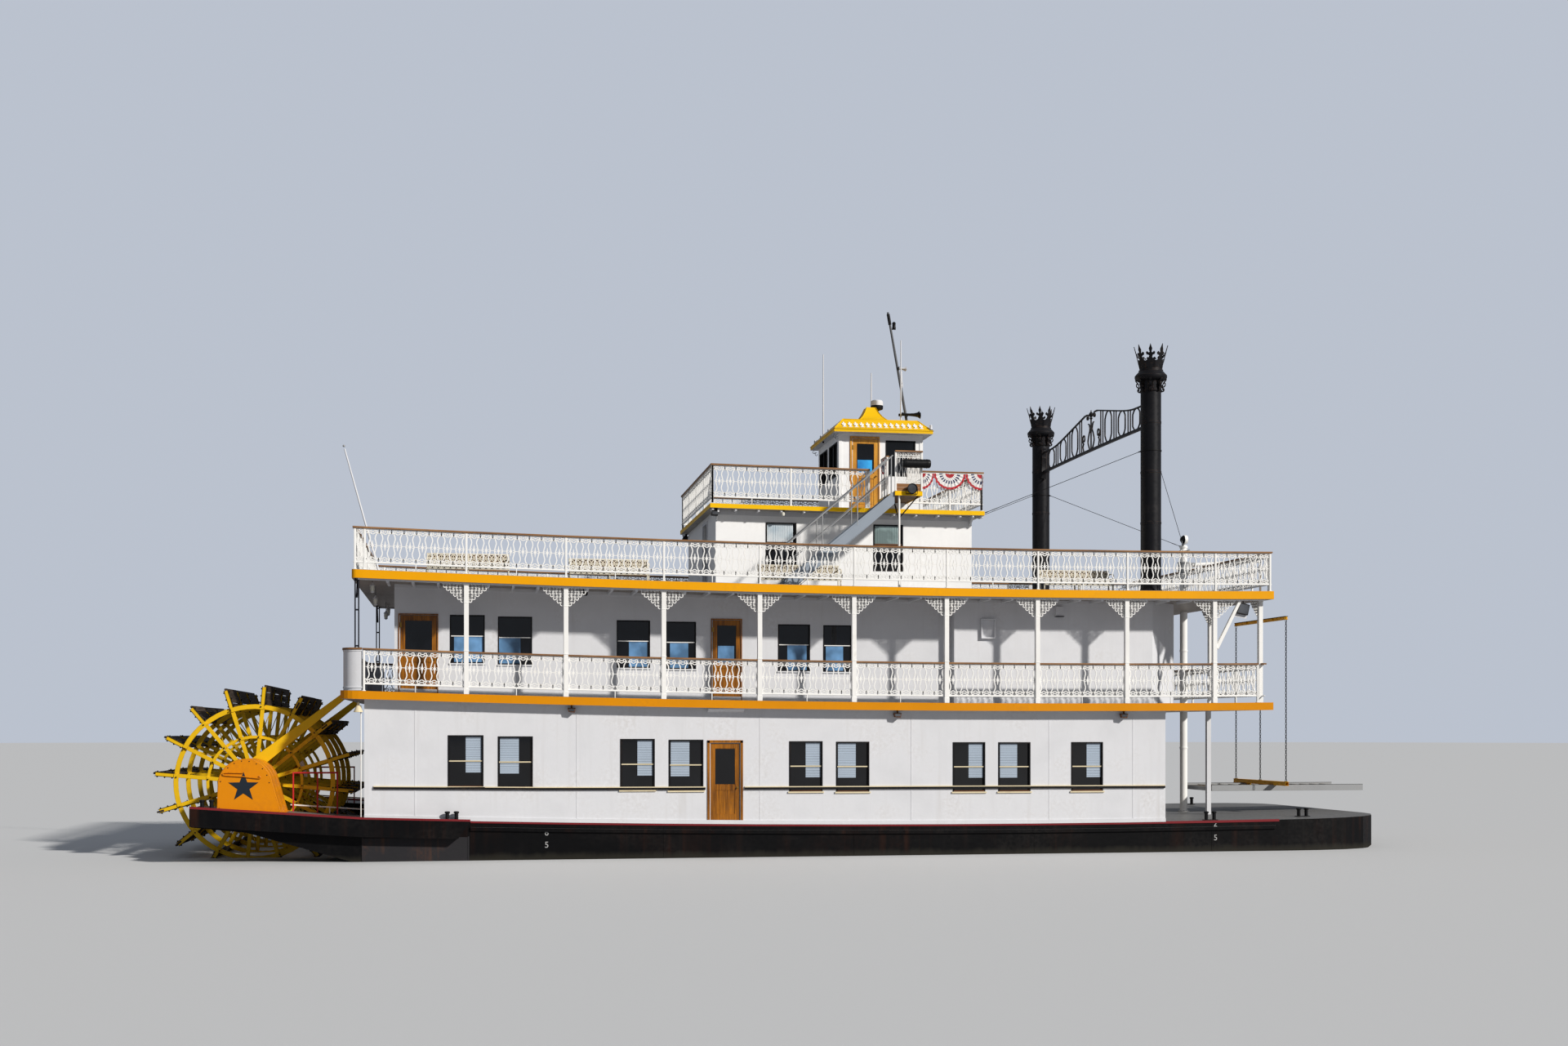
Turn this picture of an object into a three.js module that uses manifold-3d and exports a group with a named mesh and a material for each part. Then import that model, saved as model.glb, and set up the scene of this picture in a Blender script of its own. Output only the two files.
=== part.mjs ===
// Stern-wheel paddle steamer: flat-bottomed barge hull, three decks, pilot house, two stacks.
// Millimetres, +Z up, bow towards +X, starboard towards -Y, z = 0 at the flat bottom.
// x = 0 in the tables below is the aft-most bracketed column; the group is then centred.

import * as THREE from "three";
import { mergeVertices } from "three/addons/utils/BufferGeometryUtils.js";
import Module from "manifold-3d";

const wasm = await Module();
wasm.setup();

// Driving dimensions
const seam = 0.3; // gap between pieces that rest on each other
const bay = 2438; // spacing of the columns along the side decks
const sheerLowX = 14500; // where every deck is lowest
const sheerRate = 0.907e-6; // deck rise per square millimetre of distance from there
const sternTipX = -7750; // float tips of the wheel
const bowTipX = 25950; // outer end of the landing stage
const level = { main: 2010, promenade: 5140, hurricane: 8095, sun: 10340 }; // deck tops
const depth = { promenade: 200, hurricane: 215, sun: 115 }; // deck thickness at the edge
const railTop = 1050; // height of every rail cap over its deck

// Materials: colour, roughness, metalness
const paint = (color, roughness = 0.5, metalness = 0) =>
  new THREE.MeshStandardMaterial({ color, roughness, metalness });
const material = {
  hull: paint(0x101214, 0.55, 0.2),
  white: paint(0xe2e2e4, 0.6),
  deck: paint(0xd9900f, 0.55),
  sunFascia: paint(0xf6ae08, 0.5),
  rail: paint(0xe9e7e2, 0.6),
  wood: paint(0xa8652a, 0.55),
  wheel: paint(0xe6b914, 0.5, 0.1),
  cover: paint(0xe88d10, 0.5, 0.1),
  stack: paint(0x2b2d30, 0.5, 0.4),
  red: paint(0xb03036, 0.5),
  roof: paint(0xf0c314, 0.5),
  grey: paint(0x8c8f92, 0.5, 0.3),
  black: paint(0x1a1b1d, 0.6),
  cloth: paint(0xc8c0c6, 0.9),
};

// Sheer: straight runs between the column stations, so that every long piece bends alike
const curve = (x) => sheerRate * (x - sheerLowX) ** 2;
function rise(x) {
  const station = Math.floor(x / bay);
  const part = x / bay - station;
  return curve(station * bay) * (1 - part) + curve((station + 1) * bay) * part;
}
function stations(x0, x1) {
  const list = [x0];
  for (let i = Math.ceil(x0 / bay); i * bay < x1; i++) if (i * bay > x0) list.push(i * bay);
  list.push(x1);
  return list;
}

// Solids
function solid(geometry) {
  const bare = geometry.index ? geometry.toNonIndexed() : geometry.clone();
  bare.deleteAttribute("normal");
  bare.deleteAttribute("uv");
  const merged = mergeVertices(bare, 1e-3);
  return new wasm.Manifold(
    new wasm.Mesh({
      numProp: 3,
      vertProperties: new Float32Array(merged.attributes.position.array),
      triVerts: new Uint32Array(merged.index.array),
    }),
  );
}
const join = (...list) => list.flat(3).reduce((sum, item) => sum.add(item));
const cut = (body, ...tools) => tools.flat(3).reduce((sum, item) => sum.subtract(item), body);

function box(x0, x1, y0, y1, z0, z1) {
  const geometry = new THREE.BoxGeometry(x1 - x0, y1 - y0, z1 - z0);
  return solid(geometry.translate((x0 + x1) / 2, (y0 + y1) / 2, (z0 + z1) / 2));
}
function extrude(points, length, basis) {
  const shape = points instanceof THREE.Shape ? points : new THREE.Shape(points.map((p) => new THREE.Vector2(...p)));
  const geometry = new THREE.ExtrudeGeometry(shape, { depth: length, bevelEnabled: false, curveSegments: 6 });
  return basis ? geometry.applyMatrix4(basis) : geometry;
}
// An outline in x and z, extruded across from y0 to y1
const sideOn = (points, y0, y1) =>
  solid(extrude(points, y1 - y0).rotateX(Math.PI / 2).translate(0, y1, 0));
// An outline in x and y, extruded up from z0 to z1
const planOn = (points, z0, z1) => solid(extrude(points, z1 - z0).translate(0, 0, z0));
// An outline in y and z, extruded along from x0 to x1
const endBasis = new THREE.Matrix4().set(0, 0, 1, 0, 1, 0, 0, 0, 0, 1, 0, 0, 0, 0, 0, 1);
const endOn = (points, x0, x1) => solid(extrude(points, x1 - x0, endBasis).translate(x0, 0, 0));

// A long piece that follows the sheer, from low to high over its deck's base level
function run(x0, x1, y0, y1, low, high) {
  const xs = stations(x0, x1);
  const under = xs.map((x) => [x, low + rise(x)]);
  const over = xs.map((x) => [x, high + rise(x)]).reverse();
  return sideOn([...under, ...over], Math.min(y0, y1), Math.max(y0, y1));
}
// A level box whose heights are lifted by the sheer at its middle
function lifted(x0, x1, y0, y1, low, high) {
  const up = rise((x0 + x1) / 2);
  return box(x0, x1, Math.min(y0, y1), Math.max(y0, y1), low + up, high + up);
}
// Trims a body so that it stands on a deck, or hangs under one, with the seam between them
const standOn = (body, deckTop, x0, x1) =>
  body.subtract(run(x0 - 90, x1 + 90, -6000, 6000, deckTop - 900, deckTop + seam));
const hangUnder = (body, underside, x0, x1) =>
  body.subtract(run(x0 - 90, x1 + 90, -6000, 6000, underside - seam, underside + 900));
// A straight bar of square or round section between two points
function bar(from, to, width, sides = 4) {
  const a = new THREE.Vector3(...from);
  const b = new THREE.Vector3(...to);
  const geometry = new THREE.CylinderGeometry(width / 2, width / 2, a.distanceTo(b), sides);
  const turn = new THREE.Quaternion().setFromUnitVectors(
    new THREE.Vector3(0, 1, 0),
    b.clone().sub(a).normalize(),
  );
  geometry.applyQuaternion(turn).translate((a.x + b.x) / 2, (a.y + b.y) / 2, (a.z + b.z) / 2);
  return solid(geometry);
}
// An upright round bar or pin
const post = (x, y, z0, z1, radius, sides = 12) =>
  solid(new THREE.CylinderGeometry(radius, radius, z1 - z0, sides).rotateX(Math.PI / 2).translate(x, y, (z0 + z1) / 2));

// An upright faceted hole that a pin of this radius and the same facets turns in, a hair clear of it
const facets = 16;
const socket = (radius, length) =>
  post(0, 0, 0, length, (radius + 0.4) / Math.cos(Math.PI / facets), facets).rotate([0, 0, 180 / facets]);

const group = new THREE.Group();
group.position.x = -(sternTipX + bowTipX) / 2;
function add(name, body, finish, place = [0, 0, 0], parent = group) {
  const mesh = body.getMesh();
  const geometry = new THREE.BufferGeometry();
  geometry.setAttribute("position", new THREE.BufferAttribute(Float32Array.from(mesh.vertProperties), 3));
  geometry.setIndex(new THREE.BufferAttribute(Uint32Array.from(mesh.triVerts), 1));
  geometry.computeVertexNormals();
  const piece = new THREE.Mesh(geometry, finish);
  piece.name = name;
  piece.position.set(...place);
  parent.add(piece);
  return piece;
}
const sides = [
  { name: "starboard", out: -1 },
  { name: "port", out: 1 },
];

// Hull: raked barge bow, transom between two stern horns, guards along the after body
const hull = {
  half: 5100, guardHalf: 5400, transomX: -2500, bowX: 25000, hornInner: 3400, hornX: -6530,
  hornTopZ: 2560, hornLowZ: 2100, keelFrontX: 20500, keelBackX: 1500, transomLowZ: 450,
  headlogLowZ: 1400, bowShoulderX: 21500, bowHalf: 2700, guardDepth: 430, guardFrontX: 100,
};
const rudder = { x: -2750, y: 1800, stock: 55, lowZ: 150, bladeTopZ: 1150, topZ: 1800, tailX: -3550, noseX: -2610 };
function buildHull() {
  const deck = stations(hull.transomX, hull.bowX).map((x) => [x, level.main + rise(x)]).reverse();
  const profile = sideOn(
    [
      [hull.transomX, hull.transomLowZ], [hull.keelBackX, 0], [hull.keelFrontX, 0],
      [hull.bowX, hull.headlogLowZ], ...deck,
    ],
    -hull.half, hull.half,
  );
  const plan = new THREE.Shape();
  plan.moveTo(hull.transomX - 10, -hull.half - 10);
  plan.lineTo(hull.bowShoulderX, -hull.half - 10);
  plan.quadraticCurveTo(hull.bowX, -hull.half, hull.bowX + 10, -hull.bowHalf);
  plan.lineTo(hull.bowX + 10, hull.bowHalf);
  plan.quadraticCurveTo(hull.bowX, hull.half, hull.bowShoulderX, hull.half + 10);
  plan.lineTo(hull.transomX - 10, hull.half + 10);
  let body = profile.intersect(planOn(plan, -10, 4000));
  const startZ = level.main + rise(hull.transomX);
  for (const side of sides) {
    const horn = sideOn(
      [
        [hull.hornX, hull.hornLowZ], [-5240, 1960], [hull.transomX, 1150], [hull.transomX + 50, 1150],
        [hull.transomX + 50, startZ - 5], [hull.transomX, startZ], [hull.hornX, hull.hornTopZ],
      ],
      Math.min(side.out * hull.hornInner, side.out * hull.half),
      Math.max(side.out * hull.hornInner, side.out * hull.half),
    );
    const top = stations(hull.transomX, hull.guardFrontX).map((x) => [x, level.main + rise(x)]);
    const low = stations(hull.transomX, hull.guardFrontX - 300).reverse()
      .map((x) => [x, level.main + rise(x) - hull.guardDepth]);
    const guard = sideOn(
      [...low, [hull.hornX, hull.hornTopZ - hull.guardDepth], [hull.hornX, hull.hornTopZ], ...top],
      Math.min(side.out * (hull.half - 5), side.out * hull.guardHalf),
      Math.max(side.out * (hull.half - 5), side.out * hull.guardHalf),
    );
    body = body.add(horn).add(guard);
    // Two brackets carry each rudder stock
    for (const z of [1230, 1680]) {
      const y = side.out * rudder.y;
      const bracket = box(rudder.x - 130, hull.transomX + 40, y - 110, y + 110, z, z + 70);
      body = body.add(cut(bracket, socket(rudder.stock, 90).translate([rudder.x, y, z - 10])));
    }
  }
  return body;
}
add("hull", buildHull(), material.hull);

// Rudders: balanced plates on stocks under the wheel
for (const side of sides) {
  const blade = box(rudder.tailX - rudder.x, rudder.noseX - rudder.x, -30, 30, rudder.lowZ, rudder.bladeTopZ);
  const stock = post(0, 0, rudder.lowZ, rudder.topZ, rudder.stock, facets);
  add(`rudder_${side.name}`, blade.add(stock), material.black, [rudder.x, side.out * rudder.y, 0]);
}

// Decks
const fascia = 5400;
function deckPlan(x0, x1, half, radius) {
  const shape = new THREE.Shape();
  shape.moveTo(x0, -half + radius);
  shape.quadraticCurveTo(x0, -half, x0 + radius, -half);
  shape.lineTo(x1, -half);
  shape.lineTo(x1, half);
  shape.lineTo(x0 + radius, half);
  shape.quadraticCurveTo(x0, half, x0, half - radius);
  return shape;
}
const deckEnds = { promenadeAft: -3040, promenadeFore: 21100, hurricaneAft: -2750, hurricaneFore: 21120 };
const mast = { x: 20800, radius: 110, footZ: level.main, topZ: 9880 };
const mastHole = (z0, z1) => post(mast.x, 0, z0, z1, mast.radius + 2, 16);
function slab(x0, x1, half, top, thick, radius) {
  return run(x0, x1, -half, half, top - thick, top).intersect(planOn(deckPlan(x0, x1, half, radius), 0, 12000));
}
add(
  "promenade_deck",
  cut(slab(deckEnds.promenadeAft, deckEnds.promenadeFore, fascia, level.promenade, depth.promenade, 450), mastHole(4000, 6000)),
  material.deck,
);
// Benches facing out along both sides of the hurricane deck, their feet let into it
const benchEnds = [[-990, 1080], [2590, 4640], [7510, 9680], [15190, 17150]]; // x0, x1
const bench = { backY: 3650, frontY: 4110, seatZ: 400, apron: 110, topZ: 800, frame: 45, bars: 3 };
function buildBench(x0, x1, out) {
  const up = level.hurricane + rise((x0 + x1) / 2);
  const at = (a, b, near, far, low, high) =>
    box(a, b, Math.min(out * near, out * far), Math.max(out * near, out * far), up + low, up + high);
  const { backY, frontY, frame } = bench;
  const pieces = [at(x0, x1, backY, frontY, bench.seatZ - bench.apron, bench.seatZ)];
  for (const x of [x0, x1 - frame]) {
    pieces.push(at(x, x + frame, backY + 2, frontY - 2, -60, bench.seatZ - 5));
    pieces.push(at(x, x + frame, backY, backY + frame, bench.seatZ - 5, bench.topZ - 5));
  }
  pieces.push(at(x0, x1, backY, backY + frame, bench.topZ - frame, bench.topZ));
  for (let i = 1; i <= bench.bars; i++) {
    const x = x0 + ((x1 - x0) * i) / (bench.bars + 1);
    pieces.push(at(x - 60, x + 60, backY + 10, backY + frame - 10, bench.seatZ - 5, bench.topZ - frame + 5));
  }
  return join(pieces);
}
add(
  "hurricane_deck",
  join(
    cut(slab(deckEnds.hurricaneAft, deckEnds.hurricaneFore, fascia, level.hurricane, depth.hurricane, 120), mastHole(7000, 9000)),
    sides.flatMap((side) => benchEnds.map(([x0, x1]) => buildBench(x0, x1, side.out))),
  ),
  material.deck,
);
const sunDeck = { aft: 6300, fore: 13750, half: 3400 };
add("sun_deck", run(sunDeck.aft, sunDeck.fore, -sunDeck.half, sunDeck.half, level.sun - depth.sun, level.sun), material.sunFascia);

// Main deck cabin: four walls with windows, each thick as the real panel
const wall = 70;
const mainCabin = { aft: -2460, fore: 18200, half: 5100, doorX: [6080, 6830] };
const mainWindows = [ // x0, x1
  [-450, 420], [770, 1630], [3800, 4670], [5020, 5900], [8100, 8970], [9320, 10190], [12400, 13270], [13620, 14490],
  [15600, 16470],
];
const mainTop = level.promenade - depth.promenade - seam;
const mainBase = level.main + seam;
const mainDoorHead = 4050;
for (const side of sides) {
  const y0 = side.out * mainCabin.half;
  const y1 = side.out * (mainCabin.half - wall);
  let panel = run(mainCabin.aft, mainCabin.fore, y0, y1, mainBase, mainTop);
  const over = side.out * (mainCabin.half + 20);
  const under = side.out * (mainCabin.half - wall - 20);
  for (const [x0, x1] of mainWindows) panel = panel.subtract(lifted(x0, x1, over, under, 2850, 4130));
  const [d0, d1] = mainCabin.doorX;
  panel = panel.subtract(lifted(d0, d1, over, under, level.main - 100, mainDoorHead));
  add(`main_cabin_side_${side.name}`, panel, material.white);
}
const mainInner = mainCabin.half - wall - seam;
add(
  "main_cabin_aft_wall",
  cut(
    run(mainCabin.aft, mainCabin.aft + wall, -mainInner, mainInner, mainBase, mainTop),
    lifted(mainCabin.aft - 20, mainCabin.aft + wall + 20, -4400, -3500, level.main + 60, 4000),
  ),
  material.white,
);
add(
  "main_cabin_front_wall",
  cut(
    run(mainCabin.fore - wall, mainCabin.fore, -mainInner, mainInner, mainBase, mainTop),
    lifted(mainCabin.fore - wall - 20, mainCabin.fore + 20, -600, 600, level.main + 40, 4050),
    [-4200, -2600, 1700, 3300].map((y) => lifted(mainCabin.fore - wall - 20, mainCabin.fore + 20, y, y + 900, 2850, 4130)),
  ),
  material.white,
);

// Promenade cabin: its fore part stands further out from a step, and has cut corners at the end
const promCabin = { aft: -1780, fore: 19140, half: 4000, stepX: 12660, foreHalf: 4350, cutX: 18130, cutHalf: 3340 };
const promDoors = [ // x0, x1, head over the base level
  { name: "aft", x0: -1640, x1: -730, head: 7120 },
  { name: "forward", x0: 6280, x1: 7020, head: 7240 },
];
const promWindows = [[-410, 460], [790, 1650], [3800, 4660], [5060, 5850], [8000, 8850], [9200, 9970]];
const promTop = level.hurricane - depth.hurricane - seam;
const promBase = level.promenade + seam;
for (const side of sides) {
  const y0 = side.out * promCabin.half;
  const y1 = side.out * (promCabin.half - wall);
  const over = side.out * (promCabin.half + 20);
  const under = side.out * (promCabin.half - wall - 20);
  const foreY = side.out * promCabin.foreHalf;
  let panel = join(
    run(promCabin.aft, promCabin.stepX + wall, y0, y1, promBase, promTop),
    run(promCabin.stepX, promCabin.stepX + wall, y1, foreY, promBase, promTop),
    run(promCabin.stepX, promCabin.cutX, foreY, side.out * (promCabin.foreHalf - wall), promBase, promTop),
  );
  for (const [x0, x1] of promWindows) panel = panel.subtract(lifted(x0, x1, over, under, 5950, 7170));
  for (const door of promDoors) panel = panel.subtract(lifted(door.x0, door.x1, over, under, level.promenade + 30, door.head));
  add(`promenade_cabin_side_${side.name}`, panel, material.white);
}
const promInner = promCabin.half - wall - seam;
add(
  "promenade_cabin_aft_wall",
  cut(
    run(promCabin.aft, promCabin.aft + wall, -promInner, promInner, promBase, promTop),
    lifted(promCabin.aft - 20, promCabin.aft + wall + 20, -2400, -1200, 5950, 7170),
    lifted(promCabin.aft - 20, promCabin.aft + wall + 20, 1200, 2400, 5950, 7170),
  ),
  material.white,
);
function frontWall() {
  const a = promCabin.cutX + seam;
  const t = wall;
  const slant = t * Math.SQRT2;
  const outline = [
    [a, -promCabin.foreHalf], [promCabin.fore, -promCabin.cutHalf], [promCabin.fore, promCabin.cutHalf],
    [a, promCabin.foreHalf], [a, promCabin.foreHalf - slant], [promCabin.fore - t, promCabin.cutHalf - slant + t],
    [promCabin.fore - t, -promCabin.cutHalf + slant - t], [a, -promCabin.foreHalf + slant],
  ];
  const band = run(a, promCabin.fore, -promCabin.foreHalf, promCabin.foreHalf, promBase, promTop);
  const windows = [-2700, -1500, 600, 1800].map((y) => lifted(promCabin.fore - t - 30, promCabin.fore + 30, y, y + 900, 5950, 7170));
  const door = lifted(promCabin.fore - t - 30, promCabin.fore + 30, -430, 430, level.promenade + 30, 7170);
  return cut(band.intersect(planOn(outline, 4000, 9000)), windows, door);
}
add("promenade_cabin_front_wall", frontWall(), material.white);

// Columns, lace brackets and rail of the promenade deck
const column = { y: 5250, width: 120, bracketLong: 480, bracketTall: 430, bracketThick: 30 };
const rail = { capWide: 110, capThick: 45, panelLow: 190, panelThick: 16, post: 50 };
// One straight rail run along the sheer: cap, lace panel and posts
function sideRail(x0, x1, y, base, postXs) {
  const top = base + railTop;
  return join(
    run(x0, x1, y - rail.capWide / 2, y + rail.capWide / 2, top - rail.capThick, top),
    run(x0, x1, y - rail.panelThick / 2, y + rail.panelThick / 2, base + rail.panelLow, top - rail.capThick + 1),
    postXs.map((x) => run(x - rail.post / 2, x + rail.post / 2, y - 25, y + 25, base + seam, top - rail.capThick + 5)),
  );
}
// The same athwart the deck, at one x
function crossRail(x, y0, y1, base, postYs) {
  const top = base + railTop;
  return join(
    run(x - rail.capWide / 2, x + rail.capWide / 2, y0, y1, top - rail.capThick, top),
    run(x - rail.panelThick / 2, x + rail.panelThick / 2, y0, y1, base + rail.panelLow, top - rail.capThick + 1),
    postYs.map((y) => run(x - 25, x + 25, y - rail.post / 2, y + rail.post / 2, base + seam, top - rail.capThick + 5)),
  );
}
const steps = (from, to, step) => {
  const list = [];
  for (let value = from; value <= to + 1; value += step) list.push(value);
  return list;
};
const columnXs = steps(0, 8 * bay, bay);
const bracketShape = (s) => [[0, 0], [s * column.bracketLong, 0], [s * column.bracketLong * 0.45, -column.bracketTall * 0.4], [0, -column.bracketTall]];
for (const side of sides) {
  const y = side.out * column.y;
  const half = column.width / 2;
  const pieces = [sideRail(-2490, 20730, y, level.promenade, steps(-bay / 2, 8.5 * bay, bay))];
  for (const x of columnXs) {
    const headZ = promTop + rise(x);
    pieces.push(run(x - half, x + half, y - half, y + half, promBase, promTop));
    for (const s of [-1, 1]) {
      const slope = (rise(x + s * column.bracketLong) - rise(x)) / column.bracketLong;
      const outline = bracketShape(s).map(([u, v]) => [x + u, headZ + v + slope * Math.abs(u)]);
      pieces.push(sideOn(s > 0 ? [...outline].reverse() : outline, y - 15, y + 15));
    }
  }
  // Brace from the foremost column up to the deck's edge beam
  const foremost = columnXs[columnXs.length - 1];
  pieces.push(
    bar(
      [foremost + 20, y, level.promenade + rise(foremost) + 1480], [foremost + 680, y, promTop + rise(foremost + 680) - 20], 80, 6,
    ).intersect(run(foremost, foremost + 900, y - 100, y + 100, promBase, promTop)),
  );
  add(`colonnade_${side.name}`, join(pieces), material.rail);
}
// Solid bulwark round the after end, with the dark corner posts above it
function aftBulwark() {
  const out = deckPlan(-2975, -2500, 5310, 450);
  const inn = deckPlan(-2915, -2400, 5250, 390);
  const ring = cut(planOn(out, 5000, 7000), planOn(inn, 4900, 7100));
  const cap = cut(planOn(deckPlan(-3000, -2500, 5335, 470), 5000, 7000), planOn(deckPlan(-2890, -2400, 5225, 370), 4900, 7100));
  const wallBand = run(-3100, -2500, -5400, 5400, level.promenade + seam, level.promenade + railTop - rail.capThick + 1);
  const capBand = run(-3100, -2500, -5400, 5400, level.promenade + railTop - rail.capThick, level.promenade + railTop);
  const posts = sides.map((side) => run(-2675, -2575, side.out * 5240, side.out * 5330, level.promenade + railTop - 5, promTop));
  return join(ring.intersect(wallBand), cap.intersect(capBand), posts);
}
add("aft_bulwark", aftBulwark(), material.white);
function frontColonnade() {
  const x = 20800;
  const ys = [-5100, -1800, 1800, 5100];
  const half = column.width / 2;
  const headZ = promTop + rise(x);
  const pieces = [crossRail(x + 100, -5300, 5300, level.promenade, [-3450, 3450])];
  for (const y of ys) {
    pieces.push(run(x - half + 60, x + half + 60, y - half, y + half, promBase, promTop));
    for (const s of [-1, 1]) {
      if (Math.abs(y + s * column.bracketLong) > 5300) continue;
      const outline = bracketShape(s).map(([u, v]) => [y + u, headZ + v]);
      pieces.push(endOn(s > 0 ? [...outline].reverse() : outline, x + 45, x + 75));
    }
  }
  return cut(join(pieces), mastHole(4000, 9000));
}
add("front_colonnade", frontColonnade(), material.rail);
// Foredeck columns under the promenade deck's overhang
for (const side of sides) {
  const y = side.out * 1800;
  add(`foredeck_column_${side.name}`, run(20740, 20860, y - 60, y + 60, mainBase, mainTop), material.white);
}

// Rails of the hurricane deck
const hurricaneRail = { y: 5320, aftX: -2670, foreX: 21040 };
for (const side of sides) {
  const xs = steps(-bay, 8.5 * bay, bay / 2);
  add(
    `hurricane_rail_${side.name}`,
    sideRail(hurricaneRail.aftX - 55, hurricaneRail.foreX + 55, side.out * hurricaneRail.y, level.hurricane, xs),
    material.rail,
  );
}
const crossHalf = hurricaneRail.y - rail.capWide / 2 - seam;
const crossPosts = steps(-4800, 4800, 1200);
add("hurricane_rail_aft", crossRail(hurricaneRail.aftX, -crossHalf, crossHalf, level.hurricane, crossPosts), material.rail);
add("hurricane_rail_front", crossRail(hurricaneRail.foreX, -crossHalf, crossHalf, level.hurricane, crossPosts), material.rail);

// Texas cabin between the hurricane deck and the sun deck
const texas = { aft: 6500, fore: 13500, half: 3000 };
const texasBase = level.hurricane + seam;
const texasTop = level.sun - depth.sun - seam;
add(
  "texas_cabin",
  cut(
    run(texas.aft, texas.fore, -texas.half, texas.half, texasBase, texasTop),
    box(texas.aft + wall, texas.fore - wall, -texas.half + wall, texas.half - wall, 8000, 10500),
    [[7840, 8670], [10770, 11590]].map(([x0, x1]) => box(x0, x1, -texas.half - 50, texas.half + 50, 8720, 9970)),
    box(texas.aft - 50, texas.aft + wall + 50, -1350, -500, 8150, 10080),
  ),
  material.white,
);

// Rail round the sun deck, open at the stair landing
function sunRail() {
  const y = sunDeck.half - 70;
  const [aft, fore] = [sunDeck.aft + 70, sunDeck.fore - 70];
  const gap = { x0: 10570, x1: 11640 };
  return join(
    sideRail(aft - 55, gap.x0, -y, level.sun, [7500, 8700, 9700, gap.x0 - 30]),
    sideRail(gap.x1, fore + 55, -y, level.sun, [gap.x1 + 30, 12800]),
    sideRail(aft - 55, fore + 55, y, level.sun, [7500, 8700, 9900, 11100, 12300]),
    crossRail(aft, -y, y, level.sun, [-3330, -1650, 0, 1650, 3330]),
    crossRail(fore, -y, y, level.sun, [-3330, -1650, 0, 1650, 3330]),
  );
}
add("sun_deck_rail", sunRail(), material.rail);

// Stair landing beside the sun deck, and the stair up to it
const landing = { x0: 10870, x1: 11600, y0: -5090, y1: -3400, lowZ: 10490, floorZ: 10610, railZ: 11650, postX: 11000, postY: -5000 };
landing.roll = { x0: 11040, x1: 11780, z: 11305, radius: 115 };
landing.lamp = { x: 11300, z: 10660, radius: 135 };
function cylinderAlong(axis, from, to, u, v, radius, sides) {
  const body = solid(new THREE.CylinderGeometry(radius, radius, to - from, sides));
  if (axis === "x") return body.rotate([0, 0, -90]).translate([(from + to) / 2, u, v]);
  return body.translate([u, (from + to) / 2, v]);
}
function buildLanding() {
  const post4 = (x, y) => box(x - 20, x + 20, y - 20, y + 20, landing.floorZ - 5, landing.railZ);
  const top = landing.railZ;
  const body = join(
    box(landing.x0, landing.x1, landing.y0, -3150, landing.lowZ, landing.floorZ),
    box(landing.x0, landing.x1, -3360, -3150, level.sun - 50, landing.lowZ + 5),
    box(landing.x0, landing.x1, landing.y0, landing.y0 + 45, top - 45, top),
    box(landing.x1 - 45, landing.x1, landing.y0, -3500, top - 45, top),
    box(landing.x0, landing.x1, landing.y0 + 15, landing.y0 + 27, landing.floorZ + 200, top - 40),
    box(landing.x1 - 30, landing.x1 - 18, landing.y0, -3500, landing.floorZ + 200, top - 40),
    box(landing.x0, landing.x0 + 45, -4150, -3500, top - 45, top),
    box(landing.x0 + 15, landing.x0 + 27, -4150, -3500, landing.floorZ + 200, top - 40),
    // Covered roll hung outside the rail, and the round floodlight at the floor's edge
    cylinderAlong("x", landing.roll.x0, landing.roll.x1, landing.y0 - landing.roll.radius + 8, landing.roll.z, landing.roll.radius, 10),
    cylinderAlong("y", landing.y0 - 140, landing.y0 + 30, landing.lamp.x, landing.lamp.z, landing.lamp.radius, 12),
    [[landing.x0 + 22, landing.y0 + 22], [landing.x1 - 22, landing.y0 + 22], [landing.x1 - 22, -3520], [landing.x0 + 22, -4130], [landing.x0 + 22, -3520]].map(
      ([x, y]) => post4(x, y),
    ),
  );
  const pole = post(landing.postX, landing.postY, level.hurricane - 20, landing.lowZ + 5, 30, 10);
  return join(
    standOn(body, level.sun, landing.x0, landing.x1),
    standOn(pole, level.hurricane, landing.postX - 50, landing.postX + 50),
  );
}
add("stair_landing", buildLanding(), material.white);
const stair = { x0: 8000, x1: 10870 - seam, treads: 12, y0: -5050, y1: -4250, plate: 40 };
function buildStair() {
  const footZ = level.hurricane + rise(stair.x0);
  const climb = landing.floorZ - footZ;
  const length = stair.x1 - stair.x0;
  const slope = climb / length;
  const at = (x) => footZ + (x - stair.x0) * slope;
  const stringer = (y) =>
    sideOn(
      [
        [stair.x0, footZ - 40], [stair.x0 + 260, footZ - 40], [stair.x1, at(stair.x1) - 330], [stair.x1, at(stair.x1)],
        [stair.x0, footZ + 120],
      ],
      y, y + stair.plate,
    );
  const pieces = [stringer(stair.y0), stringer(stair.y1 - stair.plate)];
  for (let i = 1; i < stair.treads; i++) {
    const x = stair.x0 + (length * i) / stair.treads;
    pieces.push(box(x - 40, x + 210, stair.y0 + 5, stair.y1 - 5, at(x) - 90, at(x) - 50));
  }
  for (const y of [stair.y0 + 20, stair.y1 - 20]) {
    pieces.push(bar([stair.x0, y, at(stair.x0) + 1000], [stair.x1 - 30, y, at(stair.x1 - 30) + 950], 50, 6));
    for (const t of [0.02, 0.34, 0.66, 0.97]) {
      const x = stair.x0 + length * t;
      pieces.push(box(x - 18, x + 18, y - 18, y + 18, at(x) - 60, at(x) + 985));
    }
  }
  return standOn(join(pieces), level.hurricane, stair.x0, stair.x1);
}
add("stair", buildStair(), material.grey);

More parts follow.
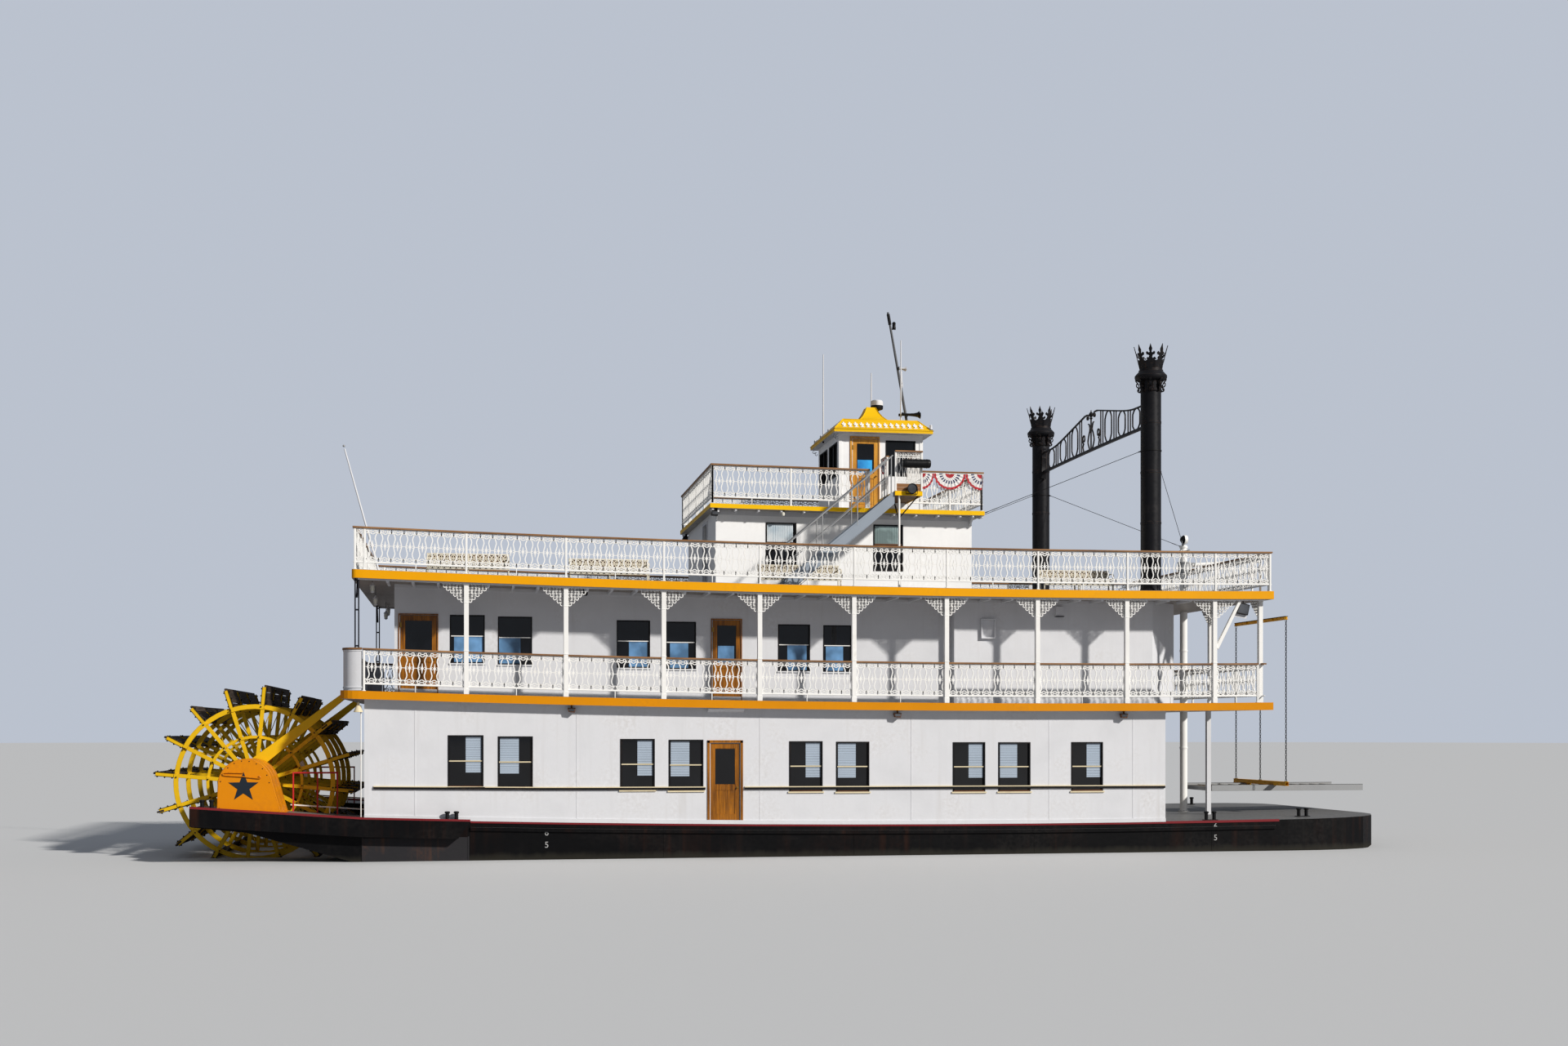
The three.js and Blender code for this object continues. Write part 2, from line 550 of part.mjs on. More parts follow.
// Pilot house and its pagoda roof
const pilot = { aft: 10140, fore: 12530, half: 1450, topZ: 12650, doorX: [10530, 11260], doorTopZ: 12520 };
function buildPilotHouse() {
  const baseZ = level.sun + rise(pilot.aft) + seam;
  const o = 50;
  const floorCut = run(pilot.aft - o, pilot.fore + o, -pilot.half - o, pilot.half + o, level.sun - 500, level.sun + seam);
  const shell = cut(
    box(pilot.aft, pilot.fore, -pilot.half, pilot.half, baseZ - 300, pilot.topZ),
    floorCut,
    box(pilot.aft + wall, pilot.fore - wall, -pilot.half + wall, pilot.half - wall, 9000, 13000),
  );
  return cut(
    shell,
    box(pilot.doorX[0], pilot.doorX[1], -pilot.half - o, pilot.half + o, baseZ + 60, pilot.doorTopZ),
    box(11470, 12320, -pilot.half - o, pilot.half + o, 11500, 12490),
    [[-1250, -130], [130, 1250]].map(([y0, y1]) => box(pilot.aft - o, pilot.aft + wall + o, y0, y1, 11500, 12450)),
    [[-1250, -460], [-390, 390], [460, 1250]].map(([y0, y1]) => box(pilot.fore - wall - o, pilot.fore + o, y0, y1, 11350, 12450)),
  );
}
add("pilot_house", buildPilotHouse(), material.white);
const roof = { x0: 9950, x1: 12750, half: 1750, z: 12650 };
function buildRoof() {
  const cx = (roof.x0 + roof.x1) / 2;
  // share of the eaves' size, height over the eaves' underside
  const rings = [[1, 0], [1, 100], [0.76, 415], [0.45, 495], [0.24, 700], [0.095, 980]];
  const vertices = [];
  for (const [share, up] of rings) {
    const rx = ((roof.x1 - roof.x0) / 2) * share;
    const ry = roof.half * share;
    for (const [sx, sy] of [[-1, -1], [1, -1], [1, 1], [-1, 1]]) vertices.push(cx + sx * rx, sy * ry, roof.z + seam + up);
  }
  const index = [0, 2, 1, 0, 3, 2];
  for (let ring = 0; ring < rings.length - 1; ring++) {
    for (let k = 0; k < 4; k++) {
      const a = ring * 4 + k;
      const b = ring * 4 + ((k + 1) % 4);
      index.push(a, b, b + 4, a, b + 4, a + 4);
    }
  }
  const last = (rings.length - 1) * 4;
  index.push(last, last + 1, last + 2, last, last + 2, last + 3);
  const geometry = new THREE.BufferGeometry();
  geometry.setAttribute("position", new THREE.BufferAttribute(new Float32Array(vertices), 3));
  geometry.setIndex(index);
  const shell = new wasm.Manifold(
    new wasm.Mesh({
      numProp: 3,
      vertProperties: new Float32Array(geometry.attributes.position.array),
      triVerts: new Uint32Array(geometry.index.array),
    }),
  );
  const radome = solid(
    new THREE.LatheGeometry(
      [[0, 0], [100, 0], [175, 60], [175, 130], [110, 215], [0, 235]].map((p) => new THREE.Vector2(...p)),
      16,
    ).rotateX(Math.PI / 2).translate(cx, 0, roof.z + 975),
  );
  const whips = [ // x, y, foot z, tip z
    [9990, 0, 12700, 15120], [11650, 0, 13200, 14690], [12060, -800, 12900, 15430],
  ].map(([x, y, z0, z1]) => post(x, y, z0, z1, 14, 6));
  const horns = [-90, 90].map((off) =>
    join(
      solid(new THREE.CylinderGeometry(95, 25, 620, 12).rotateZ(-Math.PI / 2).translate(12330, -800 + off, 13340)),
      box(12200, 12240, -800 + off - 15, -800 + off + 15, 12950, 13350),
    ),
  );
  return join(shell, radome, whips, horns);
}
add("pilot_roof", buildRoof(), material.roof);
function buildRoofMast() {
  const foot = [12500, 0, 12860];
  const head = [11870, 0, 16390];
  return join(
    bar(foot, head, 80, 8),
    post(11960, 0, 15900, 16100, 60, 8),
    box(12150, 12420, -90, 90, 14700, 14880),
    box(12240, 12300, -20, 20, 14420, 14720),
  );
}
add("roof_mast", buildRoofMast().subtract(buildRoof().translate([0, 0, seam])), material.white);

// Stacks with flared capital and spiked crown, and the arch between them
const stack = { x: 17950, y: 4700, radius: 270 };
function buildStack() {
  const deckZ = level.hurricane;
  const profile = [
    [0, deckZ], [340, deckZ], [340, deckZ + 60], [stack.radius, deckZ + 90], [stack.radius, 13450], [300, 13480],
    [stack.radius, 13560], [stack.radius, 13700], [425, 13830], [425, 13980], [350, 14020], [390, 14200],
    [360, 14200], [240, 14000], [240, 13500], [0, 13500],
  ];
  const body = solid(
    new THREE.LatheGeometry(profile.map((p) => new THREE.Vector2(...p)), 16).rotateX(Math.PI / 2),
  );
  const spikes = [];
  for (let i = 0; i < 12; i++) {
    const angle = (i * Math.PI) / 6;
    const spike = endOn([[-95, 14120], [95, 14120], [60, 14420], [0, 14680], [-60, 14420]], 345, 385).rotate([0, 0, (angle * 180) / Math.PI]);
    spikes.push(spike);
  }
  return join(body, spikes);
}
for (const side of sides) {
  const placed = buildStack().translate([stack.x, 0, 0]);
  const seated = standOn(placed, level.hurricane, stack.x - 400, stack.x + 400).translate([-stack.x, 0, 0]);
  add(`stack_${side.name}`, seated, material.stack, [stack.x, side.out * stack.y, 0]);
}
function buildArch() {
  const half = stack.y - stack.radius - seam;
  const n = 8;
  const low = (y) => 12620 - 30 * (y / half) ** 2;
  const high = (y) => Math.min(13680, 13190 + 45 * Math.log(1 + Math.exp((3250 - Math.abs(y)) / 250)));
  const chord = (f, thick) => {
    const ys = [];
    for (let i = -n; i <= n; i++) ys.push((half * i) / n);
    return endOn([...ys.map((y) => [y, f(y) - thick / 2]), ...ys.map((y) => [y, f(y) + thick / 2]).reverse()], -25, 25);
  };
  const bars = steps(-half + 12, half - 12, (2 * half - 24) / 12).map((y) => box(-12, 12, y - 12, y + 12, low(y), high(y)));
  const finial = box(-20, 20, -30, 30, high(0), high(0) + 130);
  return join(chord(low, 60), chord(high, 60), bars, finial);
}
add("stack_arch", buildArch(), material.stack, [stack.x, 0, 0]);
// Main stays: from a band round each stack, one wire to the derrick mast and one to the sun deck's corner
const stay = { wire: 24, bandZ: 11870, band: 300, mastZ: 9840, deckZ: 10290 };
function stackStays(out) {
  const [x, y] = [stack.x, out * stack.y];
  const wires = [
    bar([x + 200, y - out * 180, stay.bandZ], [mast.x, 0, stay.mastZ], stay.wire, 6),
    bar([x - 260, y - out * 60, stay.bandZ], [sunDeck.fore - 10, out * (sunDeck.half - 10), stay.deckZ], stay.wire, 6),
  ];
  return cut(
    join(post(x, y, stay.bandZ - 30, stay.bandZ + 30, stay.band, 16), wires),
    post(x, y, 11000, 12500, stack.radius + seam, 16),
    post(mast.x, 0, 9000, 10000, mast.radius + seam, 16),
    box(sunDeck.aft, sunDeck.fore + seam, -sunDeck.half - seam, sunDeck.half + seam, 10000, 10600),
  );
}
for (const side of sides) add(`stack_stays_${side.name}`, stackStays(side.out), material.stack);

// Ensign staff, leaning aft
const staff = { foot: [-2250, 0, level.hurricane + 262], head: [-3290, 0, 12220] };
function buildStaff() {
  const socketBlock = box(-2330, -2170, -80, 80, level.hurricane, level.hurricane + 350);
  return standOn(join(bar(staff.foot, staff.head, 60, 8), socketBlock), level.hurricane, -2400, -2100);
}
add("ensign_staff", buildStaff(), material.grey);

// Bearing covers on the horns, each over one end of the shaft
const axle = { x: -5260, z: 3120, radius: 140, end: 4500 };
const cover = { y0: 3450, y1: 5300, radius: 620, baseAft: -5900, baseFore: -4420 };
const hornZ = (x) =>
  hull.hornTopZ + ((x - hull.hornX) / (hull.transomX - hull.hornX)) * (level.main + rise(hull.transomX) - hull.hornTopZ);
for (const side of sides) {
  const shape = new THREE.Shape();
  shape.moveTo(cover.baseAft, hornZ(cover.baseAft) + seam);
  shape.lineTo(cover.baseFore, hornZ(cover.baseFore) + seam);
  shape.lineTo(axle.x + cover.radius * Math.cos(0.15), axle.z + cover.radius * Math.sin(0.15));
  shape.absarc(axle.x, axle.z, cover.radius, 0.15, Math.PI - 0.1, false);
  const body = sideOn(shape, Math.min(side.out * cover.y0, side.out * cover.y1), Math.max(side.out * cover.y0, side.out * cover.y1));
  const deepEnd = Math.min(side.out * (cover.y0 - 20), side.out * (axle.end + 30));
  const pocket = socket(axle.radius, axle.end + 50 - cover.y0).rotate([-90, 0, 0]).translate([axle.x, deepEnd, axle.z]);
  add(`bearing_cover_${side.name}`, body.subtract(pocket), material.cover);
}

// Braces from the covers to the after edge of the promenade deck
for (const side of sides) {
  const y0 = side.out * 3260;
  const y1 = side.out * (cover.y0 - seam);
  const strut = sideOn(
    [[-5370, 3520], [-5230, 3390], [deckEnds.promenadeAft - seam, 5225], [deckEnds.promenadeAft - seam, 5415], [-5320, 3720]],
    Math.min(y0, y1), Math.max(y0, y1),
  );
  add(`wheel_brace_${side.name}`, strut, material.wheel);
}

// Paddle wheel: four spoked frames with sixteen floats, on one shaft
const wheel = {
  half: 3100, rim: 1980, rimDeep: 130, ring: 1190, ringDeep: 80, hub: 420, thick: 60, arms: 16, first: 84.5,
  armWide: 100, tip: 2490, floatIn: 1950, floatThick: 60,
};
const polar = (radius, angle) => [radius * Math.cos(angle), radius * Math.sin(angle)];
// One frame as a plate with a window between each pair of arms, inside and outside the middle ring
function wheelFrame(y) {
  const first = THREE.MathUtils.degToRad(wheel.first);
  const pitch = (2 * Math.PI) / wheel.arms;
  const shape = new THREE.Shape();
  for (let i = 0; i < 2 * wheel.arms; i++) {
    const [u, v] = polar(wheel.rim, first + (i * pitch) / 2);
    i ? shape.lineTo(u, v) : shape.moveTo(u, v);
  }
  const windows = [[wheel.ring, wheel.rim - wheel.rimDeep], [wheel.hub, wheel.ring - wheel.ringDeep]];
  for (let i = 0; i < wheel.arms; i++) {
    const [a0, a1] = [first + i * pitch, first + (i + 1) * pitch];
    for (const [inner, outer] of windows) {
      const [e0, e1] = [wheel.armWide / 2 / inner, wheel.armWide / 2 / outer];
      const corners = [polar(inner, a0 + e0), polar(outer, a0 + e1), polar(outer, a1 - e1), polar(inner, a1 - e0)];
      shape.holes.push(new THREE.Path(corners.map((p) => new THREE.Vector2(...p))));
    }
  }
  return sideOn(shape, y - wheel.thick / 2, y + wheel.thick / 2);
}
function buildWheel() {
  const pieces = [-1, -1 / 3, 1 / 3, 1].map((share) => wheelFrame(share * wheel.half));
  for (let i = 0; i < wheel.arms; i++) {
    const blade = box(wheel.floatIn, wheel.tip, -wheel.half - 50, wheel.half + 50, -wheel.floatThick / 2, wheel.floatThick / 2);
    pieces.push(blade.rotate([0, -wheel.first - (i * 360) / wheel.arms, 0]));
  }
  return cut(join(pieces), bar([0, -3300, 0], [0, 3300, 0], 2 * axle.radius + 1, facets));
}
add("paddle_wheel", buildWheel(), material.wheel, [axle.x, 0, axle.z]);
add("wheel_shaft", bar([0, -axle.end, 0], [0, axle.end, 0], 2 * axle.radius, facets), material.wheel, [axle.x, 0, axle.z]);

// Red handrails on the inner edges of the horns
for (const side of sides) {
  const y = side.out * 3480;
  const pieces = [bar([-4310, y, 3370], [-3190, y, 3370], 45, 6)];
  for (const x of [-4290, -3700, -3210]) {
    const foot = [[x - 18, hornZ(x - 18) + seam], [x + 18, hornZ(x + 18) + seam]];
    pieces.push(sideOn([...foot, [x + 18, 3372], [x - 18, 3372]], y - 18, y + 18));
  }
  add(`stern_handrail_${side.name}`, join(pieces), material.red);
}

// Engine, as one block inside the main cabin
add("engine", run(900, 4300, -900, 900, level.main + seam, 3400), material.grey);

// Hinged doors: a leaf in its opening, on two barrels beside the wall's face
const door = { thick: 45, edge: 8, barrel: 9, barrelLong: 120, pinOver: 3 };
// face is the y of the wall's face on the hinge side, toward gives the way that face looks
function addDoor(name, [x0, x1], face, toward, z0, z1) {
  const start = door.edge + door.pinOver;
  const long = x1 - x0 + door.pinOver - door.edge;
  const inset = -toward * (door.barrel + seam + 2);
  const [y0, y1] = [inset, inset - toward * door.thick].sort((a, b) => a - b);
  const pieces = [box(start, long, y0, y1, z0, z1)];
  for (const z of [z0 + 180, z1 - 180 - door.barrelLong]) {
    const [p0, p1] = [inset - toward * 5, toward * 5].sort((a, b) => a - b);
    pieces.push(post(0, 0, z, z + door.barrelLong, door.barrel, 8), box(door.pinOver + 1, 34, p0, p1, z, z + door.barrelLong));
  }
  add(name, join(pieces), material.wood, [x0 - door.pinOver, face + toward * (door.barrel + seam), 0]);
}
for (const side of sides) {
  for (const opening of promDoors) {
    const up = rise((opening.x0 + opening.x1) / 2);
    addDoor(
      `promenade_door_${opening.name}_${side.name}`, [opening.x0, opening.x1], side.out * promCabin.half, side.out,
      level.promenade + 38 + up, opening.head - 8 + up,
    );
  }
  const pilotBase = level.sun + rise(pilot.aft);
  addDoor(`pilot_door_${side.name}`, pilot.doorX, side.out * pilot.half, side.out, pilotBase + 68, pilot.doorTopZ - 8);
  const [m0, m1] = mainCabin.doorX;
  const up = rise((m0 + m1) / 2);
  addDoor(
    `main_door_${side.name}`, mainCabin.doorX, side.out * (mainCabin.half - wall), -side.out,
    level.main + 12 + up, mainDoorHead - 8 + up,
  );
}

// Derrick: mast through the decks, boom on a collar, tackle with spreader, and the landing stage
const boom = { collarZ: 9195, heelZ: 9300, tipX: 23200, tipZ: 9450 };
function buildDerrickMast() {
  const body = join(
    post(mast.x, 0, level.main, mast.topZ, mast.radius, 16),
    post(mast.x, 0, 9140, boom.collarZ - seam, 170, 16),
    bar([mast.x, -420, 9700], [mast.x, 420, 9700], 60, 6),
    post(mast.x, 0, mast.topZ - 5, mast.topZ + 60, 60, 8),
    solid(new THREE.CylinderGeometry(130, 130, 200, 12).rotateZ(Math.PI / 2).translate(mast.x, 0, mast.topZ + 170)),
  );
  return standOn(body, level.main, mast.x - 200, mast.x + 200);
}
add("derrick_mast", buildDerrickMast(), material.white);
const reach = boom.tipX - mast.x;
function buildBoom() {
  const collar = cut(post(0, 0, boom.collarZ, boom.collarZ + 200, 180, 16), post(0, 0, 9100, 9500, mast.radius + 6, 16));
  return join(collar, bar([150, 0, boom.heelZ], [reach + 60, 0, boom.tipZ + 15], 120, 8), box(reach - 40, reach + 40, -40, 40, boom.tipZ - 120, boom.tipZ));
}
add("derrick_boom", buildBoom(), material.black, [mast.x, 0, 0]);
const spreader = { half: 1750, z0: 7620, z1: 7720 };
const stage = { x0: 21250, x1: 25950, half: 1000, lowZ: 2680, topZ: 2860, beamHalf: 1800 };
function buildTackle() {
  return join(
    post(reach, 0, spreader.z1 - 5, boom.tipZ - 120 - seam, 35, 8),
    box(reach - 70, reach + 70, -45, 45, 7780, 8040),
    box(reach - 50, reach + 50, -spreader.half, spreader.half, spreader.z0, spreader.z1),
    [-spreader.half + 30, 0, spreader.half - 30].map((y) => post(reach, y, stage.topZ + 100 + seam, spreader.z0 + 5, 22, 6)),
  );
}
add("stage_tackle", buildTackle(), material.grey, [mast.x, 0, 0]);
function buildStage() {
  const [a, b] = [stage.x0 - mast.x, stage.x1 - mast.x];
  const pieces = [box(a, b, -stage.half, stage.half, stage.lowZ, stage.topZ - 60)];
  for (const y of [-stage.half, stage.half - 80]) pieces.push(box(a, b, y, y + 80, stage.lowZ, stage.topZ));
  pieces.push(box(reach - 60, reach + 60, -stage.beamHalf, stage.beamHalf, stage.topZ - 20, stage.topZ + 100));
  return join(pieces);
}
add("landing_stage", buildStage(), material.grey, [mast.x, 0, 0]);

// Bunting: red, white and blue fans hung on two rails
function fan(left, right, drop, n = 8) {
  const shape = new THREE.Shape();
  shape.moveTo(0, 0);
  for (let i = 0; i <= n; i++) {
    const angle = Math.PI + (Math.PI * i) / n;
    shape.lineTo(left + (i < n / 2 ? left : right) * Math.cos(angle), drop * Math.sin(angle));
  }
  return shape;
}
const bunting = { topZ: 11380, drop: 440 };
const fans = [ // start, middle and end along the rail; the outer two are cut short by its ends
  [12010, 12030, 12340], [12340, 12780, 13220], [13220, 13660, 13710],
];
const landingFan = { y0: -4150, width: 640, topZ: 11640, drop: 420 };
add(
  "bunting_sun_deck",
  join(
    fans.map(([x0, middle, x1]) => sideOn(fan(middle - x0, x1 - middle, bunting.drop), -12, 12).translate([x0, 0, 0])),
    box(12010, 13710, -12, 12, -60, 0),
  ),
  material.cloth,
  [0, -sunDeck.half + 70 - rail.capWide / 2 - 12 - seam, bunting.topZ],
);
add(
  "bunting_landing",
  endOn(fan(landingFan.width / 2, landingFan.width / 2, landingFan.drop), -24, 0),
  material.cloth,
  [landing.x0 - seam, landingFan.y0, landingFan.topZ],
);

export default group;
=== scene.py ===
import math
import random

import bmesh
import bpy
from mathutils import Matrix, Vector


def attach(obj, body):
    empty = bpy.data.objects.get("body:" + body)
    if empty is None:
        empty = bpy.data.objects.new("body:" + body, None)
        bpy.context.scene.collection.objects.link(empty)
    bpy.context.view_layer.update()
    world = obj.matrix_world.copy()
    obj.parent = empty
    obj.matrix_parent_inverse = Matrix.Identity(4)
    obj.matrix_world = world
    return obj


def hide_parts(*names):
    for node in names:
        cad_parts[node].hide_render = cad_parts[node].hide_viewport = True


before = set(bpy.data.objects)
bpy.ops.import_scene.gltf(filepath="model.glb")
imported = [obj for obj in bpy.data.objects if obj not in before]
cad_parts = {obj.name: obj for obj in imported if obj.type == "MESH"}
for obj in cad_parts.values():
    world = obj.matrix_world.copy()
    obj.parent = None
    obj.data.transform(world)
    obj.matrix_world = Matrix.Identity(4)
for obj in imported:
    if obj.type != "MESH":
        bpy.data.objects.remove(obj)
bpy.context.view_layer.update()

scene = bpy.context.scene
print("frame loaded:", len(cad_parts), "nodes")

# Tables below give x from the aft-most bracketed column, in metres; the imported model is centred
shiftX = -9.1
bay = 2.438                    # column spacing
waterline = 1.22
railTop = 1.05
deckZ = {"main": 2.010, "promenade": 5.140, "hurricane": 8.095, "sun": 10.340}
deckDepth = {"promenade": 0.200, "hurricane": 0.215, "sun": 0.115}
sideNames = [("starboard", -1), ("port", 1)]


def rise(x):                   # sheer of every deck, straight between the column stations
    curve = lambda at: 0.907e-3 * (at - 14.5) ** 2
    station = math.floor(x / bay)
    part = x / bay - station
    return curve(station * bay) * (1 - part) + curve((station + 1) * bay) * part


def stations(x0, x1):
    inner = [i * bay for i in range(math.ceil(x0 / bay), math.floor(x1 / bay) + 1)]
    return [x0] + [x for x in inner if x0 + 0.01 < x < x1 - 0.01] + [x1]


# Camera, floor and light
view = {"place": (-9.08, -50.63, 4.47), "turn": 9.9006, "lens": 41.68, "shiftY": 0.1315, "farthest": 900}
studio = {
    "floor": (0.64, 0.65, 0.66), "bounce": (0.30, 0.30, 0.31), "sky": (0.80, 0.87, 1.0), "skyPower": 0.24,
    "backdrop": 0.62, "sunPower": 3.9, "sunSoftness": 3.0,
    "sunColour": (1.0, 0.96, 0.90), "sunRay": (-0.92, 1.0, -0.77), "floorRadius": 420,
}


def makeStudio():
    camera = bpy.data.objects.new("camera", bpy.data.cameras.new("camera"))
    scene.collection.objects.link(camera)
    camera.location = view["place"]
    camera.rotation_euler = (math.radians(90), 0, math.radians(-view["turn"]))
    camera.data.sensor_width = 36
    camera.data.lens = view["lens"]
    camera.data.shift_y = view["shiftY"]
    camera.data.clip_end = view["farthest"]
    scene.camera = camera

    world = bpy.data.worlds.new("studio")
    scene.world = world
    world.use_nodes = True
    back = world.node_tree.nodes["Background"]
    back.inputs["Color"].default_value = (*studio["sky"], 1)
    # The backdrop seen by the camera is brighter than the light it gives
    seen = world.node_tree.nodes.new("ShaderNodeLightPath").outputs["Is Camera Ray"]
    power = world.node_tree.nodes.new("ShaderNodeMapRange")
    power.inputs["To Min"].default_value = studio["skyPower"]
    power.inputs["To Max"].default_value = studio["backdrop"]
    world.node_tree.links.new(seen, power.inputs["Value"])
    world.node_tree.links.new(power.outputs[0], back.inputs["Strength"])

    sun = bpy.data.objects.new("keyLight", bpy.data.lights.new("keyLight", "SUN"))
    scene.collection.objects.link(sun)
    sun.data.energy = studio["sunPower"]
    sun.data.color = studio["sunColour"]
    sun.data.angle = math.radians(studio["sunSoftness"])
    sun.rotation_euler = Vector(studio["sunRay"]).to_track_quat("-Z", "Y").to_euler()

    disc = bmesh.new()
    bmesh.ops.create_circle(disc, cap_ends=True, segments=96, radius=studio["floorRadius"])
    mesh = bpy.data.meshes.new("floor")
    disc.to_mesh(mesh)
    disc.free()
    mesh.transform(Matrix.Translation((0, 0, waterline)))
    floor = bpy.data.objects.new("floor", mesh)
    scene.collection.objects.link(floor)
    paint = bpy.data.materials.new("studioFloor")
    paint.use_nodes = True
    shader = paint.node_tree.nodes["Principled BSDF"]
    # The floor seen by the camera is paler than the light it throws back
    direct = paint.node_tree.nodes.new("ShaderNodeLightPath").outputs["Is Camera Ray"]
    tone = paint.node_tree.nodes.new("ShaderNodeMix")
    tone.data_type = "RGBA"
    tone.inputs["A"].default_value = (*studio["bounce"], 1)
    tone.inputs["B"].default_value = (*studio["floor"], 1)
    paint.node_tree.links.new(direct, tone.inputs["Factor"])
    paint.node_tree.links.new(tone.outputs["Result"], shader.inputs["Base Color"])
    shader.inputs["Roughness"].default_value = 0.8
    mesh.materials.append(paint)
    scene.view_settings.view_transform = "Standard"


makeStudio()
print("camera, floor and light made")


# Shader groups that more than one finish uses
def linear(red, green, paintedSky):
    channel = lambda v: (v / 255) / 12.92 if v <= 10 else ((v / 255 + 0.055) / 1.055) ** 2.4
    return (channel(red), channel(green), channel(paintedSky), 1)


class Nodes:                   # short way to lay nodes out and join them
    def __init__(self, tree):
        self.tree = tree
        self.column = 0

    def new(self, kind, values=None, **settings):
        node = self.tree.nodes.new(kind)
        self.column += 1
        node.location = (self.column * 190, -60 * (self.column % 4))
        for key, value in settings.items():
            setattr(node, key, value)
        for key, value in (values or {}).items():
            if isinstance(value, bpy.types.NodeSocket):
                self.tree.links.new(value, node.inputs[key])
            else:
                node.inputs[key].default_value = value
        return node

    def link(self, start, end):
        self.tree.links.new(start, end)

    def math(self, operation, a, b=0.5, clamp=False):
        node = self.new("ShaderNodeMath", {0: a, 1: b}, operation=operation)
        node.use_clamp = clamp
        return node.outputs[0]

    def ramp(self, value, low, high, to0=0.0, to1=1.0):
        values = {"Value": value, "From Min": low, "From Max": high, "To Min": to0, "To Max": to1}
        return self.new("ShaderNodeMapRange", values, clamp=True).outputs[0]

    def mix(self, factor, a, b, blend="MIX"):
        node = self.new("ShaderNodeMix", {}, data_type="RGBA", blend_type=blend)
        for key, value in ((0, factor), (6, a), (7, b)):
            if isinstance(value, bpy.types.NodeSocket):
                self.link(value, node.inputs[key])
            else:
                node.inputs[key].default_value = value
        return node.outputs[2]

    def noise(self, vector, scale, detail=4.0, rough=0.55):
        values = {"Vector": vector, "Scale": scale, "Detail": detail, "Roughness": rough}
        return self.new("ShaderNodeTexNoise", values).outputs[0]

    def stretch(self, vector, factors):
        return self.new("ShaderNodeVectorMath", {0: vector, 1: factors}, operation="MULTIPLY").outputs[0]


def shaderGroup(name, inputs, outputs, build):
    tree = bpy.data.node_groups.new(name, "ShaderNodeTree")
    for label, kind, value in inputs:
        socket = tree.interface.new_socket(label, in_out="INPUT", socket_type=kind)
        if value is not None:
            socket.default_value = value
    for label, kind in outputs:
        tree.interface.new_socket(label, in_out="OUTPUT", socket_type=kind)
    nodes = Nodes(tree)
    source = nodes.new("NodeGroupInput")
    end = nodes.new("NodeGroupOutput")
    build(nodes, source.outputs, end.inputs)
    return tree


def buildWeather(nodes, given, out):
    place = given["Vector"]
    broad = nodes.noise(place, 0.9, 5)
    fine = nodes.noise(place, 11.0, 5)
    long = nodes.noise(nodes.stretch(place, (6.0, 6.0, 0.3)), 1.0, 4)
    broken = nodes.math("MULTIPLY", nodes.ramp(long, 0.52, 0.80), nodes.ramp(broad, 0.40, 0.66))
    streak = nodes.math("MULTIPLY", broken, given["Streaks"])
    patch = nodes.math("MULTIPLY", nodes.ramp(broad, 0.5, 0.78), given["Dirt"])
    patch = nodes.math("MULTIPLY", patch, nodes.ramp(fine, 0.35, 0.62))
    mask = nodes.math("MAXIMUM", streak, patch)
    shade = nodes.ramp(broad, 0.25, 0.75, 0.90, 1.06)
    toned = nodes.new("ShaderNodeVectorMath", {0: given["Colour"], "Scale": shade},
                      operation="SCALE").outputs[0]
    nodes.link(nodes.mix(mask, toned, given["Dirt Colour"]), out["Colour"])
    rough = nodes.math("ADD", given["Roughness"], nodes.ramp(fine, 0.3, 0.7, -0.06, 0.08))
    nodes.link(nodes.math("ADD", rough, nodes.math("MULTIPLY", mask, 0.25)), out["Roughness"])
    nodes.link(nodes.math("ADD", nodes.math("MULTIPLY", fine, 0.4), nodes.math("MULTIPLY", broad, 0.6)),
               out["Height"])
    nodes.link(mask, out["Mask"])


weatherGroup = shaderGroup(
    "weatheredPaint",
    [("Vector", "NodeSocketVector", None), ("Colour", "NodeSocketColor", (0.8, 0.8, 0.8, 1)),
     ("Dirt Colour", "NodeSocketColor", (0.2, 0.15, 0.1, 1)), ("Dirt", "NodeSocketFloat", 0.3),
     ("Streaks", "NodeSocketFloat", 0.2), ("Roughness", "NodeSocketFloat", 0.5)],
    [("Colour", "NodeSocketColor"), ("Roughness", "NodeSocketFloat"), ("Height", "NodeSocketFloat"),
     ("Mask", "NodeSocketFloat")],
    buildWeather,
)


def buildEdge(nodes, given, out):
    soft = nodes.new("ShaderNodeBevel", {"Radius": given["Width"]}, samples=4).outputs[0]
    flat = nodes.new("ShaderNodeNewGeometry").outputs["Normal"]
    alike = nodes.new("ShaderNodeVectorMath", {0: soft, 1: flat}, operation="DOT_PRODUCT").outputs["Value"]
    edge = nodes.ramp(alike, 0.995, 0.90)
    grain = nodes.ramp(nodes.noise(given["Vector"], 9.0, 5), 0.42, 0.6)
    nodes.link(nodes.math("MULTIPLY", nodes.math("MULTIPLY", edge, grain), given["Amount"]), out["Mask"])


edgeGroup = shaderGroup(
    "edgeWear",
    [("Vector", "NodeSocketVector", None), ("Width", "NodeSocketFloat", 0.012),
     ("Amount", "NodeSocketFloat", 0.6)],
    [("Mask", "NodeSocketFloat")],
    buildEdge,
)


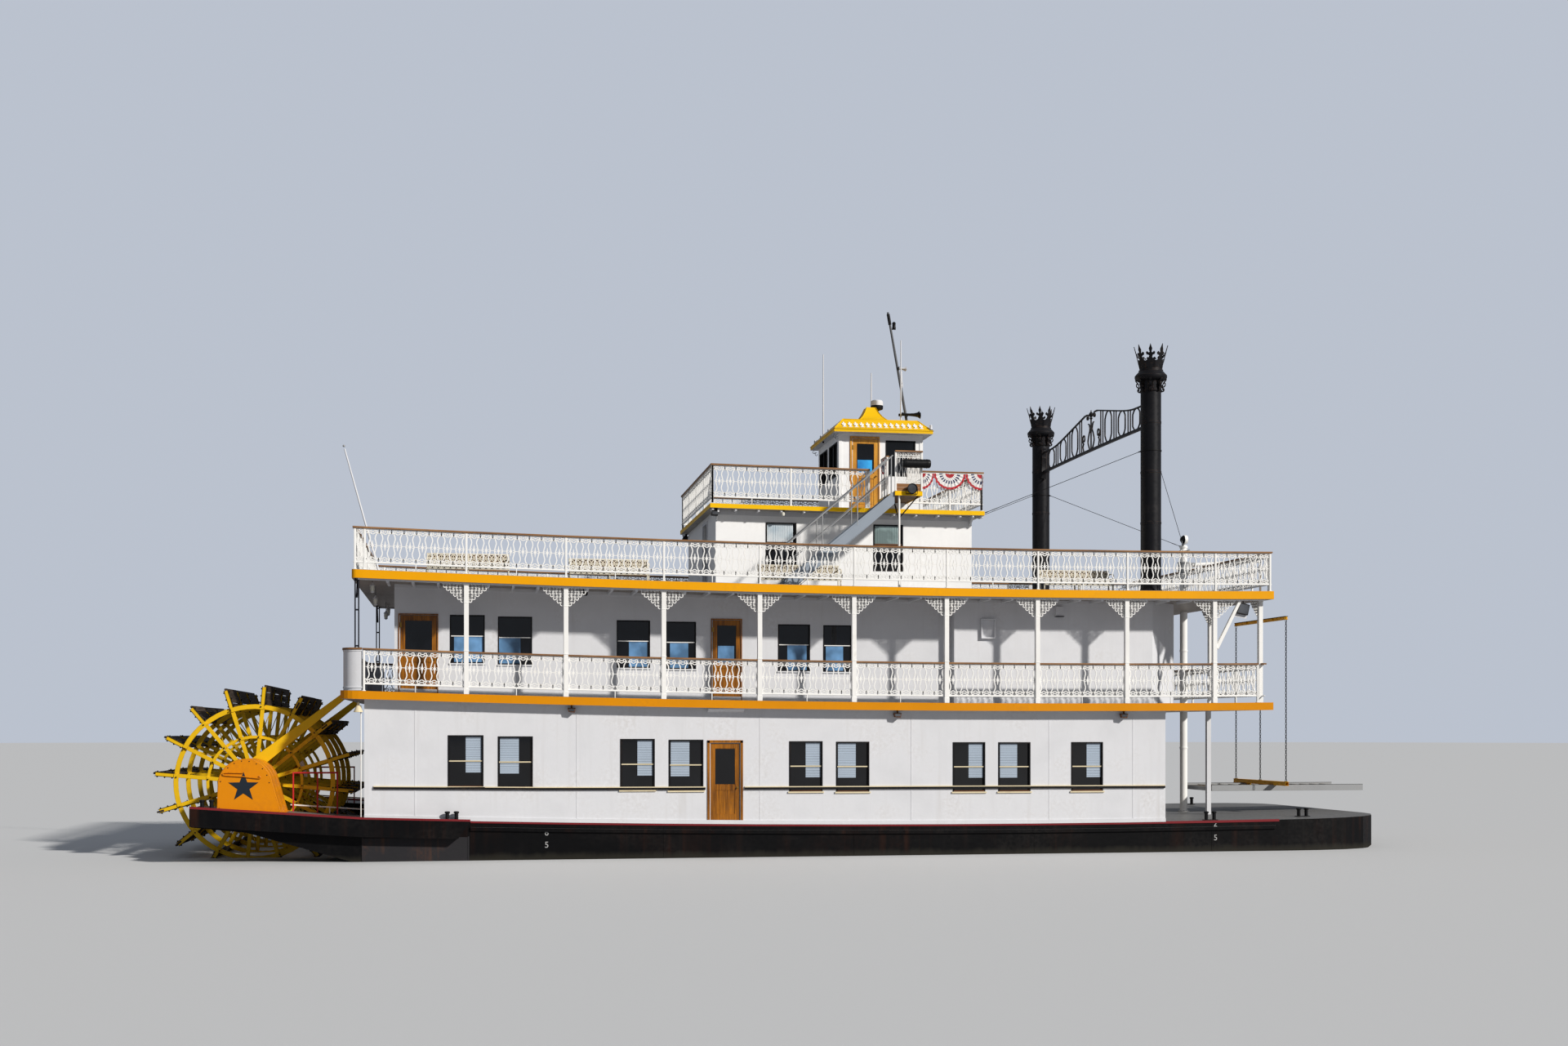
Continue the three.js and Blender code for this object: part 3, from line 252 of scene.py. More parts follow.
def buildGrain(nodes, given, out):
    place = given["Vector"]
    grain = nodes.noise(nodes.stretch(place, (1.2, 26.0, 26.0)), 1.0, 6, 0.65)
    broad = nodes.noise(place, 0.8, 3)
    fine = nodes.noise(nodes.stretch(place, (3.0, 90.0, 90.0)), 1.0, 3)
    mask = nodes.math("ADD", nodes.ramp(grain, 0.32, 0.68), nodes.ramp(broad, 0.35, 0.7, -0.25, 0.25), True)
    nodes.link(nodes.mix(mask, given["Dark"], given["Light"]), out["Colour"])
    nodes.link(nodes.math("ADD", nodes.math("MULTIPLY", grain, 0.7), nodes.math("MULTIPLY", fine, 0.3)),
               out["Height"])


grainGroup = shaderGroup(
    "woodGrain",
    [("Vector", "NodeSocketVector", None), ("Light", "NodeSocketColor", (0.3, 0.15, 0.06, 1)),
     ("Dark", "NodeSocketColor", (0.1, 0.05, 0.02, 1))],
    [("Colour", "NodeSocketColor"), ("Height", "NodeSocketFloat")],
    buildGrain,
)

# Finishes
material = {}


def startFinish(name):
    made = bpy.data.materials.new(name)
    made.use_nodes = True
    material[name] = made
    nodes = Nodes(made.node_tree)
    shader = made.node_tree.nodes["Principled BSDF"]
    place = nodes.new("ShaderNodeTexCoord").outputs["Object"]
    return nodes, shader, place


def placed(nodes, tree, values):
    node = nodes.new("ShaderNodeGroup", {}, node_tree=tree)
    for key, value in values.items():
        if isinstance(value, bpy.types.NodeSocket):
            nodes.link(value, node.inputs[key])
        else:
            node.inputs[key].default_value = value
    return node.outputs


def bump(nodes, shader, height, distance, strength=0.6):
    node = nodes.new("ShaderNodeBump", {"Height": height, "Distance": distance, "Strength": strength})
    nodes.link(node.outputs[0], shader.inputs["Normal"])


def paintFinish(name, colour, dirtColour=(96, 74, 52), dirt=0.25, streaks=0.15, rough=0.45, metal=0.0,
                wear=None, wearWidth=0.012, height=0.004, coat=0.0, shine=0.22):
    nodes, shader, place = startFinish(name)
    paint = placed(nodes, weatherGroup, {
        "Vector": place, "Colour": linear(*colour), "Dirt Colour": linear(*dirtColour),
        "Dirt": dirt, "Streaks": streaks, "Roughness": rough})
    top = paint["Colour"]
    if wear:
        edge = placed(nodes, edgeGroup, {"Vector": place, "Width": wearWidth, "Amount": 0.8})
        top = nodes.mix(edge["Mask"], top, linear(*wear))
    nodes.link(top, shader.inputs["Base Color"])
    nodes.link(paint["Roughness"], shader.inputs["Roughness"])
    shader.inputs["Metallic"].default_value = metal
    shader.inputs["Coat Weight"].default_value = coat
    shader.inputs["Specular IOR Level"].default_value = shine
    bump(nodes, shader, paint["Height"], height)


def woodFinish(name, light, dark, turn=(0, 0, 0), rough=0.5, coat=0.0, height=0.003):
    nodes, shader, place = startFinish(name)
    turned = nodes.new("ShaderNodeMapping",
                       {"Vector": place, "Rotation": [math.radians(a) for a in turn]}).outputs[0]
    wood = placed(nodes, grainGroup, {"Vector": turned, "Light": linear(*light), "Dark": linear(*dark)})
    worn = placed(nodes, weatherGroup, {
        "Vector": place, "Colour": wood["Colour"], "Dirt Colour": linear(60, 50, 42), "Dirt": 0.4,
        "Streaks": 0.0, "Roughness": rough})
    nodes.link(worn["Colour"], shader.inputs["Base Color"])
    nodes.link(worn["Roughness"], shader.inputs["Roughness"])
    shader.inputs["Coat Weight"].default_value = coat
    shader.inputs["Specular IOR Level"].default_value = 0.25
    bump(nodes, shader, wood["Height"], height)


def glassFinish(name, tint, rough=0.04):
    nodes, shader, place = startFinish(name)
    smear = nodes.noise(place, 1.4, 3)
    nodes.link(nodes.mix(nodes.ramp(smear, 0.4, 0.7), linear(*tint),
                         linear(*[min(255, v * 1.5 + 8) for v in tint])),
               shader.inputs["Base Color"])
    nodes.link(nodes.ramp(smear, 0.3, 0.8, rough, rough + 0.05), shader.inputs["Roughness"])
    bump(nodes, shader, nodes.noise(place, 0.7, 1), 0.01, 0.15)
    shader.inputs["Coat Weight"].default_value = 0.5
    shader.inputs["Coat Roughness"].default_value = 0.02


def deckFinish(name, edgeColour, topColour, underColour):
    # Top walked on, edges painted, underside pale: told apart by which way a face looks
    nodes, shader, place = startFinish(name)
    way = nodes.new("ShaderNodeSeparateXYZ",
                    {0: nodes.new("ShaderNodeNewGeometry").outputs["Normal"]}).outputs[2]
    up = nodes.math("GREATER_THAN", way, 0.7)
    under = nodes.math("LESS_THAN", way, -0.7)
    edge = placed(nodes, weatherGroup, {
        "Vector": place, "Colour": linear(*edgeColour), "Dirt Colour": linear(120, 74, 20), "Dirt": 0.22,
        "Streaks": 0.16, "Roughness": 0.42})
    flat = placed(nodes, weatherGroup, {
        "Vector": place, "Colour": nodes.mix(under, linear(*topColour), linear(*underColour)),
        "Dirt Colour": linear(84, 76, 66), "Dirt": 0.6, "Streaks": 0.0, "Roughness": 0.6})
    level = nodes.math("MAXIMUM", up, under)
    nodes.link(nodes.mix(level, edge["Colour"], flat["Colour"]), shader.inputs["Base Color"])
    nodes.link(edge["Roughness"], shader.inputs["Roughness"])
    shader.inputs["Specular IOR Level"].default_value = 0.15
    bump(nodes, shader, edge["Height"], 0.004)


def hullFinish(name):
    nodes, shader, place = startFinish(name)
    paint = placed(nodes, weatherGroup, {
        "Vector": place, "Colour": linear(9, 9, 11), "Dirt Colour": linear(40, 36, 34), "Dirt": 0.45,
        "Streaks": 0.40, "Roughness": 0.40})
    rust = placed(nodes, weatherGroup, {
        "Vector": nodes.stretch(place, (0.8, 0.8, 0.5)), "Colour": paint["Colour"],
        "Dirt Colour": linear(92, 50, 28),
        "Dirt": 0.08, "Streaks": 0.30, "Roughness": 0.42})
    axes = nodes.new("ShaderNodeSeparateXYZ", {0: place}).outputs
    ragged = nodes.math("ADD", axes[2],
                        nodes.math("MULTIPLY", nodes.noise(nodes.stretch(place, (3.0, 3.0, 1.0)), 1.6, 5),
            -0.22))
    weed = nodes.ramp(ragged, waterline + 0.08, waterline - 0.06)
    stained = nodes.mix(nodes.math("MULTIPLY", weed, 0.8), rust["Colour"], linear(40, 38, 32))
    top = nodes.math("GREATER_THAN",
                     nodes.new("ShaderNodeSeparateXYZ",
                               {0: nodes.new("ShaderNodeNewGeometry").outputs["Normal"]}).outputs[2], 0.8)
    nodes.link(nodes.mix(top, stained, nodes.mix(paint["Mask"], linear(112, 112, 112), linear(70, 64, 58))),
               shader.inputs["Base Color"])
    nodes.link(nodes.math("ADD", paint["Roughness"], nodes.math("MULTIPLY", weed, 0.2)),
               shader.inputs["Roughness"])
    shader.inputs["Specular IOR Level"].default_value = 0.14
    bump(nodes, shader,
         nodes.math("ADD", rust["Height"], nodes.math("MULTIPLY", nodes.noise(place, 0.55, 2), 6.0)), 0.006)


def clothFinish(name):
    # Bunting: the uv runs round the fan in u and from the middle to the hem in v
    nodes, shader, place = startFinish(name)
    uv = nodes.new("ShaderNodeUVMap").outputs[0]
    across = nodes.new("ShaderNodeSeparateXYZ", {0: uv}).outputs
    # Red in the middle, a broken navy band on white, and a red hem
    middle = nodes.math("LESS_THAN", across[1], 0.24)
    hem = nodes.math("GREATER_THAN", across[1], 0.86)
    dash = nodes.math("GREATER_THAN", nodes.math("SINE", nodes.math("MULTIPLY", across[0], 69.0)), -0.1)
    band = nodes.math("MULTIPLY", nodes.math("GREATER_THAN", across[1], 0.42),
                      nodes.math("LESS_THAN", across[1], 0.64))
    colour = nodes.mix(nodes.math("MAXIMUM", middle, hem), linear(232, 231, 230), linear(186, 30, 44))
    colour = nodes.mix(nodes.math("MULTIPLY", band, dash), colour, linear(34, 44, 92))
    weave = nodes.noise(nodes.stretch(place, (120.0, 120.0, 120.0)), 1.0, 2)
    colour = nodes.mix(nodes.ramp(nodes.noise(place, 5.0, 3), 0.4, 0.8, 0.0, 0.25), colour,
                       linear(120, 110, 104))
    nodes.link(colour, shader.inputs["Base Color"])
    shader.inputs["Roughness"].default_value = 0.85
    shader.inputs["Sheen Weight"].default_value = 0.3
    bump(nodes, shader, weave, 0.001, 0.5)


paintFinish("whitePaint", (220, 221, 225), (150, 138, 122), 0.30, 0.30, 0.5, height=0.006)
# Brighter copy of the white paint for the texas cabin and pilot house: painted light, so their walls read
# as sunlit
paintFinish("texasWhite", (250, 250, 250), (170, 160, 146), 0.22, 0.20, 0.5, height=0.004)
paintFinish("railWhite", (246, 245, 242), (150, 130, 108), 0.25, 0.15, 0.42, height=0.002)
paintFinish("creamPaint", (226, 212, 178), (120, 90, 60), 0.35, 0.15, 0.45)
paintFinish("stackBlack", (23, 23, 27), (66, 60, 56), 0.35, 0.25, 0.40, 0.1, wear=(92, 70, 58),
            wearWidth=0.015)
paintFinish("ironBlack", (26, 26, 28), (80, 60, 46), 0.35, 0.10, 0.45, 0.3)
paintFinish("wheelYellow", (232, 186, 18), (110, 70, 26), 0.42, 0.38, 0.42, wear=(94, 58, 30),
            wearWidth=0.014)
paintFinish("coverOrange", (222, 136, 6), (132, 70, 14), 0.35, 0.20, 0.36, wear=(120, 66, 26),
            wearWidth=0.012)
paintFinish("roofYellow", (240, 190, 8), (150, 100, 20), 0.28, 0.15, 0.40)
paintFinish("boomYellow", (222, 164, 16), (96, 62, 30), 0.35, 0.20, 0.45)
paintFinish("railRed", (186, 44, 46), (90, 40, 30), 0.30, 0.10, 0.42)
paintFinish("stripeRed", (124, 34, 40), (60, 30, 30), 0.50, 0.30, 0.50)
paintFinish("starDark", (32, 40, 50), (70, 60, 50), 0.25, 0.10, 0.45)
paintFinish("mastGrey", (92, 94, 98), (70, 62, 54), 0.35, 0.10, 0.48)
paintFinish("greyPaint", (158, 160, 162), (96, 84, 72), 0.40, 0.20, 0.48)
paintFinish("stringerGrey", (150, 160, 172), (96, 92, 92), 0.30, 0.15, 0.48)
paintFinish("hullGrey", (46, 45, 48), (116, 74, 46), 0.60, 0.90, 0.55, 0.2, height=0.010)
paintFinish("darkPost", (34, 36, 44), (80, 70, 60), 0.25, 0.10, 0.42)
paintFinish("figureWhite", (170, 170, 170), (80, 70, 60), 0.60, 0.20, 0.55)
paintFinish("engineIron", (66, 66, 66), (90, 56, 34), 0.6, 0.2, 0.6, 0.6)
paintFinish("vinylBlack", (20, 20, 22), (60, 56, 52), 0.25, 0.0, 0.38)
paintFinish("brass", (176, 140, 70), (70, 50, 24), 0.40, 0.0, 0.32, 0.9)
paintFinish("steel", (168, 170, 172), (90, 76, 60), 0.35, 0.10, 0.34, 0.9)
paintFinish("benchCream", (224, 217, 200), (110, 92, 70), 0.45, 0.15, 0.5, height=0.002)
paintFinish("ropeTan", (150, 128, 96), (80, 66, 48), 0.4, 0.0, 0.85)
paintFinish("curtainWhite", (222, 222, 218), (170, 164, 150), 0.15, 0.0, 0.85)
paintFinish("blindBlue", (176, 190, 206), (120, 120, 120), 0.15, 0.0, 0.80)
paintFinish("lampGlass", (240, 238, 224), (190, 180, 150), 0.10, 0.0, 0.25, coat=0.6)
woodFinish("railWood", (172, 128, 86), (112, 78, 50), rough=0.5, coat=0.05)
woodFinish("doorWood", (180, 112, 20), (98, 56, 10), (0, 90, 0), 0.36, 0.3)
woodFinish("pilotWood", (234, 170, 62), (180, 114, 34), (0, 90, 0), 0.34, 0.5)
woodFinish("floatWood", (86, 72, 60), (34, 27, 23), (0, 0, 90), 0.75, 0.0, 0.012)
woodFinish("boardBrown", (166, 116, 70), (104, 68, 40), rough=0.55)
woodFinish("sillWood", (120, 78, 50), (66, 42, 28), rough=0.55)
woodFinish("stageWood", (150, 138, 120), (92, 84, 74), rough=0.75, height=0.006)
# Near-black opaque glass standing for the unlit room behind windows and doors: painted shade
glassFinish("glassBlack", (4, 5, 8))
# Blue pane standing for the sky's reflection in lower sashes and door glass: painted reflection
glassFinish("glassBlue", (78, 112, 146), 0.06)
glassFinish("glassPale", (196, 212, 222), 0.08)
glassFinish("glassMist", (128, 146, 146), 0.08)
# Deeper blue pane for the sky's reflection in the pilot house door glass: painted reflection
glassFinish("glassSky", (40, 118, 190), 0.06)
glassFinish("lensDark", (58, 60, 64), 0.10)
deckFinish("fasciaAmber", (220, 141, 4), (128, 132, 136), (196, 192, 186))
deckFinish("fasciaYellow", (240, 166, 3), (128, 132, 136), (150, 140, 132))
deckFinish("fasciaSun", (250, 196, 8), (128, 132, 136), (170, 162, 154))
hullFinish("hullBlack")
clothFinish("buntingCloth")
print("finishes made:", len(material))


# Mesh code
def span(start, end, count):
    return [start + (end - start) * i / count for i in range(count + 1)]


def flowing(points, steps=4, closed=False):
    # Smooth line through the points
    made, n = [], len(points)
    pick = (lambda i: Vector(points[i % n])) if closed else (lambda i: Vector(points[min(max(i, 0),
            n - 1)]))
    for i in range(n if closed else n - 1):
        a, b, c, d = pick(i - 1), pick(i), pick(i + 1), pick(i + 2)
        for k in range(steps):
            t = k / steps
            made.append(0.5 * (2 * b + (c - a) * t + (2 * a - 5 * b + 4 * c - d) * t * t
                               + (3 * b - a - 3 * c + d) * t ** 3))
    if not closed:
        made.append(Vector(points[-1]))
    return made


class Shape:
    def __init__(self):
        self.points, self.faces, self.marks = [], [], []

    def put(self, points, faces, mark=0):
        first = len(self.points)
        self.points += [Vector(p) for p in points]
        self.faces += [[first + i for i in face] for face in faces]
        self.marks += [mark] * len(faces)

    def box(self, x0, x1, y0, y1, z0, z1, mark=0):
        points = [(x, y, z) for x in (x0, x1) for y in (y0, y1) for z in (z0, z1)]
        self.put(points, [(0, 1, 3, 2), (4, 6, 7, 5), (0, 4, 5, 1), (2, 3, 7, 6), (0, 2, 6, 4),
                          (1, 5, 7, 3)], mark)

    def lifted(self, x0, x1, y0, y1, z0, z1, mark=0):
        up = rise((x0 + x1) / 2)
        self.box(x0, x1, y0, y1, z0 + up, z1 + up, mark)

    def run(self, x0, x1, y0, y1, z0, z1, mark=0):
        # A long piece bent to the sheer
        xs = stations(x0, x1)
        points = [(x, y, z + rise(x)) for x in xs for y, z in ((y0, z0), (y1, z0), (y1, z1), (y0, z1))]
        last = 4 * (len(xs) - 1)
        faces = [(0, 1, 2, 3), (last, last + 3, last + 2, last + 1)]
        for i in range(len(xs) - 1):
            faces += [(4 * i + k, 4 * i + 4 + k, 4 * i + 4 + (k + 1) % 4, 4 * i + (k + 1) % 4)
                      for k in range(4)]
        self.put(points, faces, mark)

    def prism(self, outline, along, low, high, mark=0):
        # An outline extruded along an axis: its points are the other two axes in order
        n = len(outline)
        place = {"x": lambda p, t: (t, p[0], p[1]), "y": lambda p, t: (p[0], t, p[1]), "z": lambda p,
                 t: (p[0], p[1], t)}[along]
        points = [place(p, low) for p in outline] + [place(p, high) for p in outline]
        faces = [list(range(n)), list(range(2 * n - 1, n - 1, -1))]
        faces += [(i, n + i, n + (i + 1) % n, (i + 1) % n) for i in range(n)]
        self.put(points, faces, mark)

    def sweep(self, path, section, closed=False, normal=None, mark=0, shrink=None):
        # A section of (sideways, normal) points carried along a path
        path = [Vector(p) for p in path]
        n, m = len(path), len(section)
        held, points = None, []
        for i, at in enumerate(path):
            before = path[i - 1] if i or closed else path[0]
            after = path[(i + 1) % n] if i < n - 1 or closed else path[-1]
            ahead = (after - before).normalized()
            if normal is not None:
                out = Vector(normal)
            elif held is None:
                out = ahead.orthogonal().normalized() if abs(ahead.z) > 0.95 else ahead.cross(Vector((0, 0,
                    1))).cross(ahead).normalized()
            else:
                out = (held - ahead * held.dot(ahead)).normalized()
            held = out
            aside = out.cross(ahead).normalized()
            size = shrink[i] if shrink else 1
            points += [at + aside * (u * size) + out * (v * size) for u, v in section]
        faces = []
        for i in range(n if closed else n - 1):
            j = (i + 1) % n
            faces += [(i * m + k, j * m + k, j * m + (k + 1) % m, i * m + (k + 1) % m) for k in range(m)]
        if not closed:
            faces += [list(range(m - 1, -1, -1)), [(n - 1) * m + k for k in range(m)]]
        self.put(points, faces, mark)

    def flat(self, path, wide, thick, normal=(0, 1, 0), closed=False, mark=0):
        w, t = wide / 2, thick / 2
        self.sweep(path, [(-w, -t), (w, -t), (w, t), (-w, t)], closed, normal, mark)

    def tube(self, path, radius, sides=8, closed=False, mark=0, shrink=None):
        ring = [(radius * math.cos(2 * math.pi * k / sides), radius * math.sin(2 * math.pi * k / sides))
                for k in range(sides)]
        self.sweep(path, ring, closed, None, mark, shrink)

    def lathe(self, profile, at, axis="z", sides=24, mark=0):
        # A profile of (radius, height) turned round an axis through the point
        at = Vector(at)
        place = {"z": lambda r, h, c, s: (r * c, r * s, h), "y": lambda r, h, c, s: (r * c, h, r * s),
                 "x": lambda r, h, c, s: (h, r * c, r * s)}[axis]
        points, rows = [], []
        for r, h in profile:
            if r < 1e-5:
                rows.append([len(points)])
                points.append(at + Vector(place(0, h, 1, 0)))
            else:
                rows.append(list(range(len(points), len(points) + sides)))
                points += [at + Vector(place(r, h, math.cos(2 * math.pi * k / sides),
                        math.sin(2 * math.pi * k / sides))) for k in range(sides)]
        faces = []
        for a, b in zip(rows, rows[1:]):
            for k in range(sides):
                j = (k + 1) % sides
                if len(a) == 1 and len(b) > 1:
                    faces.append((a[0], b[k], b[j]))
                elif len(b) == 1 and len(a) > 1:
                    faces.append((a[k], b[0], a[j]))
                elif len(a) > 1:
                    faces.append((a[k], b[k], b[j], a[j]))
        for row in (rows[0], rows[-1]):
            if len(row) > 1:
                faces.append(row)
        self.put(points, faces, mark)

    def mesh(self, name, finishes, angle=35, shift=shiftX):
        mesh = bpy.data.meshes.new(name)
        mesh.from_pydata([(p[0] + shift, p[1], p[2]) for p in self.points], [], self.faces)
        mesh.polygons.foreach_set("material_index", self.marks)
        work = bmesh.new()
        work.from_mesh(mesh)
        bmesh.ops.recalc_face_normals(work, faces=work.faces)
        work.to_mesh(mesh)
        work.free()
        for finish in finishes:
            mesh.materials.append(material[finish])
        mesh.shade_smooth()
        mesh.set_sharp_from_angle(angle=math.radians(angle))
        return mesh

    def made(self, name, finishes, slot="white_paint", body="root", replaces=(), bevel=0, angle=35,
             segments=1):
        return settle(name, self.mesh(name, finishes, angle), body, replaces, bevel, segments)


def settle(name, mesh, body="root", replaces=(), bevel=0, segments=1):
    piece = bpy.data.objects.new(name, mesh)
    scene.collection.objects.link(piece)
    if bevel:
        trim = piece.modifiers.new("softEdges", "BEVEL")
        trim.width = bevel
        trim.segments = segments
        trim.limit_method = "ANGLE"
        trim.angle_limit = math.radians(40)
    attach(piece, body)
    if replaces:
        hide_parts(*replaces)
    return piece


# Geometry Nodes: a unit set on every point of a host, turned by the host's own attribute
def repeatTree():
    tree = bpy.data.node_groups.new("repeatUnit", "GeometryNodeTree")
    face = tree.interface
    for label, kind in (("Geometry", "NodeSocketGeometry"), ("Unit", "NodeSocketObject"),
                        ("Finish", "NodeSocketMaterial"), ("Size", "NodeSocketFloat")):
        face.new_socket(label, in_out="INPUT", socket_type=kind)
    face.new_socket("Geometry", in_out="OUTPUT", socket_type="NodeSocketGeometry")
    nodes = Nodes(tree)
    given = nodes.new("NodeGroupInput").outputs
    unit = nodes.new("GeometryNodeObjectInfo", {"Object": given["Unit"]}).outputs["Geometry"]
    turn = nodes.new("GeometryNodeInputNamedAttribute", {"Name": "turn"},
                     data_type="FLOAT_VECTOR").outputs[0]
    stretch = nodes.new("GeometryNodeInputNamedAttribute", {"Name": "stretch"},
                        data_type="FLOAT_VECTOR").outputs[0]
    spin = nodes.new("FunctionNodeEulerToRotation", {0: turn}).outputs[0]
    size = nodes.new("ShaderNodeVectorMath", {0: stretch, "Scale": given["Size"]},
                     operation="SCALE").outputs[0]
    put = nodes.new("GeometryNodeInstanceOnPoints", {"Points": given["Geometry"], "Instance": unit,
            "Rotation": spin, "Scale": size})
    real = nodes.new("GeometryNodeRealizeInstances", {"Geometry": put.outputs[0]})
    coloured = nodes.new("GeometryNodeSetMaterial",
                         {"Geometry": real.outputs[0], "Material": given["Finish"]})
    nodes.link(coloured.outputs[0], nodes.new("NodeGroupOutput").inputs[0])
    return tree


repeater = repeatTree()


def socketId(tree, label):
    return next(item.identifier for item in tree.interface.items_tree if item.name == label
                and item.in_out == "INPUT")


def repeated(name, unit, places, finish, body="root", replaces=(), angle=40):
    # places is a list of (x, y, z, turn about x, y, z) or longer, with three stretches after
    host = bpy.data.meshes.new(name + "Host")
    host.from_pydata([(p[0] + shiftX, p[1], p[2]) for p in places], [], [])
    turn = host.attributes.new("turn", "FLOAT_VECTOR", "POINT")
    turn.data.foreach_set("vector", [v for p in places for v in (p[3:6] if len(p) > 5 else (0, 0, 0))])
    stretch = host.attributes.new("stretch", "FLOAT_VECTOR", "POINT")
    stretch.data.foreach_set("vector", [v for p in places for v in (p[6:9] if len(p) > 8 else (1, 1, 1))])
    carrier = bpy.data.objects.new(name + "Host", host)
    model = bpy.data.objects.new(name + "Unit", unit.mesh(name + "Unit", [finish], angle, 0))
    scene.collection.objects.link(carrier)
    scene.collection.objects.link(model)
    step = carrier.modifiers.new("repeat", "NODES")
    step.node_group = repeater
    step[socketId(repeater, "Unit")] = model
    step[socketId(repeater, "Finish")] = material[finish]
    step[socketId(repeater, "Size")] = 1.0
    graph = bpy.context.evaluated_depsgraph_get()
    mesh = bpy.data.meshes.new_from_object(carrier.evaluated_get(graph), depsgraph=graph)
    mesh.name = name
    for spare in (carrier, model):
        bpy.data.objects.remove(spare)
    return settle(name, mesh, body, replaces)


print("helpers ready")

# Cast-iron lace: one unit of the rail panel, its bars and rings in the x-z plane
lace = {"pitch": 0.305, "foot": 0.19, "high": 0.815, "bar": 0.027, "thick": 0.020, "ring": 0.033,
        "ringIn": 0.072}
# Half outline of the vase from the lower band to the middle
vase = [(0.100, 0.112), (0.068, 0.175), (0.058, 0.235), (0.080, 0.320), (0.104, 0.4075)]


def laceUnit():
    unit = Shape()
    half, top, mid = lace["pitch"] / 2, lace["high"], lace["high"] / 2
    bar, thick, r, cx = lace["bar"], lace["thick"], lace["ring"], lace["ringIn"]
    for s in (-1, 1):
        points = vase + [(x, top - z) for x, z in reversed(vase[:-1])]
        unit.flat(flowing([(s * x, 0, z) for x, z in points], 1), bar, thick)
        unit.flat([(s * 0.100, 0, mid), (s * half, 0, mid)], bar * 0.5, thick * 0.8)
        unit.flat([(s * 0.050, 0, mid + 0.035), (s * 0.096, 0, mid)], bar * 0.6, thick * 0.9)
        unit.flat([(s * 0.050, 0, mid - 0.035), (s * 0.096, 0, mid)], bar * 0.6, thick * 0.9)
        for low in (True, False):
            z = lambda v: v if low else top - v
            ring = [(s * (cx + r * math.cos(a)), 0, z(0.062 + r * math.sin(a))) for a in span(0,
                    2 * math.pi, 7)[:-1]]
            unit.flat(ring, bar * 0.95, thick, closed=True)
            unit.flat([(s * 0.098, 0, z(0.115)), (s * half, 0, z(0.070))], bar, thick)
            unit.flat([(s * half, 0, z(0.015)), (s * (half - 0.006), 0, z(0.118))], bar * 0.8, thick)
            unit.flat([(s * 0.060, 0, z(0.100)), (0, 0, z(0.128))], bar * 0.8, thick)
            unit.flat([(s * 0.040, 0, z(0.062)), (0, 0, z(0.066))], bar * 0.9, thick)
    unit.prism([(0.040, mid), (0.016, mid + 0.040), (0.005, mid + 0.120), (-0.005, mid + 0.120),
                (-0.016, mid + 0.040),
                (-0.040, mid), (-0.016, mid - 0.040), (-0.005, mid - 0.120), (0.005, mid - 0.120),
                (0.016, mid - 0.040)],
               "y", -thick * 0.7, thick * 0.7)
    unit.box(-half, half, -thick / 2, thick / 2, 0, 0.022)
    unit.box(-half, half, -thick / 2, thick / 2, top - 0.022, top)
    return unit


def railLine(a, b, at, along, base):
    # Even places for lace between two posts, along x or along y
    count = max(1, round((b - a) / lace["pitch"]))
    step = (b - a) / count
    made = []
    for i in range(count):
        c = a + (i + 0.5) * step
        x, y = (c, at) if along == "x" else (at, c)
        slope = (rise(x + 0.1) - rise(x - 0.1)) / 0.2 if along == "x" else 0
        turn = (0, -math.atan(slope), 0) if along == "x" else (0, 0, math.pi / 2)
        made.append((x, y, base + rise(x) + lace["foot"], *turn, step / lace["pitch"], 1, 1))
    return made


# Rails: a table of straight runs, each with its posts; x runs follow the sheer
class Rail:
    def __init__(self):
        self.frame, self.lace = Shape(), []

    def side(self, x0, x1, y, base, posts):
        cap = self.frame
        cap.run(x0, x1, y - 0.055, y + 0.055, base + railTop - 0.042, base + railTop, 1)
        cap.run(x0, x1, y - 0.020, y + 0.020, base + railTop - 0.060, base + railTop - 0.042, 0)
        cap.run(x0 + 0.01, x1 - 0.01, y - 0.016, y + 0.016, base + lace["foot"] - 0.026,
                base + lace["foot"] + 0.004, 0)
        for x in posts:
            cap.lifted(x - 0.026, x + 0.026, y - 0.026, y + 0.026, base, base + railTop - 0.05)
            cap.lifted(x - 0.045, x + 0.045, y - 0.045, y + 0.045, base, base + 0.018)
        for a, b in zip(posts, posts[1:]):
            mid = (a + b) / 2
            cap.lifted(mid - 0.012, mid + 0.012, y - 0.012, y + 0.012, base, base + lace["foot"])
            self.lace += railLine(a + 0.026, b - 0.026, y, "x", base)

    def cross(self, y0, y1, x, base, posts):
        cap, up = self.frame, rise(x)
        cap.box(x - 0.055, x + 0.055, y0, y1, base + up + railTop - 0.042, base + up + railTop, 1)
        cap.box(x - 0.020, x + 0.020, y0, y1, base + up + railTop - 0.060, base + up + railTop - 0.042, 0)
        cap.box(x - 0.016, x + 0.016, y0, y1, base + up + lace["foot"] - 0.026,
                base + up + lace["foot"] + 0.004, 0)
        for y in posts:
            cap.box(x - 0.026, x + 0.026, y - 0.026, y + 0.026, base + up, base + up + railTop - 0.05)
        for a, b in zip(posts, posts[1:]):
            self.lace += railLine(a + 0.026, b - 0.026, x, "y", base)


def steps(start, end, step):
    return [start + i * step for i in range(int((end - start) / step + 1.001))]


unitOfLace = laceUnit()
columnXs = [i * bay for i in range(9)]
bracket = {"long": 0.52, "tall": 0.47, "thick": 0.026, "bar": 0.021, "ring": 0.044, "step": 0.084}
bracketRows = [0.50, 0.38, 0.30, 0.25, 0.20, 0.12]


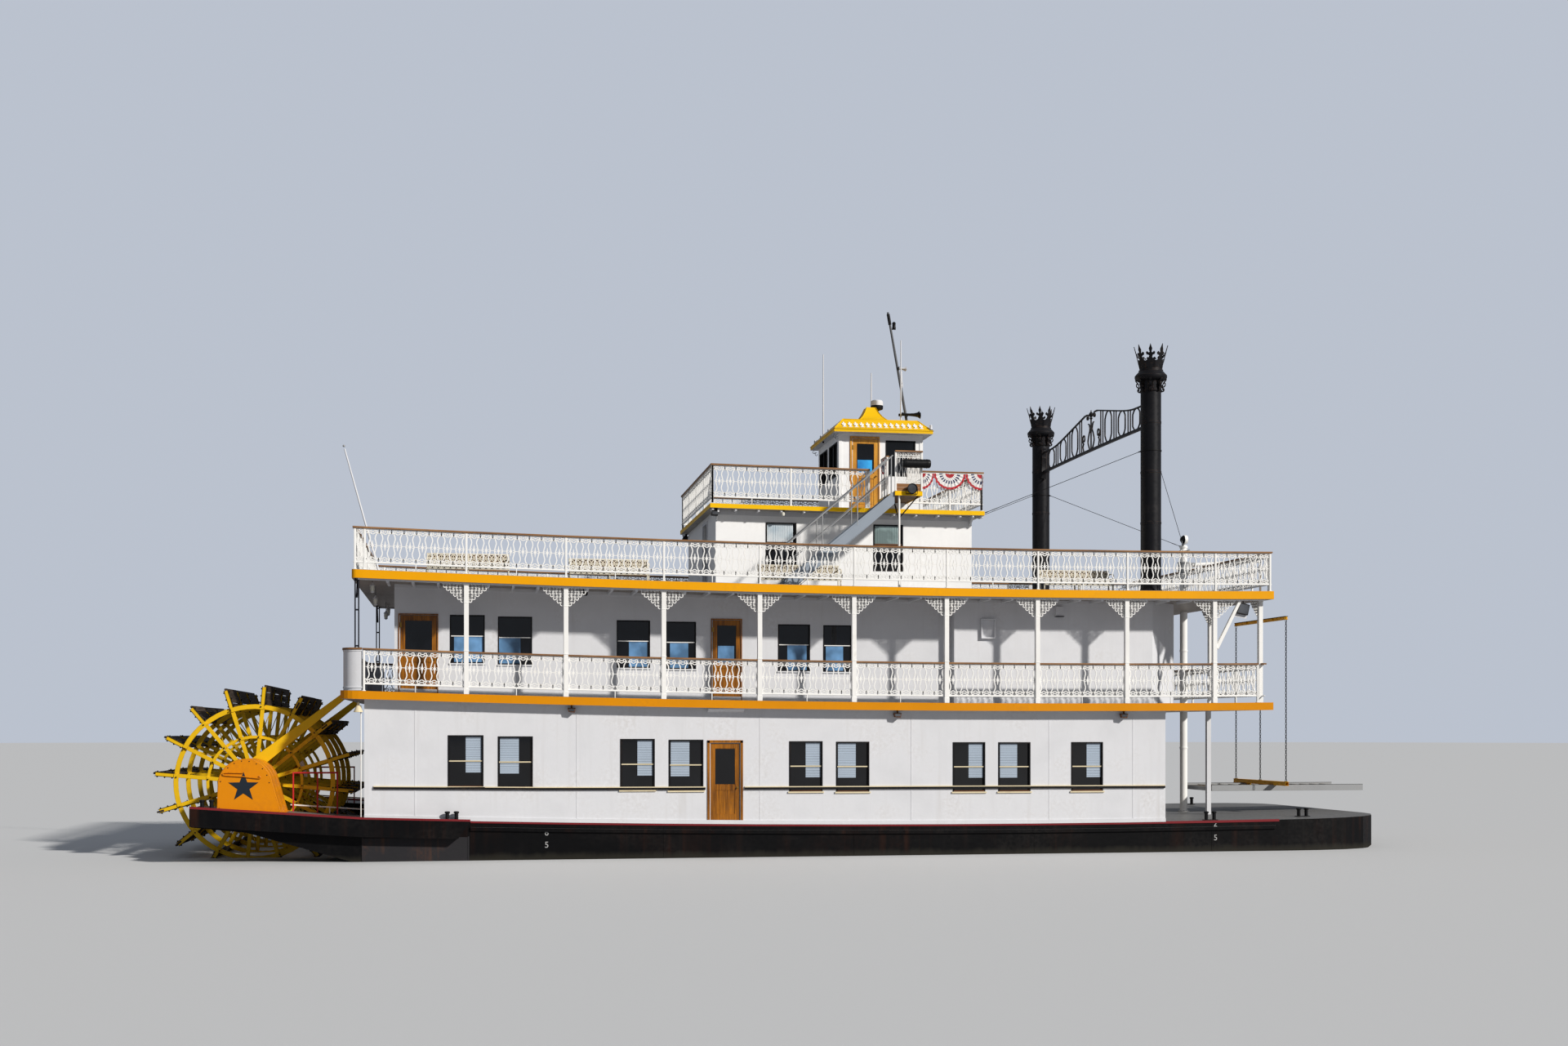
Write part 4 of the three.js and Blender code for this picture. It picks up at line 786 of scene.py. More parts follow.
def laceBracket():
    # Openwork corner bracket: column at x = 0, head at z = 0, hanging towards +x
    unit = Shape()
    long, tall, thick, bar, step = (bracket[k] for k in ("long", "tall", "thick", "bar", "step"))
    unit.flat([(0, 0, -0.010), (long, 0, -0.010)], 0.028, thick)
    unit.flat([(0.010, 0, -0.010), (0.010, 0, -tall)], 0.028, thick)
    for row, reach in enumerate(bracketRows):
        z = -0.060 - row * step * 0.90
        for i in range(max(1, round(reach / step))):
            r = bracket["ring"] * (1.06, 0.88, 0.97)[(i + 2 * row) % 3]
            x = 0.045 + i * step + 0.010 * (row % 2)
            ring = [(x + r * math.cos(a), 0, z + r * math.sin(a)) for a in span(0.3 * row,
                    0.3 * row + 2 * math.pi, 6)[:-1]]
            unit.flat(ring, bar, thick, closed=True)
    return unit


brace = {"foot": 1.48, "wide": 0.085}
headZ = deckZ["hurricane"] - deckDepth["hurricane"]
promBase = deckZ["promenade"]


def buildColonnades():
    for name, out in sideNames:
        y = out * 5.25
        rail = Rail()
        posts = [-2.46] + columnXs + [20.72]
        rail.side(-2.49, 20.735, y, promBase, posts)
        frameOf = rail.frame
        for x in columnXs:
            up = rise(x)
            frameOf.box(x - 0.058, x + 0.058, y - 0.058, y + 0.058, promBase + up, headZ + up)
            frameOf.box(x - 0.066, x + 0.066, y - 0.066, y + 0.066, promBase + up, promBase + up + 0.14)
            frameOf.box(x - 0.066, x + 0.066, y - 0.066, y + 0.066, promBase + up + railTop,
                        promBase + up + railTop + 0.03)
            frameOf.box(x - 0.072, x + 0.072, y - 0.066, y + 0.066, headZ + up - 0.05, headZ + up)
            frameOf.box(x - 0.064, x + 0.064, y - 0.063, y + 0.063, headZ + up - 0.50, headZ + up - 0.47)
        # Slanting brace in front of the foremost column, up to the deck above
        foot, head = promBase + rise(19.504) + brace["foot"], headZ + rise(20.2) - 0.02
        frameOf.prism([(19.524, foot), (19.524 + brace["wide"], foot - 0.06),
                       (20.184 + brace["wide"], head), (20.184, head)],
                      "y", y - 0.040, y + 0.040)
        frameOf.made(f"colonnade{name.capitalize()}", ["railWhite", "railWood"], "rail_paint",
                     replaces=[f"colonnade_{name}"], bevel=0.006)
        repeated(f"promenadeLace{name.capitalize()}", unitOfLace, rail.lace, "railWhite",
                 replaces=[f"colonnade_{name}"])
        hung = []
        for x in columnXs:
            for s in (-1, 1):
                slope = math.atan((rise(x + s * 0.4) - rise(x)) / 0.4)
                hung.append((x + s * 0.055, y, headZ + rise(x) - 0.002, 0, -slope if s > 0 else slope,
                             0 if s > 0 else math.pi, 1, 1, 1))
        repeated(f"brackets{name.capitalize()}", laceBracket(), hung, "railWhite",
                 replaces=[f"colonnade_{name}"])

    rail = Rail()
    x, up = 20.86, rise(20.8)
    rail.cross(-5.30, 5.30, 20.90, promBase, [-5.1, -3.45, -1.8, -0.45, 0.45, 1.8, 3.45, 5.1])
    hung = []
    for y in (-5.1, -1.8, 1.8, 5.1):
        rail.frame.box(x - 0.058, x + 0.058, y - 0.058, y + 0.058, promBase + up, headZ + up)
        rail.frame.box(x - 0.066, x + 0.066, y - 0.066, y + 0.066, promBase + up, promBase + up + 0.14)
        rail.frame.box(x - 0.066, x + 0.066, y - 0.072, y + 0.072, headZ + up - 0.05, headZ + up)
        for s in (-1, 1):
            if abs(y + s * 0.48) < 5.3:
                hung.append((x, y + s * 0.055, headZ + up - 0.002, 0, 0, s * math.pi / 2))
    rail.frame.made("frontColonnade", ["railWhite", "railWood"], "rail_paint", replaces=["front_colonnade"],
                    bevel=0.006)
    repeated("frontLace", unitOfLace, rail.lace, "railWhite", replaces=["front_colonnade"])
    repeated("frontBrackets", laceBracket(), hung, "railWhite", replaces=["front_colonnade"])


buildColonnades()
print("colonnades made")


def buildHurricaneRails():
    base = deckZ["hurricane"]
    for name, out in sideNames:
        rail = Rail()
        rail.side(-2.725, 21.095, out * 5.32, base, [-2.67, -bay] + columnXs + [21.04])
        rail.frame.made(f"hurricaneRail{name.capitalize()}", ["railWhite", "railWood"], "rail_paint",
                        replaces=[f"hurricane_rail_{name}"], bevel=0.006)
        repeated(f"hurricaneLace{name.capitalize()}", unitOfLace, rail.lace, "railWhite",
                 replaces=[f"hurricane_rail_{name}"])
    for name, x in (("Aft", -2.67), ("Front", 21.04)):
        rail = Rail()
        rail.cross(-5.265, 5.265, x, base, [-5.24] + [-4.2 + 1.2 * i for i in range(8)] + [5.24])
        rail.frame.made("hurricaneRail" + name, ["railWhite", "railWood"], "rail_paint",
                        replaces=["hurricane_rail_" + name.lower()], bevel=0.006)
        repeated("hurricaneLace" + name, unitOfLace, rail.lace, "railWhite",
                 replaces=["hurricane_rail_" + name.lower()])


def buildSunRail():
    base, y, aft, fore = deckZ["sun"], 3.33, 6.37, 13.68
    rail = Rail()
    rail.side(aft - 0.055, 10.60, -y, base, [aft, 8.46, 10.50, 10.575])
    rail.side(11.64, fore + 0.055, -y, base, [11.67, 12.80, fore])
    rail.side(aft - 0.055, fore + 0.055, y, base, [aft, 8.46, 10.55, 12.12, fore])
    for x in (aft, fore):
        rail.cross(-y, y, x, base, [-3.33, -1.65, 0, 1.65, 3.33])
    rail.frame.made("sunRail", ["railWhite", "railWood"], "rail_paint", replaces=["sun_deck_rail"],
                    bevel=0.006)
    repeated("sunLace", unitOfLace, rail.lace, "railWhite", replaces=["sun_deck_rail"])


buildHurricaneRails()
buildSunRail()
print("deck rails made")

# Finishes of the CAD nodes that stay as they are
kept = {
    "hull": "hullBlack", "rudder_starboard": "ironBlack", "rudder_port": "ironBlack",
    "promenade_deck": "fasciaAmber", "sun_deck": "fasciaSun",
    "main_cabin_side_starboard": "whitePaint", "main_cabin_side_port": "whitePaint",
    "main_cabin_aft_wall": "whitePaint",
    "main_cabin_front_wall": "whitePaint", "promenade_cabin_side_starboard": "whitePaint",
    "promenade_cabin_side_port": "whitePaint", "promenade_cabin_aft_wall": "whitePaint",
    "promenade_cabin_front_wall": "whitePaint",
    # Texas cabin and pilot house take the brighter copy of the white paint, painted light
    "texas_cabin": "texasWhite", "pilot_house": "texasWhite",
    "foredeck_column_starboard": "whitePaint", "foredeck_column_port": "whitePaint", "engine": "engineIron",
    "wheel_shaft": "wheelYellow", "wheel_brace_starboard": "wheelYellow", "wheel_brace_port": "wheelYellow",
    "stern_handrail_starboard": "railRed", "stern_handrail_port": "railRed",
}


def dressNode(node, finish):
    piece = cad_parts[node]
    piece.data.materials.clear()
    piece.data.materials.append(material[finish])


for node, finish in kept.items():
    dressNode(node, finish)
print("carried-over nodes dressed:", len(kept))


# Windows, trims and doors are laid out on a wall: u along it, w outwards from its face
class OnWall:
    def __init__(self, shape, along, face, out):
        self.shape, self.along, self.face, self.out = shape, along, face, out

    def box(self, u0, u1, w0, w1, z0, z1, mark=0):
        a, b = sorted((self.face + self.out * w0, self.face + self.out * w1))
        if self.along == "x":
            self.shape.box(u0, u1, a, b, z0, z1, mark)
        else:
            self.shape.box(a, b, u0, u1, z0, z1, mark)

    def ring(self, u0, u1, w0, w1, z0, z1, wide, mark=0, sill=None):
        # A frame of four bars; sill gives the lower one another finish
        self.box(u0, u0 + wide, w0, w1, z0, z1, mark)
        self.box(u1 - wide, u1, w0, w1, z0, z1, mark)
        self.box(u0 + wide, u1 - wide, w0, w1, z1 - wide, z1, mark)
        self.box(u0 + wide, u1 - wide, w0, w1, z0, z0 + wide, mark if sill is None else sill)


windowFinishes = ["ironBlack", "glassBlack", "glassBlue", "railWhite", "blindBlue", "sillWood",
                  "creamPaint", "doorWood", "whitePaint",
                  "glassPale", "glassMist", "pilotWood", "texasWhite"]
(black, dark, paintedSky, white, blind, sillMark, cream, oak, wallMark, pale, mist, honey,
 litWallMark) = range(len(windowFinishes))


def promenadeWindow(wall, u0, u1, z0, z1, share=(0.15, 0.80)):
    # Double hung: dark glass above, painted shade of the room behind it; a painted sky reflection in the
    # glass of the lower sash
    meet = z0 + (z1 - z0) * 0.563
    wall.ring(u0 + 0.001, u1 - 0.001, -0.060, 0.010, z0 + 0.001, z1 - 0.001, 0.028, black)
    wall.box(u0 + 0.028, u1 - 0.028, -0.052, -0.046, z0 + 0.028, z1 - 0.028, dark)
    a, b = (max(u0 + 0.030, min(u1 - 0.030, u0 + (u1 - u0) * s)) for s in share)
    # Painted sky reflection over part of the lower sash
    wall.box(a, b, -0.044, -0.038, z0 + 0.030, meet, paintedSky)
    wall.box(u0 + 0.028, u1 - 0.028, -0.040, -0.018, meet - 0.011, meet + 0.011, white)
    wall.box(u0 - 0.02, u1 + 0.02, 0.0, 0.030, z0 - 0.035, z0 - 0.002, wallMark)


def mainWindow(wall, u0, u1, z0, z1, side):
    # Two sashes with a pale meeting rail, slatted blind drawn to one side
    meet = z0 + (z1 - z0) * 0.50
    wall.ring(u0 + 0.001, u1 - 0.001, -0.060, 0.012, z0 + 0.001, z1 - 0.001, 0.030, black, sillMark)
    # Dark glass: painted shade of the room behind
    wall.box(u0 + 0.030, u1 - 0.030, -0.056, -0.050, z0 + 0.030, z1 - 0.030, dark)
    wide = u1 - u0
    a, b = (u0 + wide * 0.50, u0 + wide * 0.95) if side > 0 else (u0 + wide * 0.05, u0 + wide * 0.60)
    low = z0 + (z1 - z0) * 0.28
    count = 20
    for i in range(count):
        z = low + (z1 - 0.035 - low) * i / count
        wall.box(a, b, -0.046, -0.038, z, z + (z1 - 0.035 - low) / count * 0.86, blind)
    wall.box(u0 + 0.030, u1 - 0.030, -0.036, -0.012, meet - 0.012, meet + 0.016, cream)
    wall.box(u0 + 0.030, u0 + 0.052, -0.040, -0.016, z0 + 0.030, z1 - 0.030, black)
    wall.box(u1 - 0.052, u1 - 0.030, -0.040, -0.016, z0 + 0.030, z1 - 0.030, black)
    wall.box(u0 - 0.03, u1 + 0.03, 0.0, 0.035, z0 - 0.040, z0 - 0.002, cream)


def curtainedWindow(wall, u0, u1, z0, z1, cloth, share, across=0.84):
    # Dark frame, glass, and a curtain of soft folds over its upper share
    wall.ring(u0 + 0.001, u1 - 0.001, -0.060, 0.014, z0 + 0.001, z1 - 0.001, 0.034, black)
    # Dark glass: painted shade of the room behind
    wall.box(u0 + 0.034, u1 - 0.034, -0.058, -0.052, z0 + 0.034, z1 - 0.034, dark)
    low = z1 - (z1 - z0) * share
    folds = 15
    a, b = u0 + 0.036, u0 + (u1 - u0) * across
    for i in range(folds):
        left, right = a + (b - a) * i / folds, a + (b - a) * (i + 0.72) / folds
        wall.box(left, right, -0.050, -0.034, low, z1 - 0.034, cloth)
    wall.box(a, b, -0.051, -0.046, low, z1 - 0.034, cloth)
    wall.box(u0 + 0.034, u1 - 0.034, -0.040, -0.006, low - 0.026, low + 0.012, sillMark)


foreHalf = 4.35
mainWindows = [(-0.45, 0.42), (0.77, 1.63), (3.80, 4.67), (5.02, 5.90), (8.10, 8.97), (9.32, 10.19),
               (12.40, 13.27), (13.62, 14.49), (15.60, 16.47)]
# Ends of each window and of the painted sky reflection in its lower sash, as shares of its width
promWindows = [(-0.41, 0.46, 0.12, 0.95), (0.79, 1.65, 0.02, 0.66), (3.80, 4.66, 0.37, 0.92),
               (5.06, 5.85, 0.15, 0.75),
               (8.00, 8.85, 0.30, 0.90), (9.20, 9.97, 0.10, 0.70)]


def buildCabins():
    for name, out in sideNames:
        trim = Shape()
        wall = OnWall(trim, "x", out * 5.10, out)
        for i, (u0, u1) in enumerate(mainWindows):
            up = rise((u0 + u1) / 2)
            mainWindow(wall, u0, u1, 2.85 + up, 4.13 + up, 1 if i % 2 == 0 else -1)
        for u0, u1 in ((-2.24, 5.95), (6.95, 18.18)):
            level = lambda u: 3.045 - 0.011 * (u + 2.3) if u < 2.2 else 2.995 - 0.002 * (u - 2.2)
            for a, b in zip(span(u0, u1, 6), span(u0, u1, 6)[1:]):
                for w0, w1, z0, z1, mark in ((0, 0.035, 0.010, 0.034, cream),
                    (0, 0.045, -0.045, 0.010, black)):
                    y0, y1 = sorted((out * (5.10 + w0), out * (5.10 + w1)))
                    points = [(u, y, level(u) + z) for u in (a, b) for y,
                              z in ((y0, z0), (y1, z0), (y1, z1), (y0, z1))]
                    trim.put(points,
                             [(0, 1, 2, 3), (4, 7, 6, 5)]
                             + [(k, 4 + k, 4 + (k + 1) % 4, (k + 1) % 4) for k in range(4)], mark)
        trim.run(-2.46, 18.20, *sorted((out * 5.10, out * 5.125)), deckZ["main"], deckZ["main"] + 0.10,
                 wallMark)
        trim.run(-2.46, 18.20, *sorted((out * 5.10, out * 5.130)), 4.86, 4.94, wallMark)
        for x in (-1.24, 2.72, 7.35, 11.3, 15.0, 17.3):
            trim.lifted(x - 0.012, x + 0.012, *sorted((out * 5.10, out * 5.106)), 2.12, 4.85, wallMark)
        up = rise(6.45)
        for u0, u1, z0, z1 in ((6.00, 6.062, 2.02, 4.12), (6.848, 6.91, 2.02, 4.12),
                               (6.00, 6.91, 4.065, 4.13)):
            wall.box(u0, u1, 0.0, 0.022, z0 + up, z1 + up, oak)
        trim.made(f"mainTrim{name.capitalize()}", windowFinishes, replaces=(), bevel=0)

        trim = Shape()
        wall = OnWall(trim, "x", out * 4.00, out)
        for u0, u1, *share in promWindows:
            up = rise((u0 + u1) / 2)
            promenadeWindow(wall, u0, u1, 5.95 + up, 7.17 + up, share)
        for x0, x1, head in ((-1.64, -0.73, 7.12), (6.28, 7.02, 7.24)):
            up = rise((x0 + x1) / 2)
            wall.box(x0 - 0.043, x0 - 0.018, 0.0, 0.024, promBase + up + 0.001, head + up + 0.034, oak)
            wall.box(x1 + 0.004, x1 + 0.030, 0.0, 0.024, promBase + up + 0.001, head + up + 0.034, oak)
            wall.box(x0 - 0.043, x1 + 0.030, 0.0, 0.028, head + up + 0.004, head + up + 0.036, oak)
            wall.box(x0 - 0.02, x1 + 0.02, 0.0, 0.07, promBase + up + 0.002, promBase + up + 0.026,
                     sillMark)
        for x0, x1, face in ((-1.78, 12.66, 4.0), (12.66, 18.13, foreHalf)):
            trim.run(x0, x1, *sorted((out * face, out * (face + 0.022))), promBase, promBase + 0.12,
                     wallMark)
            trim.run(x0, x1, *sorted((out * face, out * (face + 0.028))), headZ - 0.09, headZ, wallMark)
        trim.run(12.640, 12.70, *sorted((out * (foreHalf - 0.04), out * (foreHalf + 0.012))), promBase,
                 headZ, wallMark)
        # Beams under the overhang of the deck above
        for x in steps(-1.9, 20.4, bay / 4):
            if min(abs(x - c) for c in columnXs) > 0.09:
                inner = 4.03 if x < 12.6 else foreHalf + 0.03
                trim.lifted(x - 0.03, x + 0.03, *sorted((out * inner, out * 5.30)), headZ - 0.070, headZ,
                            wallMark)
        trim.run(-2.6, 20.9, *sorted((out * 5.30, out * 5.35)), headZ - 0.035, headZ, wallMark)
        # Vent frame, junction box and small fixtures
        wall = OnWall(trim, "x", out * foreHalf, out)
        u0, u1, z0, z1 = 13.36, 13.75, 6.86, 7.38
        wall.ring(u0, u1, 0.0, 0.09, z0, z1, 0.03, wallMark)
        wall.box(u0 + 0.03, u1 - 0.03, 0.0, 0.02, z0 + 0.03, z1 - 0.03, wallMark)
        wall.box(15.40, 15.62, 0.0, 0.10, 7.47, 7.72, wallMark)
        wall.box(15.40, 15.62, 0.0, 0.13, 7.45, 7.47, black)
        trim.made(f"promenadeTrim{name.capitalize()}", windowFinishes)

        trim = Shape()
        wall = OnWall(trim, "x", out * 3.00, out)
        curtainedWindow(wall, 7.84, 8.67, 8.72, 9.97, pale, 0.42, 0.90)
        curtainedWindow(wall, 10.77, 11.59, 8.72, 9.97, mist, 0.42)
        sun = deckZ["sun"] - deckDepth["sun"]
        for x in steps(6.38, 13.7, 0.61):
            trim.lifted(x - 0.025, x + 0.025, *sorted((out * 3.0, out * 3.36)), sun - 0.055, sun, wallMark)
        trim.run(6.5, 13.5, *sorted((out * 3.0, out * 3.02)), sun - 0.13, sun, wallMark)
        trim.run(6.5, 13.5, *sorted((out * 3.0, out * 3.02)), deckZ["hurricane"], deckZ["hurricane"] + 0.11,
                 wallMark)
        for x in (6.52, 13.44):
            trim.prism([(out * 3.0, sun), (out * 3.38, sun), (out * 3.38, sun - 0.05),
                        (out * 3.04, sun - 0.24), (out * 3.0, sun - 0.24)],
                       "x", x - 0.02, x + 0.02, wallMark)
        trim.made(f"texasTrim{name.capitalize()}", windowFinishes)


def buildEndWalls():
    trim = Shape()
    for u0, u1 in ((-4.2, -3.3), (-2.6, -1.7), (1.7, 2.6), (3.3, 4.2)):
        mainWindow(OnWall(trim, "y", 18.20, 1), u0, u1, 2.85 + rise(18.2), 4.13 + rise(18.2),
                   1 if u0 < 0 else -1)
    front = OnWall(trim, "y", 19.14, 1)
    for u0, u1 in ((-2.7, -1.8), (-1.5, -0.6), (0.6, 1.5), (1.8, 2.7)):
        up = rise(19.14)
        promenadeWindow(front, u0, u1, 5.95 + up, 7.17 + up)
    aft = OnWall(trim, "y", -1.78, -1)
    for u0, u1 in ((-2.4, -1.2), (1.2, 2.4)):
        promenadeWindow(aft, u0, u1, 5.95 + rise(-1.8), 7.17 + rise(-1.8))
    # Door casings in the open ends
    for wall, u0, u1, z0, z1 in ((OnWall(trim, "y", 18.20, 1), -0.6, 0.6, 2.05, 4.05),
                                 (OnWall(trim, "y", 19.14, 1), -0.43, 0.43, 5.17, 7.17)):
        up = rise(wall.face)
        wall.box(u0 - 0.08, u0 - 0.002, -0.0, 0.03, z0 + up - 0.03, z1 + up + 0.08, oak)
        wall.box(u1 + 0.002, u1 + 0.08, -0.0, 0.03, z0 + up - 0.03, z1 + up + 0.08, oak)
        wall.box(u0 - 0.08, u1 + 0.08, -0.0, 0.034, z1 + up + 0.002, z1 + up + 0.09, oak)
    wall = OnWall(trim, "y", -2.46, -1)
    wall.ring(-4.48, -3.42, 0.0, 0.03, 2.10 + rise(-2.4), 4.08 + rise(-2.4), 0.075, white)
    wall = OnWall(trim, "y", 6.5, -1)
    wall.ring(-1.43, -0.42, 0.0, 0.03, 8.16, 10.16, 0.075, wallMark)
    # Pilot house: windows round it, trim at its corners and under the eaves
    # Their dark glass, here and below, is painted shade of the room behind
    for out in (-1, 1):
        side = OnWall(trim, "x", out * 1.45, out)
        side.ring(11.471, 12.319, -0.055, 0.014, 11.501, 12.489, 0.030, black)
        side.box(11.50, 12.29, -0.05, -0.044, 11.53, 12.46, dark)
        side.box(10.455, 10.512, 0.0, 0.024, 10.36, 12.575, honey)
        side.box(11.264, 11.292, 0.0, 0.024, 10.36, 12.575, honey)
        side.box(10.455, 11.292, 0.0, 0.028, 12.525, 12.580, honey)
        side.box(10.14, 12.53, 0.0, 0.02, 12.60, 12.65, litWallMark)
        for x in (10.14, 12.44):
            side.box(x, x + 0.09, 0.0, 0.018, 10.36, 12.60, litWallMark)
    for u0, u1 in ((-1.25, -0.13), (0.13, 1.25)):
        back = OnWall(trim, "y", 10.14, -1)
        back.ring(u0 + 0.001, u1 - 0.001, -0.055, 0.014, 11.501, 12.449, 0.030, black)
        back.box(u0 + 0.03, u1 - 0.03, -0.05, -0.044, 11.53, 12.42, dark)
        back.box((u0 + u1) / 2 - 0.015, (u0 + u1) / 2 + 0.015, -0.044, 0.0, 11.53, 12.42, black)
    for u0, u1 in ((-1.25, -0.46), (-0.39, 0.39), (0.46, 1.25)):
        front = OnWall(trim, "y", 12.53, 1)
        front.ring(u0 + 0.001, u1 - 0.001, -0.055, 0.014, 11.351, 12.449, 0.030, black)
        front.box(u0 + 0.03, u1 - 0.03, -0.05, -0.044, 11.38, 12.42, dark)
    trim.made("endTrim", windowFinishes)


buildCabins()
buildEndWalls()
print("windows and trim made")

doorLook = {"edge": 0.008, "deep": 0.045, "stile": 0.115, "lock": 0.92, "kick": 0.24}


def doorLeaf(node, x0, x1, face, toward, inset, z0, z1, wood, split, pane="glassBlue"):
    # Framed leaf: glass above the lock rail, raised panel and small louvre below
    leaf = Shape()
    u0, u1 = x0 + doorLook["edge"], x1 - doorLook["edge"]
    wall = OnWall(leaf, "x", face + toward * inset, toward)
    deep, stile = doorLook["deep"], doorLook["stile"]
    lock = z0 + (z1 - z0) * split
    wall.box(u0, u0 + stile, -deep, 0, z0, z1)
    wall.box(u1 - stile, u1, -deep, 0, z0, z1)
    for a, b in ((z0, z0 + doorLook["kick"]), (lock - 0.07, lock + 0.07), (z1 - 0.12, z1)):
        wall.box(u0 + stile, u1 - stile, -deep, 0, a, b)
    # Dark glass, painted shade of the room behind; over its lower part a pane that is a painted sky
    # reflection where it is blue
    wall.box(u0 + stile, u1 - stile, -0.028, -0.018, lock + 0.07, z1 - 0.12, 1)
    wall.box(u0 + stile + 0.02, u1 - stile - 0.05, -0.017, -0.015, lock + 0.07,
             lock + 0.07 + (z1 - lock - 0.19) * 0.45, 3)
    for c, d in ((lock + 0.07, lock + 0.082), (z1 - 0.132, z1 - 0.12)):
        wall.box(u0 + stile, u1 - stile, -0.034, -0.010, c, d)
    wall.box(u0 + stile, u1 - stile, -0.034, -0.014, z0 + doorLook["kick"], lock - 0.07)
    middle = (u0 + u1) / 2
    for a, b in ((u0 + stile + 0.03, middle - 0.02), (middle + 0.02, u1 - stile - 0.03)):
        wall.box(a, b, -0.014, -0.004, z0 + doorLook["kick"] + 0.04, lock - 0.11)
    for k in range(5):
        wall.box(u0 + stile + 0.02, u1 - stile - 0.02, -0.006, 0.002 if inset < 0 else 0.0,
                 z0 + 0.06 + k * 0.03, z0 + 0.075 + k * 0.03)
    knob = u1 - 0.055
    for w, s in ((0.0, 1), (-deep, -1)):
        y = face + toward * (inset + w)
        leaf.lathe([(0.026, 0), (0.026, s * toward * 0.006), (0.010, s * toward * 0.010),
                    (0.010, s * toward * 0.034), (0.024, s * toward * 0.044),
                    (0.020, s * toward * 0.060), (0.0, s * toward * 0.064)], (knob, y, lock + 0.0), "y", 14,
                    2)
    for z in (z0 + 0.18, z1 - 0.30):
        pin = face + toward * 0.0093
        leaf.lathe([(0, 0), (0.009, 0), (0.009, 0.12), (0, 0.12)], (x0 - 0.003, pin, z), "z", 10, 2)
        wall.box(x0 + 0.001, x0 + 0.034, -0.004, 0.002 if inset < 0 else 0.0, z, z + 0.12, 2)
    leaf.made(node.replace("_", " ").title().replace(" ", ""), [wood, "glassBlack", "brass", pane],
              "door_wood", node, [node], bevel=0.004)


for name, out in sideNames:
    for label, x0, x1, head, pane in (("aft", -1.64, -0.73, 7.120, "glassBlack"),
        ("forward", 6.28, 7.02, 7.240, "glassBlue")):
        up = rise((x0 + x1) / 2)
        doorLeaf(f"promenade_door_{label}_{name}", x0, x1, out * 4.0, out, -0.002, 5.178 + up,
                 head - 0.008 + up,
                 "doorWood", 0.43, pane)
    up = rise((6.08 + 6.83) / 2)
    doorLeaf(f"main_door_{name}", 6.08, 6.83, out * 5.03, -out, -0.002, 2.022 + up, 4.042 + up, "doorWood",
             0.45)
    up = rise(10.14)
    doorLeaf(f"pilot_door_{name}", 10.53, 11.26, out * 1.45, out, -0.002, 10.340 + up + 0.068, 12.512,
             "pilotWood", 0.51, "glassSky")
print("doors made")


# Paddle wheel: four spoked frames, sixteen floats of three planks each
wheel = {
    "x": -5.26, "z": 3.12, "arms": 16, "first": 84.5, "frames": (-3.1, -1.033, 1.033, 3.1), "rim": 1.98,
    "rimDeep": 0.12, "ring": 1.19,
    "ringDeep": 0.075, "hub": 0.42, "armWide": 0.098, "armThick": 0.058, "floatIn": 1.935,
    "floatOut": 2.485, "plank": 0.178,
    "plankThick": 0.048, "half": 3.145, "seed": 11,
}


def wheelPoint(radius, angle, y, aside=0.0):
    c, s = math.cos(angle), math.sin(angle)
    return (wheel["x"] + radius * c - aside * s, y, wheel["z"] + radius * s + aside * c)


def wheelBar(shape, r0, r1, angle, aside0, aside1, y0, y1, mark=0):
    points = [wheelPoint(r, angle, y, a) for r in (r0, r1) for y in (y0, y1) for a in (aside0, aside1)]
    shape.put(points, [(0, 1, 3, 2), (4, 6, 7, 5), (0, 4, 5, 1), (2, 3, 7, 6), (0, 2, 6, 4), (1, 5, 7, 3)],
              mark)


